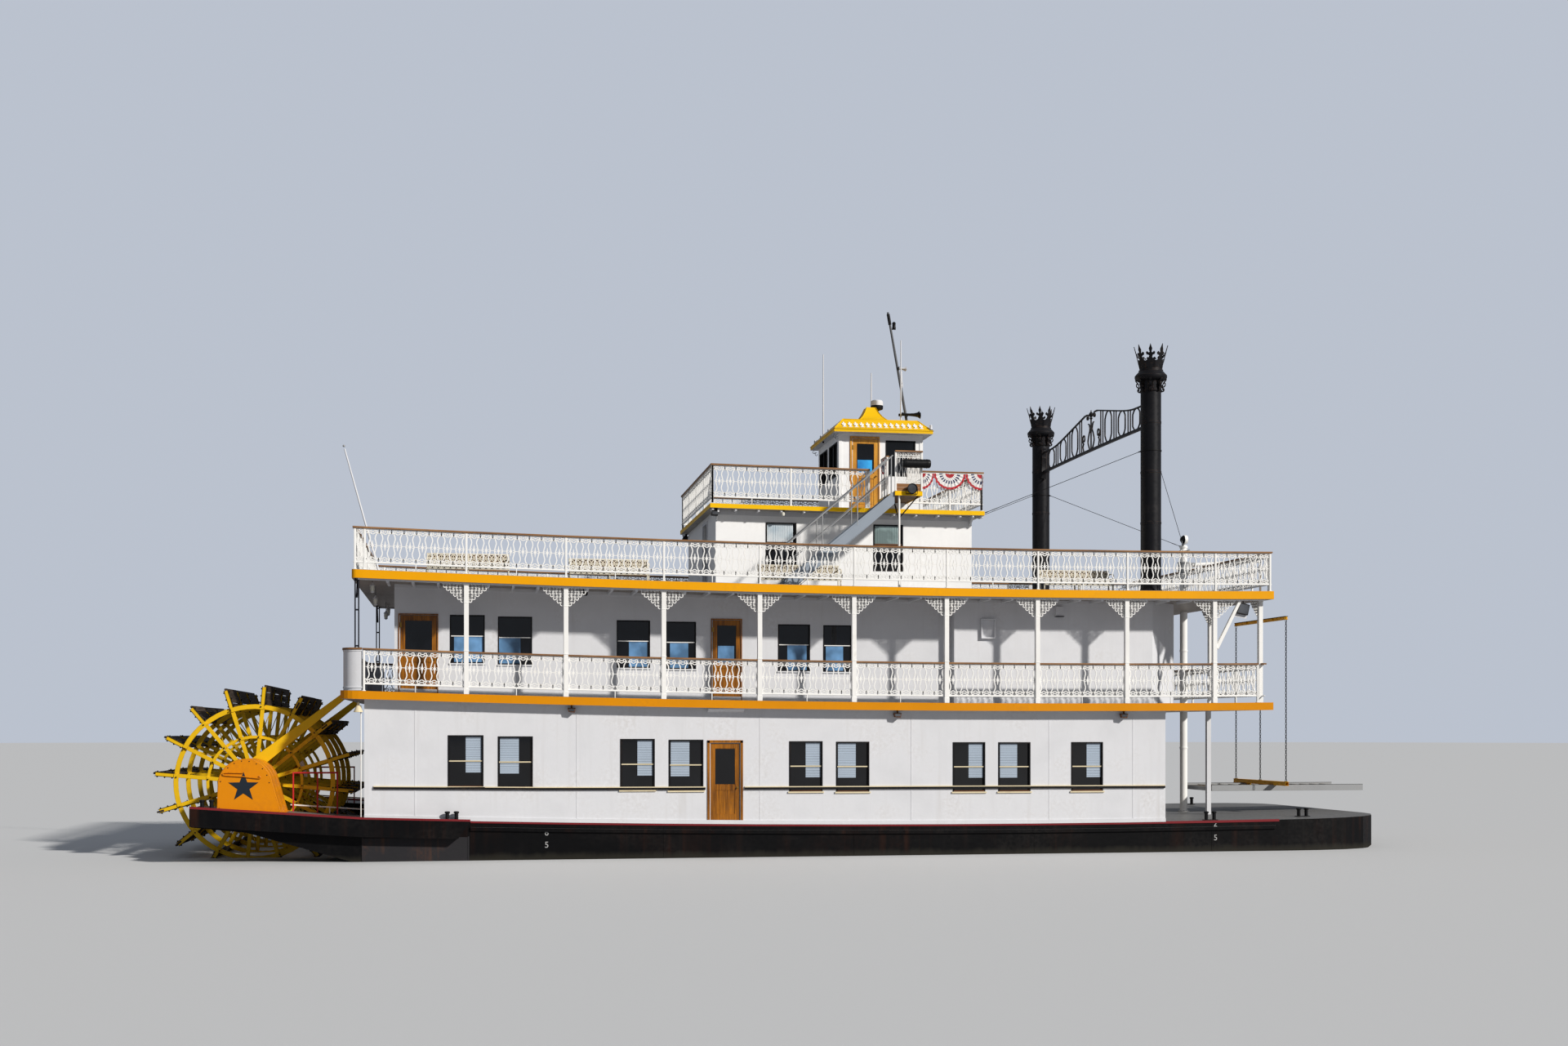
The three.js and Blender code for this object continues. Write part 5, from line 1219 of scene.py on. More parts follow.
def buildWheel():
    chance = random.Random(wheel["seed"])
    pitch = 2 * math.pi / wheel["arms"]
    angles = [math.radians(wheel["first"]) + i * pitch for i in range(wheel["arms"])]
    body, planks, bolts, clamps = Shape(), Shape(), [], []
    for y in wheel["frames"]:
        t = wheel["armThick"] / 2
        for i, a in enumerate(angles):
            wheelBar(body, 0.16, wheel["floatOut"] - 0.06, a, -wheel["armWide"] / 2, wheel["armWide"] / 2,
                     y - t, y + t)
            # Felloes overlap by turns on the two faces of the arms
            for radius, deep, lap in ((wheel["rim"], wheel["rimDeep"], 0.030),
                    (wheel["ring"], wheel["ringDeep"], 0.026)):
                off = lap if i % 2 else -lap
                cuts = span(a - 0.035 / radius, a + pitch + 0.035 / radius, 4)
                points = []
                for b in cuts:
                    points += [wheelPoint(radius - deep, b, y + off - 0.016),
                               wheelPoint(radius, b, y + off - 0.016),
                               wheelPoint(radius, b, y + off + 0.016),
                               wheelPoint(radius - deep, b, y + off + 0.016)]
                faces = [(0, 1, 2, 3), (16, 19, 18, 17)]
                for k in range(4):
                    faces += [(4 * k + j, 4 * k + 4 + j, 4 * k + 4 + (j + 1) % 4, 4 * k + (j + 1) % 4)
                              for j in range(4)]
                body.put(points, faces)
                for s in (-1, 1):
                    bolts.append((*wheelPoint(radius - deep / 2, a + 0.022, y + s * (t + 0.022)), 0, 0,
                                  0 if s > 0 else math.pi))
        for s in (-1, 1):
            body.lathe([(0.15, s * 0.032), (wheel["hub"], s * 0.032), (wheel["hub"], s * 0.052),
                        (0.20, s * 0.056), (0.20, s * 0.13), (0.145, s * 0.13)],
                       (wheel["x"], y, wheel["z"]), "y", 32)
            for k in range(16):
                bolts.append((*wheelPoint(0.35, angles[0] + (k + 0.5) * pitch, y + s * 0.060), 0, 0,
                              0 if s > 0 else math.pi))
    # Tie rods crossing between the frames
    for i, a in enumerate(angles):
        for y0, y1 in zip(wheel["frames"], wheel["frames"][1:]):
            r0, r1 = (1.86, 1.15) if i % 2 else (1.15, 1.86)
            body.tube([wheelPoint(r0, a, y0 + 0.03), wheelPoint(r1, a, y1 - 0.03)], 0.013, 6)
    for i, a in enumerate(angles):
        for row in range(3):
            r0 = wheel["floatIn"] + row * (wheel["plank"] + 0.008)
            lean = (0.018, -0.006, 0.010)[row] * (1 if i % 2 else -1)
            cutsY = sorted([-wheel["half"] + chance.uniform(0, 0.10),
                            wheel["half"] - chance.uniform(0, 0.10),
                            chance.choice((-1.033, 1.033)) + chance.uniform(-0.02, 0.02)])
            for y0, y1 in zip(cutsY, cutsY[1:]):
                skew = chance.uniform(-0.006, 0.006)
                wheelBar(planks, r0 + skew, r0 + wheel["plank"] + skew, a, lean - wheel["plankThick"] / 2,
                         lean + wheel["plankThick"] / 2, y0 + 0.003, y1 - 0.003)
        for y in wheel["frames"]:
            # Clamp plate over the planks at each arm
            for s in (-1, 1):
                wheelBar(planks, 1.96, 2.44, a, s * 0.046, s * 0.058, y - 0.05, y + 0.05, 1)
                for r in (2.02, 2.20, 2.38):
                    clamps.append((*wheelPoint(r, a, y, s * 0.058), 0, -a + (0 if s > 0 else math.pi), 0))
    body.made("wheelFrames", ["wheelYellow"], "wheel_yellow", "wheel", ["paddle_wheel"], bevel=0.005)
    planks.made("wheelFloats", ["floatWood", "ironBlack"], "wheel_yellow", "wheel", ["paddle_wheel"],
                bevel=0.005)
    nut = Shape()
    nut.lathe([(0, -0.004), (0.020, -0.004), (0.020, 0.014), (0.010, 0.015), (0.010, 0.026), (0, 0.026)],
              (0, 0, 0), "y", 6)
    repeated("wheelBolts", nut, bolts, "ironBlack", "wheel", ["paddle_wheel"])
    clampNut = Shape()
    clampNut.lathe([(0, -0.004), (0.022, -0.004), (0.022, 0.016), (0.011, 0.017), (0.011, 0.030),
                    (0, 0.030)], (0, 0, 0), "z", 6)
    repeated("floatBolts", clampNut, clamps, "ironBlack", "wheel", ["paddle_wheel"])


buildWheel()
print("paddle wheel made")

# Hull fittings
hull = {"half": 5.10, "guardHalf": 5.40, "hornX": -6.53, "hornTop": 2.56, "transomX": -2.50,
        "guardFront": 0.10}


def hornTop(x):
    if x > hull["transomX"]:
        return deckZ["main"] + rise(x)
    share = (x - hull["hornX"]) / (hull["transomX"] - hull["hornX"])
    return hull["hornTop"] + share * (deckZ["main"] + rise(hull["transomX"]) - hull["hornTop"])


def drawnOn(name, text, size, x, y, z, out, depth=0.004):
    # Plain figures, as on any draught mark
    font = bpy.data.curves.new(name, "FONT")
    font.body = text
    font.size = size
    font.extrude = depth
    font.align_x, font.align_y = "CENTER", "CENTER"
    holder = bpy.data.objects.new(name, font)
    scene.collection.objects.link(holder)
    mesh = bpy.data.meshes.new_from_object(holder.evaluated_get(bpy.context.evaluated_depsgraph_get()))
    bpy.data.objects.remove(holder)
    turn = Matrix.Rotation(math.radians(90), 4, "X") if out < 0 else Matrix.Rotation(math.pi, 4,
            "Z") @ Matrix.Rotation(math.radians(90), 4, "X")
    mesh.transform(Matrix.Translation((x + shiftX, y, z)) @ turn)
    return mesh


fittings = {
    "bitts": ((-6.15, 5.22), (-0.35, 5.24), (22.6, 4.0), (19.6, 4.75)),
    "plateSeams": (4.9, 9.8, 14.6, 19.5),
    "floodlights": (2.58, 10.9, 17.0), "lamp": (-2.60, 5.16, 4.965), "pipeRailY": 3.46, "pipeRailUp": 0.16,
    "figures": (("6", 1.89), ("5", 1.585)), "figureX": (1.97, 19.6), "figureTall": 0.215,
}


def buildHullFittings():
    for name, out in sideNames:
        kit = Shape()
        finishes = ["stripeRed", "hullGrey", "ironBlack", "railWhite", "creamPaint", "hullBlack",
                    "sillWood", "lampGlass", "lensDark"]
        red, plate, iron, pipe, shade, tar, brown, glow, lens = range(len(finishes))
        inner, outer = sorted((out * 5.325, out * 5.398))
        for a, b in zip(span(hull["hornX"], hull["transomX"], 4),
                        span(hull["hornX"], hull["transomX"], 4)[1:]):
            points = [(x, y, hornTop(x) + z) for x in (a, b) for y,
                      z in ((inner, 0.0), (outer, 0.0), (outer, 0.055), (inner, 0.055))]
            kit.put(points,
                    [(0, 1, 2, 3), (4, 7, 6, 5)]
                    + [(k, 4 + k, 4 + (k + 1) % 4, (k + 1) % 4) for k in range(4)], red)
        kit.run(hull["transomX"], hull["guardFront"], inner, outer, deckZ["main"], deckZ["main"] + 0.050,
                red)
        kit.run(hull["guardFront"], 21.4, *sorted((out * 5.06, out * 5.118)), deckZ["main"] - 0.05,
                deckZ["main"] + 0.012, red)
        y0, y1 = sorted((out * 5.099, out * 5.110))
        kit.box(-2.49, 0.045, y0, y1, 1.10, 1.80, plate)
        for x in (-2.50, 0.05):
            kit.box(x - 0.02, x + 0.02, *sorted((out * 5.099, out * 5.118)), 1.10, 1.82, plate)
        # Plate seams and rubbing strakes along the side
        for x in fittings["plateSeams"]:
            kit.box(x - 0.012, x + 0.012, *sorted((out * 5.098, out * 5.106)), 0.6, 2.0 + rise(x), tar)
        kit.run(0.10, 21.3, *sorted((out * 5.095, out * 5.150)), deckZ["main"] - 0.24, deckZ["main"] - 0.15,
                tar)
        # Bitts: two posts with caps on a foot plate
        for x, across in fittings["bitts"]:
            top, y = hornTop(x), out * across
            kit.box(x - 0.20, x + 0.20, y - 0.07, y + 0.07, top, top + 0.02, iron)
            for s in (-0.11, 0.11):
                kit.lathe([(0, 0), (0.048, 0), (0.048, 0.17), (0.066, 0.18), (0.066, 0.215), (0.04, 0.225),
                           (0, 0.225)], (x + s, y, top + 0.015), "z", 16, iron)
        # Low pipe rail along the inner edge of the horn
        y, railUp = out * fittings["pipeRailY"], fittings["pipeRailUp"]
        kit.tube([(x, y, hornTop(x) + railUp) for x in (-4.36, -3.6, -2.56)], 0.020, 8, mark=pipe)
        for x in (-4.3, -3.4, -2.62):
            kit.tube([(x, y, hornTop(x)), (x, y, hornTop(x) + railUp)], 0.016, 8, mark=pipe)
        # Lamp with a conical shade at the after corner, and its pipe
        x, across, z = fittings["lamp"]
        y = out * across
        kit.lathe([(0, 0.16), (0.028, 0.16), (0.030, 0.10), (0.045, 0.085), (0.115, -0.075),
                   (0.108, -0.080), (0.040, 0.070), (0, 0.075)], (x, y, z), "z", 20, shade)
        kit.lathe([(0, -0.065), (0.030, -0.055), (0.042, -0.02), (0.030, 0.03), (0, 0.06)], (x, y, z), "z",
                  14, glow)
        kit.tube([(x, out * 5.10, z + 0.16), (x, y, z + 0.16)], 0.016, 8, mark=shade)
        kit.tube([(-2.54, out * 5.10, hornTop(-2.54)), (-2.54, out * 5.10, 5.05)], 0.015, 8, mark=pipe)
        # Floodlights under the deck edge
        for x in fittings["floodlights"]:
            top = deckZ["promenade"] - deckDepth["promenade"] + rise(x)
            kit.box(x - 0.02, x + 0.02, *sorted((out * 5.20, out * 5.24)), top - 0.07, top, brown)
            kit.prism([(x - 0.10, top - 0.07), (x + 0.10, top - 0.07), (x + 0.075, top - 0.19),
                       (x - 0.075, top - 0.17)], "y", *sorted((out * 5.15, out * 5.28)), brown)
            kit.box(x - 0.07, x + 0.07, *sorted((out * 5.28, out * 5.285)), top - 0.155, top - 0.09, lens)
        kit.made(f"hullFittings{name.capitalize()}", finishes, "hull_black", bevel=0.004)
        marks = []
        for x in fittings["figureX"]:
            for text, z in fittings["figures"]:
                marks.append(drawnOn("mark", text, fittings["figureTall"], x, out * 5.103, z, out))
        whole = bmesh.new()
        for mesh in marks:
            whole.from_mesh(mesh)
            bpy.data.meshes.remove(mesh)
        bmesh.ops.remove_doubles(whole, verts=whole.verts, dist=1e-5)
        mesh = bpy.data.meshes.new(f"draughtFigures{name.capitalize()}")
        whole.to_mesh(mesh)
        whole.free()
        mesh.materials.append(material["figureWhite"])
        settle(mesh.name, mesh)


def buildCovers():
    for name, out in sideNames:
        base, arc = [(-5.9, hornTop(-5.9) + 0.001), (-4.42, hornTop(-4.42) + 0.001)], []
        for a in span(0.15, math.pi - 0.10, 28):
            arc.append((wheel["x"] + 0.62 * math.cos(a), wheel["z"] + 0.62 * math.sin(a)))
        outline = base + arc
        shell = Shape()
        shell.prism(outline, "y", *sorted((out * 3.47, out * 5.285)))
        # Foot flange, rolled front lip, seams across the top
        shell.prism([(-5.94, hornTop(-5.94) + 0.001), (-4.38, hornTop(-4.38) + 0.001),
                     (-4.38, hornTop(-4.38) + 0.022), (-5.94, hornTop(-5.94) + 0.022)],
                    "y", *sorted((out * 3.45, out * 5.315)))
        lip = [(x, out * 5.270, z) for x, z in [outline[1]] + arc + [outline[0]]]
        shell.tube(lip, 0.017, 8)
        for y in (3.9, 4.6):
            shell.flat([(x, out * y, z) for x, z in [outline[1]] + arc + [outline[0]]], 0.012, 0.06,
                       normal=(0, 1, 0))
        shell.made(f"bearingCover{name.capitalize()}", ["coverOrange"], "cover_orange",
                   replaces=[f"bearing_cover_{name}"], bevel=0.012, segments=2)
        marks = Shape()
        star = []
        for k in range(10):
            r, a = (0.37, 0.148)[k % 2], math.pi / 2 + k * math.pi / 5
            star.append((-5.29 + r * math.cos(a), 3.07 + r * math.sin(a)))
        marks.prism(star, "y", *sorted((out * 5.284, out * 5.293)))
        handle = [(-5.30, 3.415), (-5.70, 3.420), (-5.765, 3.39), (-5.70, 3.355), (-5.30, 3.325),
                  (-4.95, 3.285), (-4.885, 3.30), (-4.93, 3.345)]
        marks.tube(flowing([(x, out * 5.315, z) for x, z in handle], 4), 0.011, 8, mark=1)
        for x, z in ((-5.62, 3.352), (-5.02, 3.29)):
            marks.tube([(x, out * 5.28, z), (x, out * 5.315, z)], 0.010, 8, mark=1)
        marks.made(f"coverStar{name.capitalize()}", ["starDark", "coverOrange"], "cover_orange",
                   replaces=[f"bearing_cover_{name}"])
        nut = Shape()
        nut.lathe([(0, -0.004), (0.014, -0.004), (0.014, 0.008), (0.006, 0.012), (0, 0.012)], (0, 0, 0),
                  "y", 6)
        places = []
        for x, z in ([outline[1]] + arc[::3] + [outline[0]]):
            inX, inZ = wheel["x"] + (x - wheel["x"]) * 0.93, z - 0.035 if z > wheel["z"] else z + 0.05
            places.append((inX, out * 5.285, inZ, 0, 0, 0 if out > 0 else math.pi, 1, 1, 1))
        repeated(f"coverBolts{name.capitalize()}", nut, places, "ironBlack",
                 replaces=[f"bearing_cover_{name}"])


buildHullFittings()
buildCovers()
print("hull fittings and bearing covers made")

# Stacks: pipe, brim, scroll brackets under it and a crown of eight points
stack = {
    "x": 17.95, "y": 4.70, "radius": 0.27, "brimLow": 13.74, "brim": 0.425, "crownLow": 14.06, "points": 8,
    "seams": (9.95, 11.30, 12.62),
    "eyes": (12.35, 9.30),
}
# Half outline of one crown point, as (along the band, above the band)
crownPoint = [(0, 0.435), (0.016, 0.36), (0.036, 0.295), (0.020, 0.215), (0.034, 0.195), (0.072, 0.235),
              (0.100, 0.205),
              (0.088, 0.150), (0.050, 0.140), (0.030, 0.115), (0.046, 0.065), (0.078, 0.020), (0.123, 0.0),
              (0.123, -0.17)]
leafHalf = [(0, 0.0), (0.035, 0.03), (0.052, 0.09), (0.040, 0.13), (0.060, 0.17), (0.044, 0.215),
            (0.020, 0.235), (0, 0.27)]


def wrapped(shape, at, outline, low, angle, radiusAt, thick, mark=0):
    # A flat outline bent round the stack's axis
    whole = outline + [(-s, h) for s, h in reversed(outline) if s > 1e-6]
    n, points = len(whole), []
    for off in (-thick / 2, thick / 2):
        for s, h in whole:
            r = radiusAt(h) + off
            points.append((at[0] + r * math.cos(angle + s / 0.31), at[1] + r * math.sin(angle + s / 0.31),
                           low + h))
    faces = [list(range(n)), list(range(2 * n - 1, n - 1, -1))] + [(i, n + i, n + (i + 1) % n, (i + 1) % n)
                    for i in range(n)]
    shape.put(points, faces, mark)


def buildStack(name, out):
    base = deckZ["hurricane"] + rise(stack["x"])
    at = (stack["x"], out * stack["y"], 0)
    r, brim, low, crown = stack["radius"], stack["brim"], stack["brimLow"], stack["crownLow"]
    pipe = Shape()
    profile = [(0, base), (0.338, base), (0.338, base + 0.028), (0.30, base + 0.035), (0.285, base + 0.075),
               (r, base + 0.085)]
    for z in stack["seams"]:
        profile += [(r, z - 0.030), (r + 0.007, z - 0.028), (r + 0.007, z + 0.028), (r, z + 0.030)]
    profile += [(r, 13.43), (0.295, 13.44), (0.300, 13.475), (0.278, 13.49), (0.274, 13.66),
                (0.300, low - 0.03), (0.36, low), (brim - 0.012, low + 0.045),
                (brim, low + 0.075), (brim, low + 0.125), (brim - 0.02, low + 0.150), (0.345, low + 0.215),
                (0.322, low + 0.240), (0.322, low + 0.275),
                (0.300, low + 0.290), (0.298, crown), (0.318, crown + 0.10), (0.304, crown + 0.10),
                (0.285, crown), (0.25, low + 0.22),
                (0.245, 13.2), (0, 13.2)]
    pipe.lathe(profile, at, "z", 48)
    crownRadius = lambda h: 0.312 + (h + 0.17) * 0.16 + max(0, h - 0.12) * 0.10
    for i in range(stack["points"]):
        a = 2 * math.pi * (i + 0.5) / stack["points"]
        wrapped(pipe, at, crownPoint, crown + 0.17, a, crownRadius, 0.020)
        half = a + math.pi / stack["points"]
        h, size = 0.035, 0.020
        c = (at[0] + crownRadius(h) * math.cos(half), at[1] + crownRadius(h) * math.sin(half),
             crown + 0.17 + h)
        pipe.lathe([(0, -size), (size * 0.7, -size * 0.7), (size, 0), (size * 0.7, size * 0.7), (0, size)],
                   c, "z", 8)
        # Scroll bracket below the brim, and a leaf between two of them
        aside = (-math.sin(a), math.cos(a), 0)
        line = [(0.272, 13.44), (0.330, 13.455), (0.345, 13.50), (0.315, 13.53), (0.300, 13.50)]
        crook = [(0.285, 13.56), (0.335, 13.565), (0.375, 13.61), (0.368, 13.665), (0.335, 13.665)]
        strut = [(0.330, 13.46), (0.305, 13.56), (0.325, 13.66), (0.385, 13.73), (0.402, 13.775)]
        for part in (line, crook, strut):
            points = [(at[0] + q * math.cos(a), at[1] + q * math.sin(a), z) for q, z in part]
            pipe.flat(flowing(points, 3), 0.026, 0.055, normal=aside)
        wrapped(pipe, at, leafHalf, 13.46, half, lambda h: 0.278 + 0.35 * max(0, h - 0.12) ** 1.4, 0.012)
    for z in stack["eyes"]:
        pipe.box(at[0] - 0.022, at[0] + 0.022, at[1] - out * 0.34 - 0.04, at[1] - out * 0.26 + 0.04,
                 z - 0.014, z + 0.014)
    pipe.made(f"stack{name.capitalize()}", ["stackBlack"], "stack_black", replaces=[f"stack_{name}"],
              bevel=0)
    nut = Shape()
    nut.lathe([(0, -0.004), (0.017, -0.004), (0.017, 0.014), (0.008, 0.020), (0, 0.020)], (0, 0, 0), "z", 6)
    ring = [(at[0] + 0.313 * math.cos(a), at[1] + 0.313 * math.sin(a), base + 0.030) for a in span(0,
            2 * math.pi, 12)[:-1]]
    repeated(f"stackBolts{name.capitalize()}", nut, ring, "ironBlack",
             replaces=[f"stack_{name}"])


for name, out in sideNames:
    buildStack(name, out)

# Arch between the stacks: two chords, ovals with pairs of bars between them, scrolls in the middle
arch = {"half": 4.43, "x": 17.95, "deep": 0.05, "ovals": (3.63, 2.52, 1.44), "ovalHalf": 0.27,
        "bars": (4.14, 3.19, 3.01, 2.08, 1.90, 1.00, 0.82), "finial": 13.79}


def archLow(y):
    return 12.62 - 0.03 * (y / arch["half"]) ** 2


def archHigh(y):
    return min(13.68, 13.19 + 0.045 * math.log(1 + math.exp((3.25 - abs(y)) / 0.25)))


def buildArch():
    work, x = Shape(), arch["x"]
    side = (1, 0, 0)
    cuts = span(-arch["half"], arch["half"], 60)
    work.flat([(x, y, archLow(y)) for y in cuts], 0.070, arch["deep"], normal=side)
    work.flat([(x, y, archLow(y) - 0.040) for y in cuts], 0.014, arch["deep"] + 0.030, normal=side)
    for s in (-1, 1):
        line = [(x, s * y, archHigh(y)) for y in span(0.30, arch["half"], 34)]
        work.flat(line, 0.042, arch["deep"], normal=side)
        curl = [(x, s * (0.30 - 0.085 * math.sin(a) * (1 - a / 9.5)),
                 archHigh(0.30) - 0.085 + 0.085 * math.cos(a) * (1 - a / 9.5)) for a in span(0, 7.2, 22)]
        work.flat(curl, 0.026, arch["deep"] * 0.9, normal=side)
        for y in arch["ovals"]:
            low, high = archLow(y) + 0.02, archHigh(y) - 0.01
            mid, tall, wide = (low + high) / 2, (high - low) / 2, arch["ovalHalf"]
            ring = []
            for a in span(0, 2 * math.pi, 24)[:-1]:
                c, d = math.cos(a), math.sin(a)
                flat = (abs(c) ** 4 + abs(d) ** 4) ** -0.25 if abs(d) < 0.7 else (abs(c) ** 2.6
                        + abs(d) ** 2.6) ** (-1 / 2.6)
                ring.append((x, s * (y + wide * c * flat), mid + tall * d * flat))
            work.flat(ring, 0.024, arch["deep"] * 0.8, normal=side, closed=True)
        for y in arch["bars"]:
            work.flat([(x, s * y, archLow(y)), (x, s * y, archHigh(y))], 0.019, arch["deep"] * 0.7,
                      normal=side)
        # Lyre in the middle and scroll plates at the stack
        lyre = [(0.10, archLow(0.1)), (0.26, 12.86), (0.20, 13.05), (0.10, 13.22), (0.16, 13.38),
                (0.24, 13.40)]
        work.flat(flowing([(x, s * y, z) for y, z in lyre], 4), 0.028, arch["deep"] * 0.8, normal=side)
        heart = [(x, s * (0.62 + 0.10 * math.cos(a) * (1 - a / 12)),
                  13.02 + 0.13 * math.sin(a) * (1 - a / 12)) for a in span(-1.5, 6.0, 20)]
        work.flat(heart, 0.024, arch["deep"] * 0.8, normal=side)
        work.flat(flowing([(x, s * 0.62, archLow(0.62)), (x, s * 0.70, 12.80), (x, s * 0.63, 12.90)], 3),
                  0.024, arch["deep"] * 0.8, normal=side)
        plate = [(4.43, 12.36), (4.40, 12.38), (4.385, 12.50), (4.36, 12.56), (4.385, 12.62), (4.37, 12.90),
                 (4.33, 13.02), (4.38, 13.10), (4.36, 13.26), (4.43, 13.34)]
        work.prism([(s * y, z) for y, z in plate], "x", x - 0.075, x + 0.075)
    work.flat([(x, 0, archLow(0)), (x, 0, arch["finial"] - 0.14)], 0.034, arch["deep"] * 0.8, normal=side)
    work.lathe([(0, -0.16), (0.026, -0.15), (0.050, -0.11), (0.022, -0.085), (0.062, -0.045),
                (0.072, -0.005), (0.050, 0.04), (0.018, 0.07),
                (0.012, 0.11), (0, 0.135)], (x, 0, arch["finial"] - 0.135), "z", 16)
    work.made("stackArch", ["stackBlack"], "stack_black", replaces=["stack_arch"], bevel=0.004)


buildArch()
print("stacks and arch made")

# Pilot roof: concave hip with an eave band, fleurs on its lower slope and the fittings on top
roof = {"x": 11.35, "halfX": 1.40, "halfY": 1.75, "z": 12.65}
roofRings = [(1.0, 0.0), (1.0, 0.10), (0.985, 0.112), (0.93, 0.180), (0.84, 0.305), (0.785, 0.392),
             (0.757, 0.420), (0.62, 0.452),
             (0.45, 0.485), (0.29, 0.555), (0.205, 0.680), (0.145, 0.810), (0.110, 0.920), (0.095, 0.98)]
fleurHalf = [(0, 0.215), (0.024, 0.165), (0.013, 0.120), (0.042, 0.150), (0.054, 0.110), (0.038, 0.070),
             (0.015, 0.062),
             (0.017, 0.036), (0.036, 0.0)]


def buildRoof():
    cover = Shape()
    points = []
    for share, z in roofRings:
        points += [(roof["x"] + u * roof["halfX"] * share, v * roof["halfY"] * share, roof["z"] + z) for u,
                   v in ((-1, -1), (1, -1), (1, 1), (-1, 1))]
    faces = [(3, 2, 1, 0)] + [[4 * len(roofRings) - 4 + k for k in range(4)]]
    for i in range(len(roofRings) - 1):
        faces += [(4 * i + k, 4 * i + (k + 1) % 4, 4 * i + 4 + (k + 1) % 4, 4 * i + 4 + k)
                  for k in range(4)]
    cover.put(points, faces)
    cover.marks[0] = 1
    # Hip ridges and the batten that the fleurs stand on
    for u, v in ((-1, -1), (1, -1), (1, 1), (-1, 1)):
        hip = [(roof["x"] + u * (roof["halfX"] * s - 0.006), v * (roof["halfY"] * s - 0.006),
                roof["z"] + z + 0.004) for s, z in roofRings[2:]]
        cover.tube(hip, 0.016, 8)
    ring = [(roof["x"] + u * roof["halfX"] * 0.760, v * roof["halfY"] * 0.760, roof["z"] + 0.420) for u,
            v in ((-1, -1), (1, -1), (1, 1), (-1, 1))]
    for a, b in zip(ring, ring[1:] + ring[:1]):
        cover.tube([a, b], 0.014, 8)
    for u in (-1, 1):
        cover.box(roof["x"] + u * roof["halfX"] - 0.014, roof["x"] + u * roof["halfX"] + 0.014,
                  -roof["halfY"] - 0.014, roof["halfY"] + 0.014, roof["z"] + 0.078, roof["z"] + 0.100)
        cover.box(roof["x"] - roof["halfX"] - 0.014, roof["x"] + roof["halfX"] + 0.014,
                  u * roof["halfY"] - 0.014, u * roof["halfY"] + 0.014, roof["z"] + 0.078,
                  roof["z"] + 0.100)
    cover.made("pilotRoof", ["roofYellow", "whitePaint"], "roof_yellow", replaces=["pilot_roof"],
               bevel=0.004)

    unit = Shape()
    whole = fleurHalf + [(-s, h) for s, h in reversed(fleurHalf) if s > 1e-6]
    unit.prism(whole, "y", -0.010, 0.010)
    unit.box(-0.048, 0.048, -0.008, 0.008, -0.004, 0.014)
    places = []
    for v in (-1, 1):
        lean = math.atan2(0.283, 0.21 * roof["halfY"])
        for t in span(-1, 1, 15)[1:-1]:
            places.append((roof["x"] + t * roof["halfX"] * 0.90, v * roof["halfY"] * 0.965,
                           roof["z"] + 0.150, v * (math.pi / 2 - lean), 0, 0, 1.1, 1, 1.3))
        leanX = math.atan2(0.283, 0.21 * roof["halfX"])
        for t in span(-1, 1, 19)[1:-1]:
            turn = Matrix.Rotation(v * (leanX - math.pi / 2), 3, "Y") @ Matrix.Rotation(math.pi / 2, 3, "Z")
            places.append((roof["x"] + v * roof["halfX"] * 0.965, t * roof["halfY"] * 0.90,
                           roof["z"] + 0.150, *turn.to_euler(), 1.1, 1, 1.3))
    repeated("roofFleurs", unit, places, "railWhite", replaces=["pilot_roof"])

    kit, z0 = Shape(), roof["z"]
    white, black, dark = range(3)
    # Radome on its stalk
    kit.lathe([(0, 13.30), (0.07, 13.30), (0.05, 13.36), (0.048, 13.56), (0.12, 13.585), (0.165, 13.60),
               (0.176, 13.63), (0.178, 13.70), (0.178, 13.705)],
              (11.55, 0, 0), "z", 32, black)
    kit.lathe([(0, 13.70), (0.175, 13.70), (0.176, 13.79), (0.168, 13.835), (0.145, 13.855), (0, 13.86)],
              (11.55, 0, 0), "z", 32, white)
    for x, y, foot, top in ((9.99, 0, 12.70, 15.12), (11.44, 0.24, 13.15, 14.69),
                            (12.06, -0.8, 12.98, 15.43)):
        kit.tube([(x, y, foot), (x, y, foot + 0.5), (x, y, top)], 0.024, 10, mark=white,
                 shrink=[1, 0.9, 0.6])
        kit.lathe([(0, foot - 0.10), (0.030, foot - 0.10), (0.030, foot + 0.06), (0.018, foot + 0.08),
                   (0, foot + 0.08)], (x, y, 0), "z", 12, black)
    # Twin trumpet horns on a bracket
    for y, x0, long in ((-0.71, 12.02, 0.62), (-0.89, 12.06, 0.50)):
        bell = [(0, 0), (0.040, 0), (0.044, 0.05), (0.024, 0.07), (0.022, long * 0.45),
                (0.032, long * 0.72), (0.052, long * 0.90), (0.090, long),
                (0.096, long + 0.004), (0.088, long - 0.004), (0.045, long * 0.90), (0.012, long * 0.80),
                (0, long * 0.80)]
        kit.lathe(bell, (x0, y, 13.34), "x", 20, black)
    kit.box(12.20, 12.24, -0.92, -0.68, 13.27, 13.30, black)
    kit.tube([(12.22, -0.8, 12.95), (12.22, -0.8, 13.28)], 0.018, 8, mark=black)
    kit.lathe([(0, 0), (0.10, 0), (0.10, 0.05), (0.06, 0.10), (0, 0.11)], (11.78, -0.85, 13.02), "z", 16,
              black)
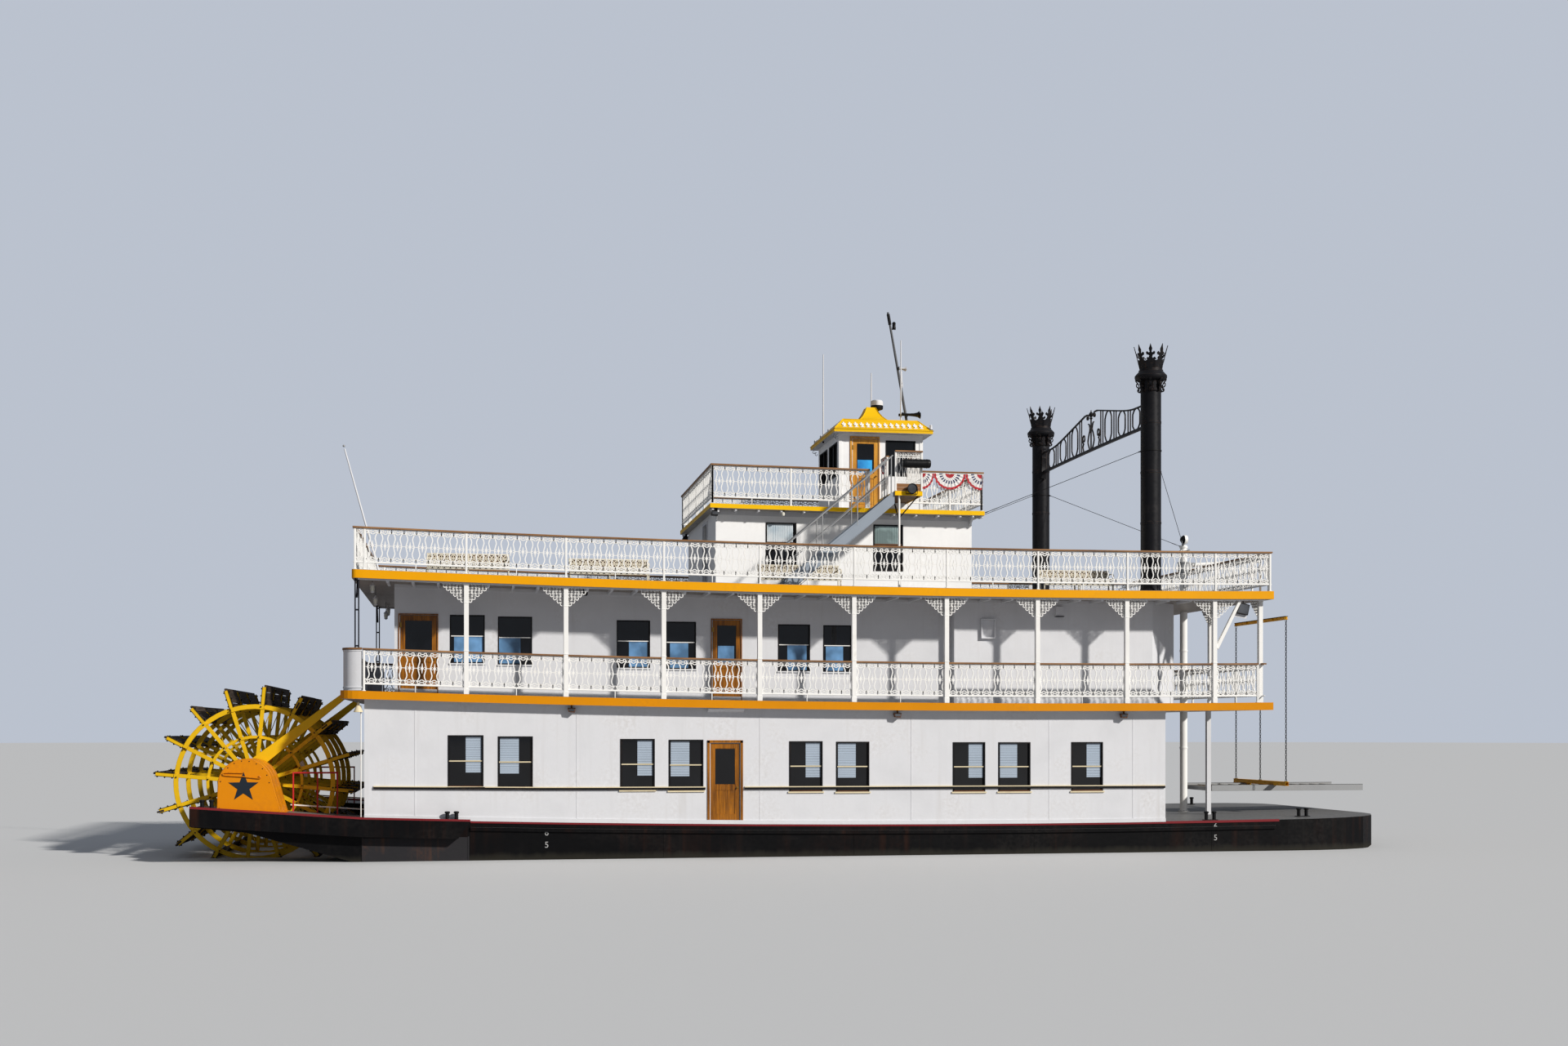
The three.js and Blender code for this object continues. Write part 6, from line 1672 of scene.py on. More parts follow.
    # Lamp boxes along the after eave, small navigation light forward
    for y in (-0.85, 0.25, 1.15):
        kit.box(9.955, 10.06, y - 0.075, y + 0.075, z0 + 0.10, z0 + 0.205, white)
        kit.box(9.952, 9.957, y - 0.055, y + 0.055, z0 + 0.115, z0 + 0.19, dark)
    kit.box(12.66, 12.74, -1.74, -1.66, z0 + 0.10, z0 + 0.13, black)
    kit.lathe([(0, 0), (0.040, 0), (0.042, 0.03), (0.036, 0.05), (0.036, 0.10), (0.044, 0.11), (0.02, 0.14),
               (0, 0.145)], (12.70, -1.70, z0 + 0.125), "z", 14, white)
    # Scrolls under the after corners
    for v in (-1, 1):
        for turn, centre in ((0, (10.02, 12.56)), (1, (10.09, 12.50))):
            line = [(centre[0] + 0.07 * math.cos(a) * (1 - a / 9), v * 1.50,
                     centre[1] + 0.07 * math.sin(a) * (1 - a / 9)) for a in span(1.4, 7.4, 16)]
            kit.flat(line, 0.014, 0.016, mark=dark)
    kit.made("pilotRoofFittings", ["whitePaint", "ironBlack", "greyPaint"], "roof_yellow",
             replaces=["pilot_roof"], bevel=0.003)


def buildRoofMast():
    mast, black, grey = Shape(), 1, 2       # what has no mark is white
    foot, head = Vector((12.5, 0, 12.87)), Vector((11.87, 0, 16.39))
    at = lambda t: foot + (head - foot) * t
    mast.tube([at(0), at(0.5), at(1)], 0.040, 16, mark=grey, shrink=[1, 0.92, 0.75])
    mast.tube([at(0.90), at(0.985)], 0.045, 12, mark=black)
    mast.flat([at(0.02), at(0.88)], 0.020, 0.02, normal=(0, 1, 0), mark=black)
    mast.lathe([(0, 0), (0.070, 0), (0.070, 0.03), (0.045, 0.10), (0, 0.12)], (12.5, 0, 12.86), "z", 16)
    # Mast light on a bracket, and a pair of loudspeakers on a crank
    mast.box(11.93, 12.10, -0.02, 0.02, 15.90, 15.925, black)
    mast.lathe([(0, 0), (0.052, 0), (0.056, 0.04), (0.048, 0.06), (0.048, 0.14), (0.056, 0.16),
                (0.03, 0.20), (0, 0.205)], (12.05, 0, 15.92), "z", 16, black)
    mast.tube(flowing([(12.26, 0, 14.20), (12.30, 0, 14.30), (12.28, 0, 14.45), (12.27, 0, 14.74)], 3),
              0.018, 8)
    mast.tube([(12.22, 0, 14.30), (12.30, 0, 14.32)], 0.022, 8)
    for y in (-0.05, 0.05):
        mast.lathe([(0, 0), (0.030, 0), (0.032, 0.05), (0.018, 0.07), (0.022, 0.15), (0.045, 0.20),
                    (0.062, 0.235), (0.056, 0.236), (0.02, 0.19), (0, 0.19)],
                   (12.165, y, 14.79), "x", 16)
        mast.box(12.155, 12.20, y - 0.03, y + 0.03, 14.76, 14.83, black)
    mast.made("roofMast", ["whitePaint", "ironBlack", "mastGrey"], replaces=["roof_mast"], bevel=0.002)


buildRoof()
buildRoofMast()
print("pilot roof and its mast made")

# Bands round the stacks, and the taut wires from them to the derrick mast and the sun deck
wires = {
    "thick": 0.0075, "band": 0.284, "low": 11.855, "high": 11.885,
    "fore": ((18.15, 4.50, 11.87), (20.755, 0.085, 9.85)),
    "aft": ((17.69, 4.64, 11.87), (13.755, 3.39, 10.295)),
}


def buildWires():
    rigging = Shape()
    edge, low, high = wires["band"], wires["low"], wires["high"]
    for _, out in sideNames:
        at = (stack["x"], out * stack["y"], 0)
        inner = stack["radius"] + 0.002
        rigging.lathe([(inner, low), (edge, low), (edge, high), (inner, high), (inner, low)], at, "z", 40)
        for start, end in (wires["fore"], wires["aft"]):
            a, b = (Vector((x, out * y, z)) for x, y, z in (start, end))
            rigging.tube([a, a + (b - a) * 0.5, b], wires["thick"], 8)
            way = (b - a).normalized()
            # Shackle and thimble at each end, turnbuckle low on the wire
            rigging.tube([a - way * 0.03, a + way * 0.07], 0.016, 8)
            rigging.tube([b - way * 0.08, b - way * 0.01], 0.013, 8)
            rigging.tube([b - way * 0.36, b - way * 0.20], 0.012, 8, mark=1)
    rigging.made("stackWires", ["ironBlack", "steel"], "stack_black",
                 replaces=["stack_stays_starboard", "stack_stays_port"])


buildWires()
print("wires made")

# Hurricane deck: one plate bent to the sheer, with benches along both sides
deck = {"aft": -2.75, "fore": 21.12, "half": 5.40, "radius": 0.12, "seat": 0.40, "back": 3.65,
        "front": 4.11, "top": 0.66, "apron": 0.17}
benchEnds = [(-0.99, 1.08), (2.59, 4.64), (7.51, 9.68), (15.19, 17.15)]


def deckPlate(x0, x1, half, top, thick, radius):
    shape, rows = Shape(), []
    turns = span(0, math.pi / 2, 5)
    ends = [(x0 + radius * (1 - math.sin(a)), half - radius * (1 - math.cos(a))) for a in reversed(turns)]
    mids = [(x, half) for x in stations(x0 + radius, x1) if x > x0 + radius + 0.01]
    for x, wide in ends + mids:
        rows.append([(x, s * wide, top + rise(x) - low) for s,
                     low in ((-1, thick), (1, thick), (1, 0), (-1, 0))])
    faces = [(0, 1, 2, 3), tuple(4 * len(rows) - k for k in (1, 2, 3, 4))]
    for i in range(len(rows) - 1):
        faces += [(4 * i + k, 4 * i + 4 + k, 4 * i + 4 + (k + 1) % 4, 4 * i + (k + 1) % 4)
                  for k in range(4)]
    shape.put([p for row in rows for p in row], faces)
    return shape


def scrollUnit(wide, high, bar, thick):
    # One loop of the bench lace: an upright ring with a tongue inside
    unit = Shape()
    ring = [(wide / 2 * 0.90 * math.cos(a), 0, high / 2 + (high / 2 - bar / 2) * math.sin(a))
            for a in span(0, 2 * math.pi, 14)[:-1]]
    unit.flat(ring, bar, thick, closed=True)
    for s in (-1, 1):
        curl = [(s * (wide * 0.20 + wide * 0.15 * math.cos(a) * (1 - a / 11)), 0,
                 high * 0.42 + wide * 0.15 * math.sin(a) * (1 - a / 11)) for a in span(-1.4, 4.6, 9)]
        unit.flat(curl, bar * 0.8, thick)
    unit.flat([(0, 0, high * 0.10), (0, 0, high * 0.90)], bar * 0.9, thick)
    return unit


def buildBenches():
    wood, loops, aprons = Shape(), [], []
    inner, outer, seat, top = deck["back"], deck["front"], deck["seat"], deck["top"]
    for _, out in sideNames:
        for x0, x1 in benchEnds:
            up = deckZ["hurricane"] + rise((x0 + x1) / 2)
            across = lambda a, b: sorted((out * a, out * b))
            for k in range(6):
                y = inner + 0.045 + k * 0.070
                wood.box(x0 + 0.01, x1 - 0.01, *across(y, y + 0.060), up + seat - 0.022, up + seat)
            for y in (inner + 0.02, outer - 0.05):
                wood.box(x0, x1, *across(y, y + 0.035), up + seat - 0.055, up + seat - 0.022)
            for x in (x0 + 0.022, (x0 + x1) / 2, x1 - 0.022):
                back = [(x, out * (inner + 0.10), up - 0.05), (x, out * (inner + 0.05), up + seat - 0.04),
                        (x, out * (inner + 0.020), up + top - 0.01)]
                wood.flat(flowing(back, 4), 0.034, 0.034, normal=(1, 0, 0))
                fore = [(x, out * (outer - 0.01), up - 0.05), (x, out * (outer - 0.055), up + 0.16),
                        (x, out * (outer - 0.02), up + seat - 0.02)]
                wood.flat(flowing(fore, 4), 0.034, 0.034, normal=(1, 0, 0))
                wood.box(x - 0.014, x + 0.014, *across(inner + 0.05, outer - 0.03), up + seat - 0.055,
                         up + seat - 0.022)
                if x != (x0 + x1) / 2:
                    arm = [(inner + 0.03, top - 0.13), (inner + 0.22, top - 0.11),
                           (outer - 0.06, top - 0.14), (outer - 0.02, top - 0.20),
                           (outer - 0.06, top - 0.24),
                           (outer - 0.10, seat - 0.02)]
                    wood.flat(flowing([(x, out * y, up + z) for y, z in arm], 4), 0.020, 0.040,
                              normal=(1, 0, 0))
            wood.box(x0, x1, *across(inner, inner + 0.040), up + top - 0.032, up + top)
            # Boards behind the lace, coloured dark as painted shade seen through the gaps
            wood.box(x0 + 0.02, x1 - 0.02, *across(inner + 0.004, inner + 0.014), up + seat + 0.06,
                     up + top - 0.035, 1)
            wood.box(x0 + 0.02, x1 - 0.02, *across(outer - 0.10, outer - 0.085), up + seat - 0.17,
                     up + seat - 0.03, 2)
            wood.box(x0, x1, *across(inner + 0.014, inner + 0.036), up + seat + 0.035, up + seat + 0.058)
            wood.box(x0, x1, *across(outer - 0.024, outer - 0.006), up + seat - 0.022 - deck["apron"]
                     + 0.012, up + seat - deck["apron"] + 0.006)
            count = round((x1 - x0) / 0.15)
            pitch = (x1 - x0) / count
            for i in range(count):
                x = x0 + (i + 0.5) * pitch
                loops.append((x, out * (inner + 0.026), up + seat + 0.055, 0, 0, 0, pitch / 0.15, 1, 1))
                aprons.append((x, out * (outer - 0.015), up + seat - deck["apron"] + 0.004, 0, 0, 0,
                               pitch / 0.15, 1, 1))
    node = ["hurricane_deck"]
    wood.made("benches", ["benchCream", "sillWood", "darkPost"], "deck_paint", replaces=node, bevel=0.004)
    repeated("benchBacks", scrollUnit(0.15, top - seat - 0.085, 0.022, 0.016), loops, "benchCream",
             replaces=node)
    repeated("benchAprons", scrollUnit(0.15, deck["apron"] - 0.024, 0.020, 0.016), aprons, "benchCream",
             replaces=node)


plate = deckPlate(deck["aft"], deck["fore"], deck["half"], deckZ["hurricane"], deckDepth["hurricane"],
                  deck["radius"])
plate.made("hurricaneDeck", ["fasciaYellow"], "deck_paint", replaces=["hurricane_deck"], bevel=0.006)
buildBenches()
print("hurricane deck and benches made")

# Stair to the sun deck, its pipe rails, and the landing at its head
stair = {"x0": 8.0, "x1": 10.8697, "y0": -5.05, "y1": -4.25, "treads": 12, "head": 10.61, "plate": 0.04}
landing = {"x0": 10.87, "x1": 11.60, "y0": -5.09, "y1": -3.40, "inner": -3.15, "low": 10.49, "floor": 10.61,
           "rail": 11.65}


def buildStair():
    foot = deckZ["hurricane"] + rise(stair["x0"])
    slope = (stair["head"] - foot) / (stair["x1"] - stair["x0"])
    at = lambda x: foot + (x - stair["x0"]) * slope
    x0, x1 = stair["x0"], stair["x1"]
    work = Shape()
    grey, tread, pipe = 0, 1, 1
    for y in (stair["y0"], stair["y1"] - stair["plate"]):
        outline = [(x0, foot + 0.002), (x0 + 0.31, foot + 0.002), (x1, at(x1) - 0.33), (x1, at(x1)),
                   (x0, foot + 0.12)]
        work.prism(outline, "y", y + 0.010, y + stair["plate"] - 0.010, grey)
        for low, high in ((0.0, -0.016), (-0.33, -0.314)):
            edge = [(x0 + 0.33, at(x0 + 0.33) + low), (x1, at(x1) + low), (x1, at(x1) + high),
                    (x0 + 0.33, at(x0 + 0.33) + high)]
            work.prism(edge, "y", y, y + stair["plate"], grey)
    for i in range(1, stair["treads"]):
        x = x0 + (x1 - x0) * i / stair["treads"]
        z = at(x) - 0.05
        work.box(x - 0.04, x + 0.21, stair["y0"] + 0.028, stair["y1"] - 0.028, z - 0.012, z, tread)
        work.box(x - 0.04, x - 0.030, stair["y0"] + 0.028, stair["y1"] - 0.028, z - 0.050, z, tread)
        work.box(x + 0.200, x + 0.21, stair["y0"] + 0.028, stair["y1"] - 0.028, z - 0.040, z, tread)
        for y in (stair["y0"] + 0.030, stair["y1"] - 0.036):
            work.box(x, x + 0.18, y, y + 0.006, z - 0.050, z - 0.010, tread)
    for y in (stair["y0"] + 0.020, stair["y1"] - 0.020):
        rail = [(x0 + 0.03, y, at(x0) + 0.86), (x0, y, at(x0) + 0.95), (x0 + 0.05, y, at(x0 + 0.05) + 1.0),
                (x0 + 0.6, y, at(x0 + 0.6) + 0.995),
                (x1 - 0.7, y, at(x1 - 0.7) + 0.965), (x1 - 0.04, y, at(x1 - 0.04) + 0.955)]
        work.tube(flowing(rail, 3), 0.019, 12, mark=pipe)
        work.tube([(x0 + 0.06, y, at(x0 + 0.06) + 0.50), (x1 - 0.09, y, at(x1 - 0.09) + 0.50)], 0.012, 10,
                  mark=pipe)
        for t in (0.02, 0.34, 0.66, 0.97):
            x = x0 + (x1 - x0) * t
            work.tube([(x, y, at(x) - 0.06), (x, y, at(x) + 0.975)], 0.016, 10, mark=pipe)
            work.box(x - 0.035, x + 0.035, y - 0.012, y + 0.012, at(x) - 0.07, at(x) + 0.015, grey)
    work.made("stairFrame", ["stringerGrey", "greyPaint"], "grey_paint", replaces=["stair"], bevel=0.003)


def buildLanding():
    work = Shape()
    white, wood, boards, yellow, vinyl, dark, glow, under = range(8)
    x0, x1, y0, low, floor, top = (landing[k] for k in ("x0", "x1", "y0", "low", "floor", "rail"))
    inner = landing["inner"]
    work.box(x0 + 0.02, x1 - 0.02, y0 + 0.02, inner, low + 0.02, floor - 0.022, under)
    work.box(x0, x1, y0, y0 + 0.022, low, floor, yellow)
    for x in (x0, x1 - 0.022):
        work.box(x, x + 0.022, y0 + 0.022, inner, low, floor, yellow)
    count = 13
    for i in range(count):
        a = y0 + 0.022 + (inner - y0 - 0.022) * i / count
        work.box(x0 + 0.022, x1 - 0.022, a + 0.003, a + (inner - y0 - 0.022) / count - 0.003, floor - 0.022,
                 floor, boards)
    work.box(x0 + 0.05, x1 - 0.05, -3.36, inner, deckZ["sun"] - 0.05 + rise(11.2), low + 0.03, white)
    # Brown boards under the outer lace, rail caps and posts
    for z in (floor + 0.004, floor + 0.098):
        work.box(x0 + 0.01, x1 - 0.01, y0 + 0.014, y0 + 0.030, z, z + 0.090, boards)
    for a, b, c, d in ((x0, x1, y0 - 0.03, y0 + 0.065), (x1 - 0.07, x1 + 0.012, y0, -3.50),
                       (x0 - 0.012, x0 + 0.07, -4.15, -3.50)):
        work.box(a, b, c, d, top - 0.036, top, wood)
    for x, y in ((x0 + 0.022, y0 + 0.022), (x1 - 0.022, y0 + 0.022), (x1 - 0.022, -3.52),
                 (x0 + 0.022, -4.13), (x0 + 0.022, -3.52)):
        work.box(x - 0.022, x + 0.022, y - 0.022, y + 0.022, floor - 0.01, top - 0.036, white)
        work.box(x - 0.030, x + 0.030, y - 0.030, y + 0.030, floor, floor + 0.016, white)
    # Pole below, with braces up to the floor
    base = deckZ["hurricane"] + rise(11.0)
    work.tube([(11.0, -5.0, base), (11.0, -5.0, low + 0.02)], 0.029, 16, mark=white)
    work.lathe([(0, 0), (0.075, 0), (0.075, 0.014), (0.035, 0.020), (0, 0.020)], (11.0, -5.0, base), "z",
               20, white)
    work.tube([(11.0, -4.98, low - 0.62), (11.0, -4.35, low + 0.01)], 0.020, 10, mark=dark)
    work.tube([(11.02, -5.0, low - 0.55), (11.50, -5.0, low + 0.01)], 0.016, 10, mark=dark)
    # Rolled cover on the outer face, tied in three places
    roll = [(0, 11.04), (0.085, 11.042), (0.108, 11.06), (0.115, 11.10)] + [(0.115 - 0.003 * (k % 2), x)
            for k, x in enumerate(span(11.16, 11.68, 9))]
    roll += [(0.115, 11.72), (0.108, 11.76), (0.085, 11.778), (0, 11.78)]
    work.lathe(roll, (0, y0 - 0.107, 11.305), "x", 28, vinyl)
    for x in (11.14, 11.41, 11.68):
        work.lathe([(0.1145, x - 0.015), (0.1185, x - 0.012), (0.1185, x + 0.012), (0.1145, x + 0.015)],
                   (0, y0 - 0.107, 11.305), "x", 28, dark)
        work.box(x - 0.012, x + 0.012, y0 - 0.02, y0 + 0.03, 11.36, 11.40, dark)
    # Round floodlight at the floor's edge
    at = (11.30, 0, 10.66)
    shell = [(0, y0 + 0.03), (0.055, y0 + 0.028), (0.085, y0 - 0.02), (0.128, y0 - 0.08),
             (0.135, y0 - 0.132), (0.135, y0 - 0.14), (0.118, y0 - 0.14),
             (0.116, y0 - 0.118), (0, y0 - 0.110)]
    work.lathe(shell, at, "y", 28, dark)
    work.lathe([(0, y0 - 0.122), (0.117, y0 - 0.120), (0.117, y0 - 0.112), (0, y0 - 0.110)], at, "y", 28,
               glow)
    work.flat([(11.15, y0 - 0.06, 10.66), (11.15, y0 - 0.03, 10.53), (11.45, y0 - 0.03, 10.53),
               (11.45, y0 - 0.06, 10.66)], 0.024, 0.008, mark=dark)
    finishes = ["railWhite", "railWood", "boardBrown", "fasciaSun", "vinylBlack", "ironBlack", "lensDark",
                "sillWood"]
    work.made("stairLanding", finishes, replaces=["stair_landing"], bevel=0.003)

    # Lace: tall bars in the middle, a band of small scrolls above and below
    band, bars = scrollUnit(0.12, 0.125, 0.012, 0.014), Shape()
    for s in (-1, 1):
        line = [(0.030, 0), (0.020, 0.08), (0.045, 0.17), (0.020, 0.26), (0.030, 0.34)]
        bars.flat(flowing([(s * x, 0, z) for x, z in line], 3), 0.014, 0.014)
    bands, rods = [], []
    runs = (("x", x0 + 0.04, x1 - 0.04, y0 + 0.022), ("y", y0 + 0.04, -3.54, x1 - 0.022),
            ("y", -4.11, -3.54, x0 + 0.022))
    frameBars = Shape()
    for axis, a, b, fixed in runs:
        count = round((b - a) / 0.125)
        for i in range(count):
            c = a + (b - a) * (i + 0.5) / count
            x, y, turn = (c, fixed, 0) if axis == "x" else (fixed, c, math.pi / 2)
            for z in (floor + 0.20, top - 0.175):
                bands.append((x, y, z, 0, 0, turn))
            rods.append((x, y, floor + 0.335, 0, 0, turn, 1, 1, 1.55))
        for z in (floor + 0.19, floor + 0.325, top - 0.185, top - 0.05):
            if axis == "x":
                frameBars.box(a, b, fixed - 0.008, fixed + 0.008, z, z + 0.014)
            else:
                frameBars.box(fixed - 0.008, fixed + 0.008, a, b, z, z + 0.014)
    frameBars.made("landingBars", ["railWhite"], replaces=["stair_landing"])
    repeated("landingBands", band, bands, "railWhite", replaces=["stair_landing"])
    repeated("landingRods", bars, rods, "railWhite", replaces=["stair_landing"])


buildStair()
buildLanding()
print("stair and landing made")


# After bulwark: white plating, wood cap and dark corner posts
def buildBulwark():
    work = Shape()
    aft, half, base = -2.975, 5.31, deckZ["promenade"] + rise(-2.75)

    def ring(x0, half, radius, turns=8):
        # Quadratic corners, as in the deck's own outline
        made = []
        for t in span(0, 1, turns):
            u, v = t * t, (1 - t) * (1 - t)
            made.append((x0 + radius * u, -half + radius * v))
        whole = [(-2.50, -half)] + list(reversed(made))
        return whole + [(x, -y) for x, y in reversed(whole)]

    def band(outer, inner, low, high, mark):
        n = len(outer)
        points = [(x, y, z) for row in (outer, inner) for z in (low, high) for x, y in row]
        faces = []
        for i in range(n - 1):
            faces += [(i, i + 1, n + i + 1, n + i), (2 * n + i, 3 * n + i, 3 * n + i + 1, 2 * n + i + 1),
                      (i, 2 * n + i, 2 * n + i + 1, i + 1), (n + i, n + i + 1, 3 * n + i + 1, 3 * n + i)]
        faces += [(0, n, 3 * n, 2 * n), (n - 1, 3 * n - 1, 4 * n - 1, 2 * n - 1)]
        work.put(points, faces, mark)

    band(ring(aft, half, 0.45), ring(-2.915, 5.25, 0.39), base + 0.002, base + railTop - 0.05, 0)
    band(ring(-3.0, 5.335, 0.47), ring(-2.89, 5.225, 0.37), base + railTop - 0.05, base + railTop, 1)
    band(ring(aft - 0.012, half + 0.012, 0.455), ring(aft, half, 0.45), base + 0.06, base + 0.10, 0)
    band(ring(aft - 0.010, half + 0.010, 0.455), ring(aft, half, 0.45), base + railTop - 0.09,
         base + railTop - 0.05, 0)
    for _, out in sideNames:
        top = deckZ["hurricane"] - deckDepth["hurricane"] + rise(-2.62)
        for x in (-2.667, -2.583):
            work.box(x - 0.016, x + 0.016, *sorted((out * 5.255, out * 5.318)), base + railTop - 0.01, top,
                     2)
        for z in (base + railTop + 0.02, base + railTop + 0.9, top - 0.06):
            work.box(-2.675, -2.575, *sorted((out * 5.262, out * 5.312)), z, z + 0.04, 2)
        brace = [(-2.63, out * 5.26, top - 0.46), (-2.63, out * 4.86, top - 0.005)]
        work.flat(brace, 0.045, 0.045, normal=(1, 0, 0), mark=2)
        work.box(-2.50 - 0.02, -2.50, *sorted((out * 5.25, out * 5.31)), base + 0.002,
                 base + railTop - 0.05, 0)
    work.made("aftBulwark", ["whitePaint", "railWood", "darkPost"], replaces=["aft_bulwark"], bevel=0.004)


buildBulwark()

# Lamps and small fittings under the decks
lanterns = [(-2.29, -4.6, 7.89, 8.15), (-2.29, -3.0, 7.63, 7.90), (-2.29, 3.0, 7.63, 7.90),
            (-2.29, 4.6, 7.89, 8.15)]


def lantern(shape, x, y, low, high, ceiling):
    # Pendant lantern: hook, cap, glass and foot
    tall = high - low
    shape.tube([(x, y, high - 0.01), (x, y, ceiling)], 0.006, 6, mark=1)
    shape.lathe([(0, tall), (0.012, tall), (0.016, tall * 0.92), (0.045, tall * 0.80), (0.070, tall * 0.70),
                 (0.070, tall * 0.66), (0, tall * 0.66)], (x, y, low), "z", 16, 0)
    shape.lathe([(0, tall * 0.66), (0.052, tall * 0.66), (0.058, tall * 0.45), (0.045, tall * 0.16),
                 (0, tall * 0.16)], (x, y, low), "z", 16, 2)
    shape.lathe([(0, tall * 0.16), (0.050, tall * 0.16), (0.046, tall * 0.08), (0.018, 0.01), (0, 0)],
                (x, y, low), "z", 16, 0)
    for k in range(4):
        a = math.pi / 4 + k * math.pi / 2
        shape.tube([(x + 0.056 * math.cos(a), y + 0.056 * math.sin(a), low + tall * 0.14),
                    (x + 0.062 * math.cos(a), y + 0.062 * math.sin(a), low + tall * 0.68)], 0.004, 6,
                    mark=1)


def buildLamps():
    kit = Shape()
    ceiling = deckZ["hurricane"] - deckDepth["hurricane"]
    for x, y, low, high in lanterns:
        roofZ = ceiling + rise(x)
        lantern(kit, x, y, min(low, roofZ - 0.30), min(high, roofZ - 0.03), roofZ)
    # Floodlight and a small pendant below the sun deck
    under = deckZ["sun"] - deckDepth["sun"]
    for out in (-1, 1):
        z = under + rise(6.45) - 0.02
        kit.box(6.42, 6.50, *sorted((out * 3.26, out * 3.30)), z - 0.08, z + 0.02, 1)
        kit.prism([(6.33, z - 0.17), (6.50, z - 0.19), (6.56, z - 0.06), (6.38, z - 0.04)], "y",
                  *sorted((out * 3.20, out * 3.37)), 1)
        kit.box(6.36, 6.53, *sorted((out * 3.37, out * 3.374)), z - 0.155, z - 0.075, 3)
        z = under + rise(8.26)
        kit.box(8.22, 8.30, *sorted((out * 3.24, out * 3.32)), z - 0.03, z, 1)
        kit.lathe([(0, 0), (0.035, 0.01), (0.048, 0.05), (0.048, 0.11), (0, 0.12)],
                  (8.26, out * 3.28, z - 0.15), "z", 14, 2)
        # Boxes and lamps under the hurricane deck
        z = ceiling + rise(2.97)
        kit.box(2.90, 3.04, *sorted((out * 4.44, out * 4.56)), z - 0.03, z, 1)
        kit.lathe([(0, 0), (0.045, 0.01), (0.060, 0.05), (0.060, 0.12), (0, 0.13)],
                  (2.97, out * 4.50, z - 0.16), "z", 14, 1)
        # Floodlight box at the foremost column
        z = ceiling + rise(20.3)
        kit.prism([(20.10, z - 0.36), (20.44, z - 0.42), (20.50, z - 0.14), (20.22, z - 0.08)], "y",
                  *sorted((out * 5.10, out * 5.27)), 1)
        kit.prism([(20.14, z - 0.345), (20.42, z - 0.395), (20.47, z - 0.16), (20.24, z - 0.11)], "y",
                  *sorted((out * 5.27, out * 5.276)), 3)
        kit.flat([(20.10, out * 5.19, z - 0.37), (20.44, out * 5.19, z - 0.43)], 0.16, 0.012, mark=0)
        kit.tube([(20.34, out * 5.19, z - 0.11), (20.34, out * 5.19, z)], 0.014, 8, mark=1)
        # Canopy over the main door
        up = deckZ["promenade"] - deckDepth["promenade"] + rise(6.45)
        kit.prism([(out * 5.10, up - 0.002), (out * 5.34, up - 0.002), (out * 5.34, up - 0.03),
                   (out * 5.10, up - 0.11)], "x", 6.00, 6.92, 0)
    kit.made("lampsAndBoxes", ["whitePaint", "ironBlack", "lampGlass", "lensDark"], bevel=0.003)
    # Searchlight on the derrick mast's head
    beam = Shape()
    beam.lathe([(0, -0.10), (0.05, -0.095), (0.105, -0.05), (0.128, 0.0), (0, 0.0)], (20.8, 0, 10.05), "x",
               24, 1)
    beam.lathe([(0, 0.0), (0.128, 0.0), (0.130, 0.08), (0.122, 0.095), (0.118, 0.085), (0, 0.080)],
               (20.8, 0, 10.05), "x", 24, 0)
    beam.lathe([(0, 0.080), (0.117, 0.080), (0.117, 0.088), (0, 0.095)], (20.8, 0, 10.05), "x", 24, 2)
    beam.flat([(20.8, -0.145, 10.05), (20.8, -0.14, 9.93), (20.8, 0, 9.905), (20.8, 0.14, 9.93),
               (20.8, 0.145, 10.05)], 0.030, 0.012, normal=(1, 0, 0), mark=0)
    beam.made("searchlight", ["railWhite", "ironBlack", "lampGlass"], bevel=0.002)


buildLamps()
print("bulwark, lamps and small fittings made")


# Ensign staff at the stern
def buildStaff():
    work = Shape()
    foot, head = Vector((-2.25, 0, 8.40)), Vector((-3.29, 0, 12.20))
    work.tube([foot + (head - foot) * t for t in (0, 0.5, 0.97)], 0.029, 14, shrink=[1, 0.88, 0.7])
    work.lathe([(0, -0.03), (0.020, -0.03), (0.034, -0.01), (0.034, 0.01), (0.020, 0.03), (0, 0.035)],
               head - Vector((-0.012, 0, 0.035)), "z", 14, 1)
    base = deckZ["hurricane"] + rise(-2.25)
    work.box(-2.33, -2.17, -0.08, 0.08, base + 0.002, base + 0.030, 1)
    work.prism([(-2.31, base + 0.03), (-2.19, base + 0.03), (-2.235, base + 0.35), (-2.325, base + 0.35)],
               "y", -0.045, 0.045, 1)
    work.box(-2.34, -2.20, -0.056, 0.056, base + 0.26, base + 0.30, 2)
    cleat = foot + (head - foot) * 0.28
    work.tube([cleat + Vector((0.03, -0.07, 0)), cleat + Vector((0.03, 0.07, 0))], 0.009, 8, mark=2)
    work.made("ensignStaff", ["whitePaint", "greyPaint", "ironBlack"], "grey_paint",
              replaces=["ensign_staff"], bevel=0.002)


buildStaff()

# Derrick gear: rope fall through a block, spreader, chains, and the landing stage they carry
gear = {"x": 23.20, "fallTop": 9.33, "block": (7.78, 8.04), "spreader": (7.62, 7.72), "half": 1.75,
        "chainFoot": 2.96, "pitch": 0.074}


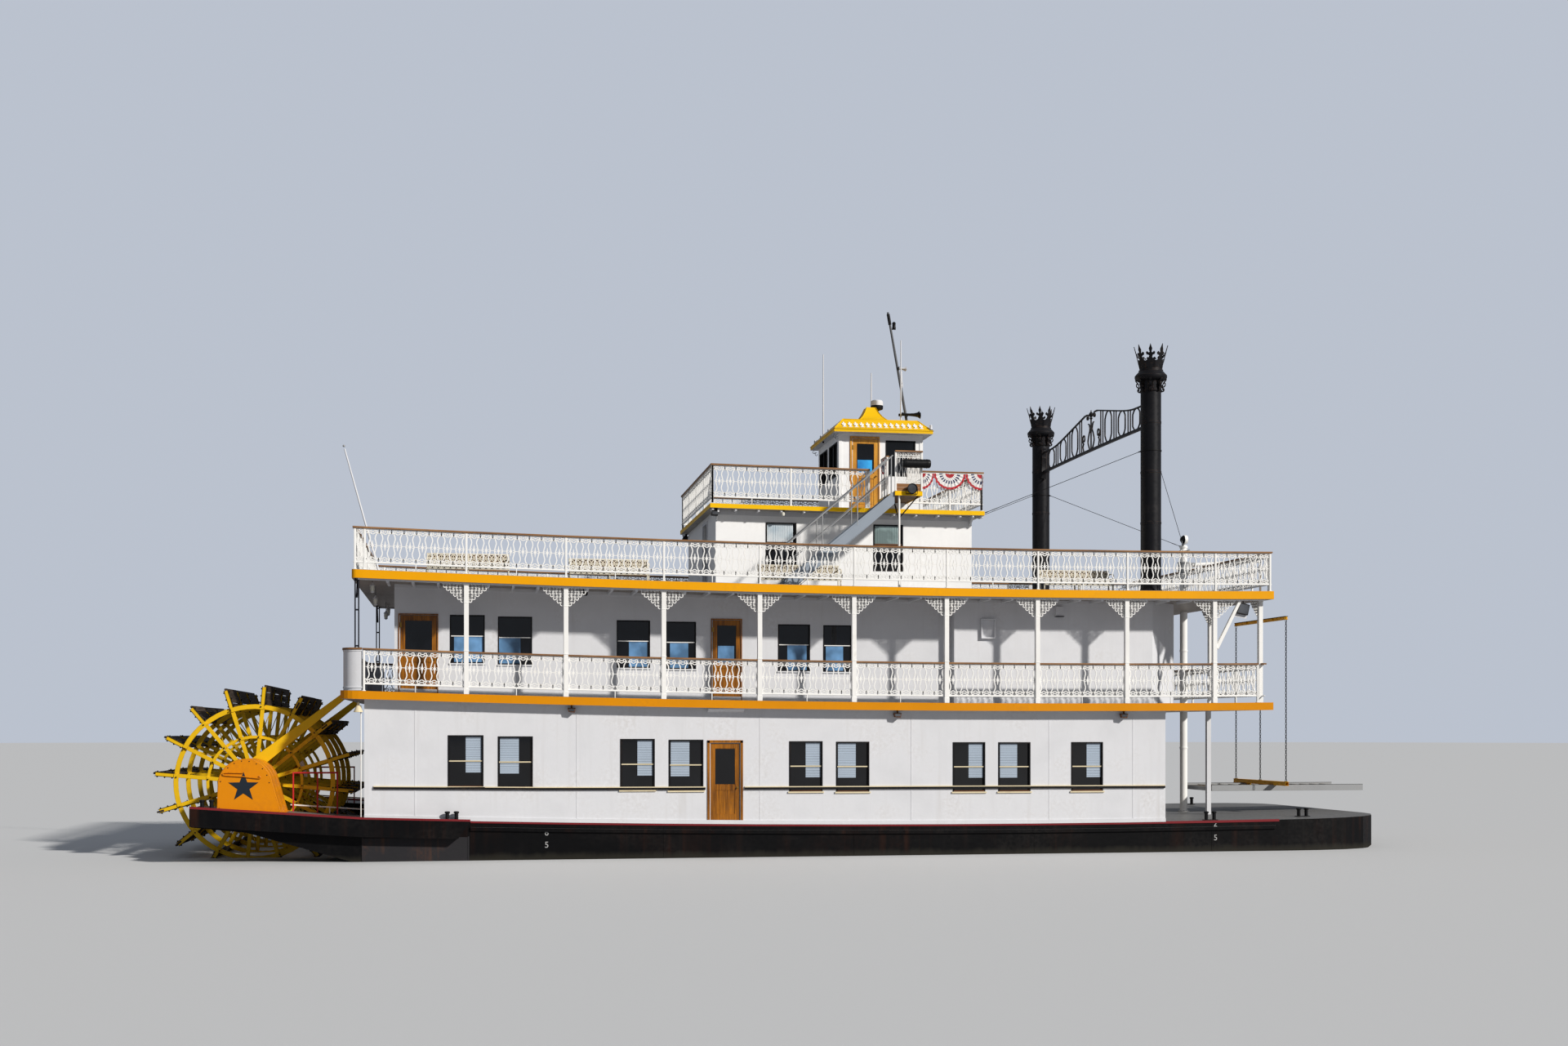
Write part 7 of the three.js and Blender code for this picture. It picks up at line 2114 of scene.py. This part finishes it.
def buildGear():
    x, half = gear["x"], gear["half"]
    work = Shape()
    yellow, black, rope, steel = range(4)
    for y in (-0.022, 0.022):
        for dx in (-0.016, 0.016):
            work.tube([(x + dx, y, gear["block"][1] - 0.04), (x + dx, y, gear["fallTop"] - 0.02)], 0.008, 6,
                      mark=rope)
    for low, high in (gear["block"], (gear["fallTop"] - 0.22, gear["fallTop"])):
        for y in (-0.040, 0, 0.040):
            work.prism([(x - 0.060, low + 0.05), (x - 0.03, low), (x + 0.03, low), (x + 0.060, low + 0.05),
                        (x + 0.060, high - 0.05), (x + 0.03, high), (x - 0.03, high),
                        (x - 0.060, high - 0.05)], "y", y - 0.005, y + 0.005, black)
        for y in (-0.020, 0.020):
            mid = (low + high) / 2
            work.lathe([(0, -0.010), (0.050, -0.010), (0.042, 0), (0.050, 0.010), (0, 0.010)], (x, y, mid),
                       "y", 20, steel)
        work.tube([(x, -0.048, (low + high) / 2), (x, 0.048, (low + high) / 2)], 0.012, 8, mark=steel)
    work.tube(flowing([(x, 0, gear["block"][0] + 0.02), (x + 0.03, 0, gear["block"][0] - 0.03),
                       (x, 0, gear["spreader"][1] + 0.005), (x - 0.03, 0, gear["block"][0] - 0.03),
                       (x, 0, gear["block"][0] + 0.02)], 3), 0.010, 8, mark=steel)
    low, high = gear["spreader"]
    work.box(x - 0.010, x + 0.010, -half, half, low + 0.012, high - 0.012, yellow)
    work.box(x - 0.050, x + 0.050, -half, half, low, low + 0.014, yellow)
    work.box(x - 0.050, x + 0.050, -half, half, high - 0.014, high, black)
    for y in (-half + 0.03, -0.9, 0, 0.9, half - 0.03):
        work.box(x - 0.045, x + 0.045, y - 0.006, y + 0.006, low + 0.012, high - 0.012, yellow)
    work.made("spreaderAndBlocks", ["boomYellow", "ironBlack", "ropeTan", "steel"], "grey_paint", "derrick",
              ["stage_tackle"], bevel=0.002)
    link = Shape()
    ring = [(0.019 * math.cos(a), 0,
             0.030 * (1 if math.sin(a) > 0 else -1) * (0.55 if abs(math.sin(a)) > 0.01 else 0)
             + 0.022 * math.sin(a)) for a in span(0, 2 * math.pi, 12)[:-1]]
    link.tube(ring, 0.0085, 6, closed=True)
    places = []
    for y in (-half + 0.03, 0, half - 0.03):
        count = round((low - gear["chainFoot"]) / gear["pitch"])
        for i in range(count):
            z = gear["chainFoot"] + (i + 0.5) * (low - gear["chainFoot"]) / count
            places.append((x, y, z, 0, 0, math.pi / 2 * (i % 2), 1, 1, 1.12))
    repeated("stageChains", link, places, "ironBlack", "derrick", ["stage_tackle"])


stage = {"x0": 21.25, "x1": 25.95, "half": 1.0, "low": 2.68, "top": 2.86, "beam": 1.80}


def buildStage():
    work = Shape()
    wood, grey, black, beamMark = range(4)
    x0, x1, half, low, top = (stage[k] for k in ("x0", "x1", "half", "low", "top"))
    count = 24
    for i in range(count):
        a = x0 + 0.02 + (x1 - x0 - 0.04) * i / count
        work.box(a + 0.004, a + (x1 - x0 - 0.04) / count - 0.004, -half + 0.045, half - 0.045, top - 0.085,
                 top - 0.060, wood)
    for y in (-half, half - 0.045):
        work.box(x0, x1, y, y + 0.045, low, top, grey)
        work.box(x0, x1, y - 0.001, y + 0.046, top - 0.012, top + 0.001, black)
    for y in (-0.55, 0, 0.55):
        work.box(x0 + 0.03, x1 - 0.03, y - 0.035, y + 0.035, low + 0.01, top - 0.085, grey)
    for x in (x0, x1 - 0.05):
        work.box(x, x + 0.05, -half + 0.04, half - 0.04, low, top - 0.06, grey)
    for x in span(x0 + 0.4, x1 - 0.4, 12):
        work.box(x - 0.02, x + 0.02, -half + 0.06, half - 0.06, top - 0.062, top - 0.044, wood)
    reach = gear["x"]
    for off in (-0.046, 0.038):
        work.box(reach + off, reach + off + 0.008, -stage["beam"], stage["beam"], top - 0.02, top + 0.10,
                 beamMark)
    for z in (top - 0.02, top + 0.088):
        work.box(reach - 0.060, reach + 0.060, -stage["beam"], stage["beam"], z, z + 0.012, beamMark)
    for y in (-1.72, 0, 1.72):
        work.box(reach - 0.04, reach + 0.04, y - 0.03, y + 0.03, top + 0.10, top + 0.115, black)
    for y in (-0.8, 0.8):
        work.box(reach - 0.05, reach + 0.05, y - 0.05, y + 0.05, top - 0.06, top - 0.02, beamMark)
    work.made("landingStage", ["stageWood", "greyPaint", "ironBlack", "boomYellow"], "grey_paint",
              "derrick", ["landing_stage"], bevel=0.004)


buildGear()
buildStage()
print("derrick gear and landing stage made")

# Bunting: pleated fans of cloth hung from a rail
bunting = {"pleats": 11, "deep": 0.011, "rows": 14, "seed": 5}


def buildFan(name, centre, halves, drop, top, along, outward):
    chance = random.Random(bunting["seed"] + len(name))
    work, rows = Shape(), []
    across = bunting["pleats"] * 8
    jitter = [chance.uniform(-0.25, 0.25) for k in range(across + 1)]
    for r in range(bunting["rows"] + 1):
        t = r / bunting["rows"]
        row = []
        for c in range(across + 1):
            u = c / across
            angle = math.pi * (1 + u)
            fold = math.sin(2 * math.pi * bunting["pleats"] * u + jitter[c // 8])
            sag = 1 + 0.02 * math.cos(2 * math.pi * bunting["pleats"] * u) * t
            share = 0.06 + 0.94 * t
            a = (halves[0] if u < 0.5 else halves[1]) * share * math.cos(angle) * sag
            z = drop * share * math.sin(angle) * sag
            off = outward * (0.001 + bunting["deep"] * (0.25 + 0.75 * t) * fold)
            row.append((centre + a, off, top + z) if along == "x" else (off, centre + a, top + z))
        rows.append(row)
    n = across + 1
    work.put([p for row in rows for p in row],
             [(i * n + k, i * n + k + 1, i * n + n + k + 1, i * n + n + k) for i in range(len(rows) - 1)
              for k in range(across)])
    return work, n


def placeFan(name, centre, halves, drop, top, along, fixed, outward, node):
    work, n = buildFan(name, centre, halves, drop, top, along, outward)
    shiftBy = Vector((0, fixed, 0)) if along == "x" else Vector((fixed, 0, 0))
    work.points = [p + shiftBy for p in work.points]
    mesh = work.mesh(name, ["buntingCloth"], 60)
    uv = mesh.uv_layers.new(name="cloth")
    for loop in mesh.loops:
        uv.data[loop.index].uv = ((loop.vertex_index % n) / (n - 1),
                                  (loop.vertex_index // n) / bunting["rows"])
    piece = settle(name, mesh, replaces=[node])
    return piece


def buildBunting():
    y = -3.397
    for name, centre, halves in (("Aft", 12.03, (0.02, 0.31)), ("Middle", 12.78, (0.44, 0.44)),
                                 ("Fore", 13.66, (0.44, 0.05))):
        placeFan("bunting" + name, centre, halves, 0.43, 11.335, "x", y, -1, "bunting_sun_deck")
    placeFan("buntingLanding", -3.83, (0.32, 0.32), 0.40, 11.608, "y", 10.858, -1, "bunting_landing")
    tape = Shape()
    tape.box(12.01, 13.71, y - 0.004, y + 0.004, 11.322, 11.342)
    tape.made("buntingTape", ["curtainWhite"], "bunting_cloth", replaces=["bunting_sun_deck"])
    tape = Shape()
    tape.box(10.854, 10.862, -4.15, -3.51, 11.594, 11.612)
    tape.made("landingTape", ["curtainWhite"], "bunting_cloth", replaces=["bunting_landing"])


buildBunting()
print("bunting made")

# Derrick mast and boom
derrick = {
    "x": 20.80, "radius": 0.108, "head": 9.88, "ledge": (9.140, 9.192), "yard": (9.70, 0.42),
    "collar": (9.197, 9.393), "heel": (20.95, 9.30), "tip": (23.25, 9.462), "boom": 0.056,
    "mastBands": (3.9, 6.75, 8.62, 9.02, 9.56, 9.80), "flangeBolts": 8, "boltCircle": 0.147,
    "boomBands": (0.07, 0.34, 0.62, 0.88, 0.975), "boomEyes": (0.36, 0.64), "sheaveZ": 9.368,
}


def buildDerrick():
    x, radius, head = derrick["x"], derrick["radius"], derrick["head"]
    white, grey, black, steel = range(4)
    work = Shape()
    foot = deckZ["main"] + rise(x) + 0.002
    work.lathe([(radius, foot), (radius, 8.0), (0.104, 9.2), (0.100, head - 0.01), (0.094, head)],
               (x, 0, 0), "z", 32, white)
    # Flanges on the decks, bands and the ledge that carries the boom
    for z in (foot, deckZ["promenade"] + rise(x) + 0.001, deckZ["hurricane"] + rise(x) + 0.001):
        work.lathe([(radius - 0.004, z), (0.166, z), (0.166, z + 0.016), (0.128, z + 0.022),
                    (radius - 0.004, z + 0.060)], (x, 0, 0), "z", 32, white)
        circle = derrick["boltCircle"]
        for k in range(derrick["flangeBolts"]):
            a = 2 * math.pi * (k + 0.5) / derrick["flangeBolts"]
            work.lathe([(0.012, z + 0.014), (0.012, z + 0.028), (0.007, z + 0.034)],
                       (x + circle * math.cos(a), circle * math.sin(a), 0), "z", 6, steel)
    for z in derrick["mastBands"]:
        work.lathe([(0.098, z), (radius + 0.012, z), (radius + 0.012, z + 0.045), (0.098, z + 0.045)],
                   (x, 0, 0), "z", 32, white)
    low, high = derrick["ledge"]
    work.lathe([(0.100, low - 0.10), (0.116, low - 0.10), (0.165, low), (0.168, high), (0.100, high)],
               (x, 0, 0), "z", 32, grey)
    # Yard with end eyes
    z, half = derrick["yard"]
    work.tube([(x, -half + 0.012, z), (x, half - 0.012, z)], 0.026, 16, mark=white)
    for out in (-1, 1):
        work.lathe([(0, -0.011), (0.030, -0.011), (0.030, 0.011), (0, 0.011)], (x, out * (half - 0.012), z),
                   "y", 16, grey)
        ring = [(x + 0.020 * math.cos(a), out * (half - 0.08), z - 0.044 + 0.020 * math.sin(a))
                for a in span(0, 2 * math.pi, 14)[:-1]]
        work.tube(ring, 0.005, 6, closed=True, mark=steel)
        work.flat([(x, out * 0.11, z - 0.10), (x, out * 0.26, z)], 0.030, 0.010, normal=(1, 0, 0),
                  mark=white)
    work.box(x - 0.113, x + 0.113, -0.060, 0.060, z - 0.035, z + 0.035, white)
    work.lathe([(0.052, head - 0.002), (0.052, head + 0.022), (0.030, head + 0.030), (0.030, head + 0.058)],
               (x, 0, 0), "z", 20, grey)
    # Cleats and a junction box low on the mast
    for base in (deckZ["promenade"], deckZ["hurricane"]):
        z = base + rise(x) + 0.78
        work.box(x - 0.125, x - 0.100, -0.024, 0.024, z - 0.04, z + 0.04, grey)
        work.tube([(x - 0.140, 0, z - 0.085), (x - 0.134, 0, z), (x - 0.140, 0, z + 0.085)], 0.011, 8,
                  mark=black)
    z = deckZ["hurricane"] + rise(x) + 0.50
    work.box(x - 0.055, x + 0.055, -0.155, -0.095, z, z + 0.20, grey)
    work.tube([(x + 0.030, -0.122, z + 0.19), (x + 0.030, -0.116, 9.10)], 0.009, 8, mark=grey)
    work.made("derrickMast", ["railWhite", "greyPaint", "ironBlack", "steel"], replaces=["derrick_mast"],
              bevel=0.002)

    # Boom on its collar
    arm = Shape()
    white, iron, shine = range(3)
    low, high = derrick["collar"]
    arm.lathe([(0.117, low), (0.170, low), (0.176, low + 0.012), (0.176, low + 0.045), (0.160, low + 0.052),
               (0.160, high - 0.052), (0.176, high - 0.045),
               (0.176, high - 0.012), (0.170, high), (0.117, high), (0.117, low)], (x, 0, 0), "z", 40, iron)
    for out in (-1, 1):
        arm.box(x + 0.145, x + 0.290, *sorted((out * 0.030, out * 0.048)), 9.225, 9.375, iron)
        for z in (9.245, 9.345):
            arm.lathe([(0, -0.012), (0.014, -0.012), (0.014, 0.012), (0, 0.012)],
                      (x - 0.02, out * 0.166, z), "y", 6, shine)
    arm.tube([(x + 0.235, -0.062, 9.322), (x + 0.235, 0.062, 9.322)], 0.016, 12, mark=shine)
    start, end = Vector((derrick["heel"][0], 0, derrick["heel"][1])), Vector((derrick["tip"][0], 0,
            derrick["tip"][1]))
    at = lambda t: start + (end - start) * t
    arm.tube([at(0.04), at(0.12), at(0.5), at(0.9), at(0.985)], derrick["boom"], 24, mark=white,
             shrink=[0.86, 0.96, 1, 0.94, 0.82])
    for t in derrick["boomBands"]:
        arm.tube([at(t), at(t + 0.022)], derrick["boom"] * 1.10 * (0.92 if t > 0.9 else 1), 24, mark=iron)
    for t in derrick["boomEyes"]:
        ring = [at(t) + Vector((0.026 * math.cos(a), 0, -0.058 + 0.026 * math.sin(a))) for a in span(0,
            2 * math.pi, 14)[:-1]]
        arm.tube(ring, 0.006, 6, closed=True, mark=shine)
    tipX = gear["x"]
    for y in (-0.034, 0.028):
        arm.box(tipX - 0.036, tipX + 0.036, y, y + 0.006, 9.334, 9.44, iron)
    arm.lathe([(0, -0.014), (0.030, -0.014), (0.024, 0), (0.030, 0.014), (0, 0.014)],
              (tipX, 0, derrick["sheaveZ"]), "y", 20, shine)
    arm.tube([(tipX, y, derrick["sheaveZ"]) for y in (-0.038, 0.038)], 0.009, 8, mark=shine)
    arm.made("derrickBoom", ["railWhite", "greyPaint", "steel"], "stack_black", "derrick", ["derrick_boom"],
             bevel=0.002)


buildDerrick()
print("derrick mast and boom made")
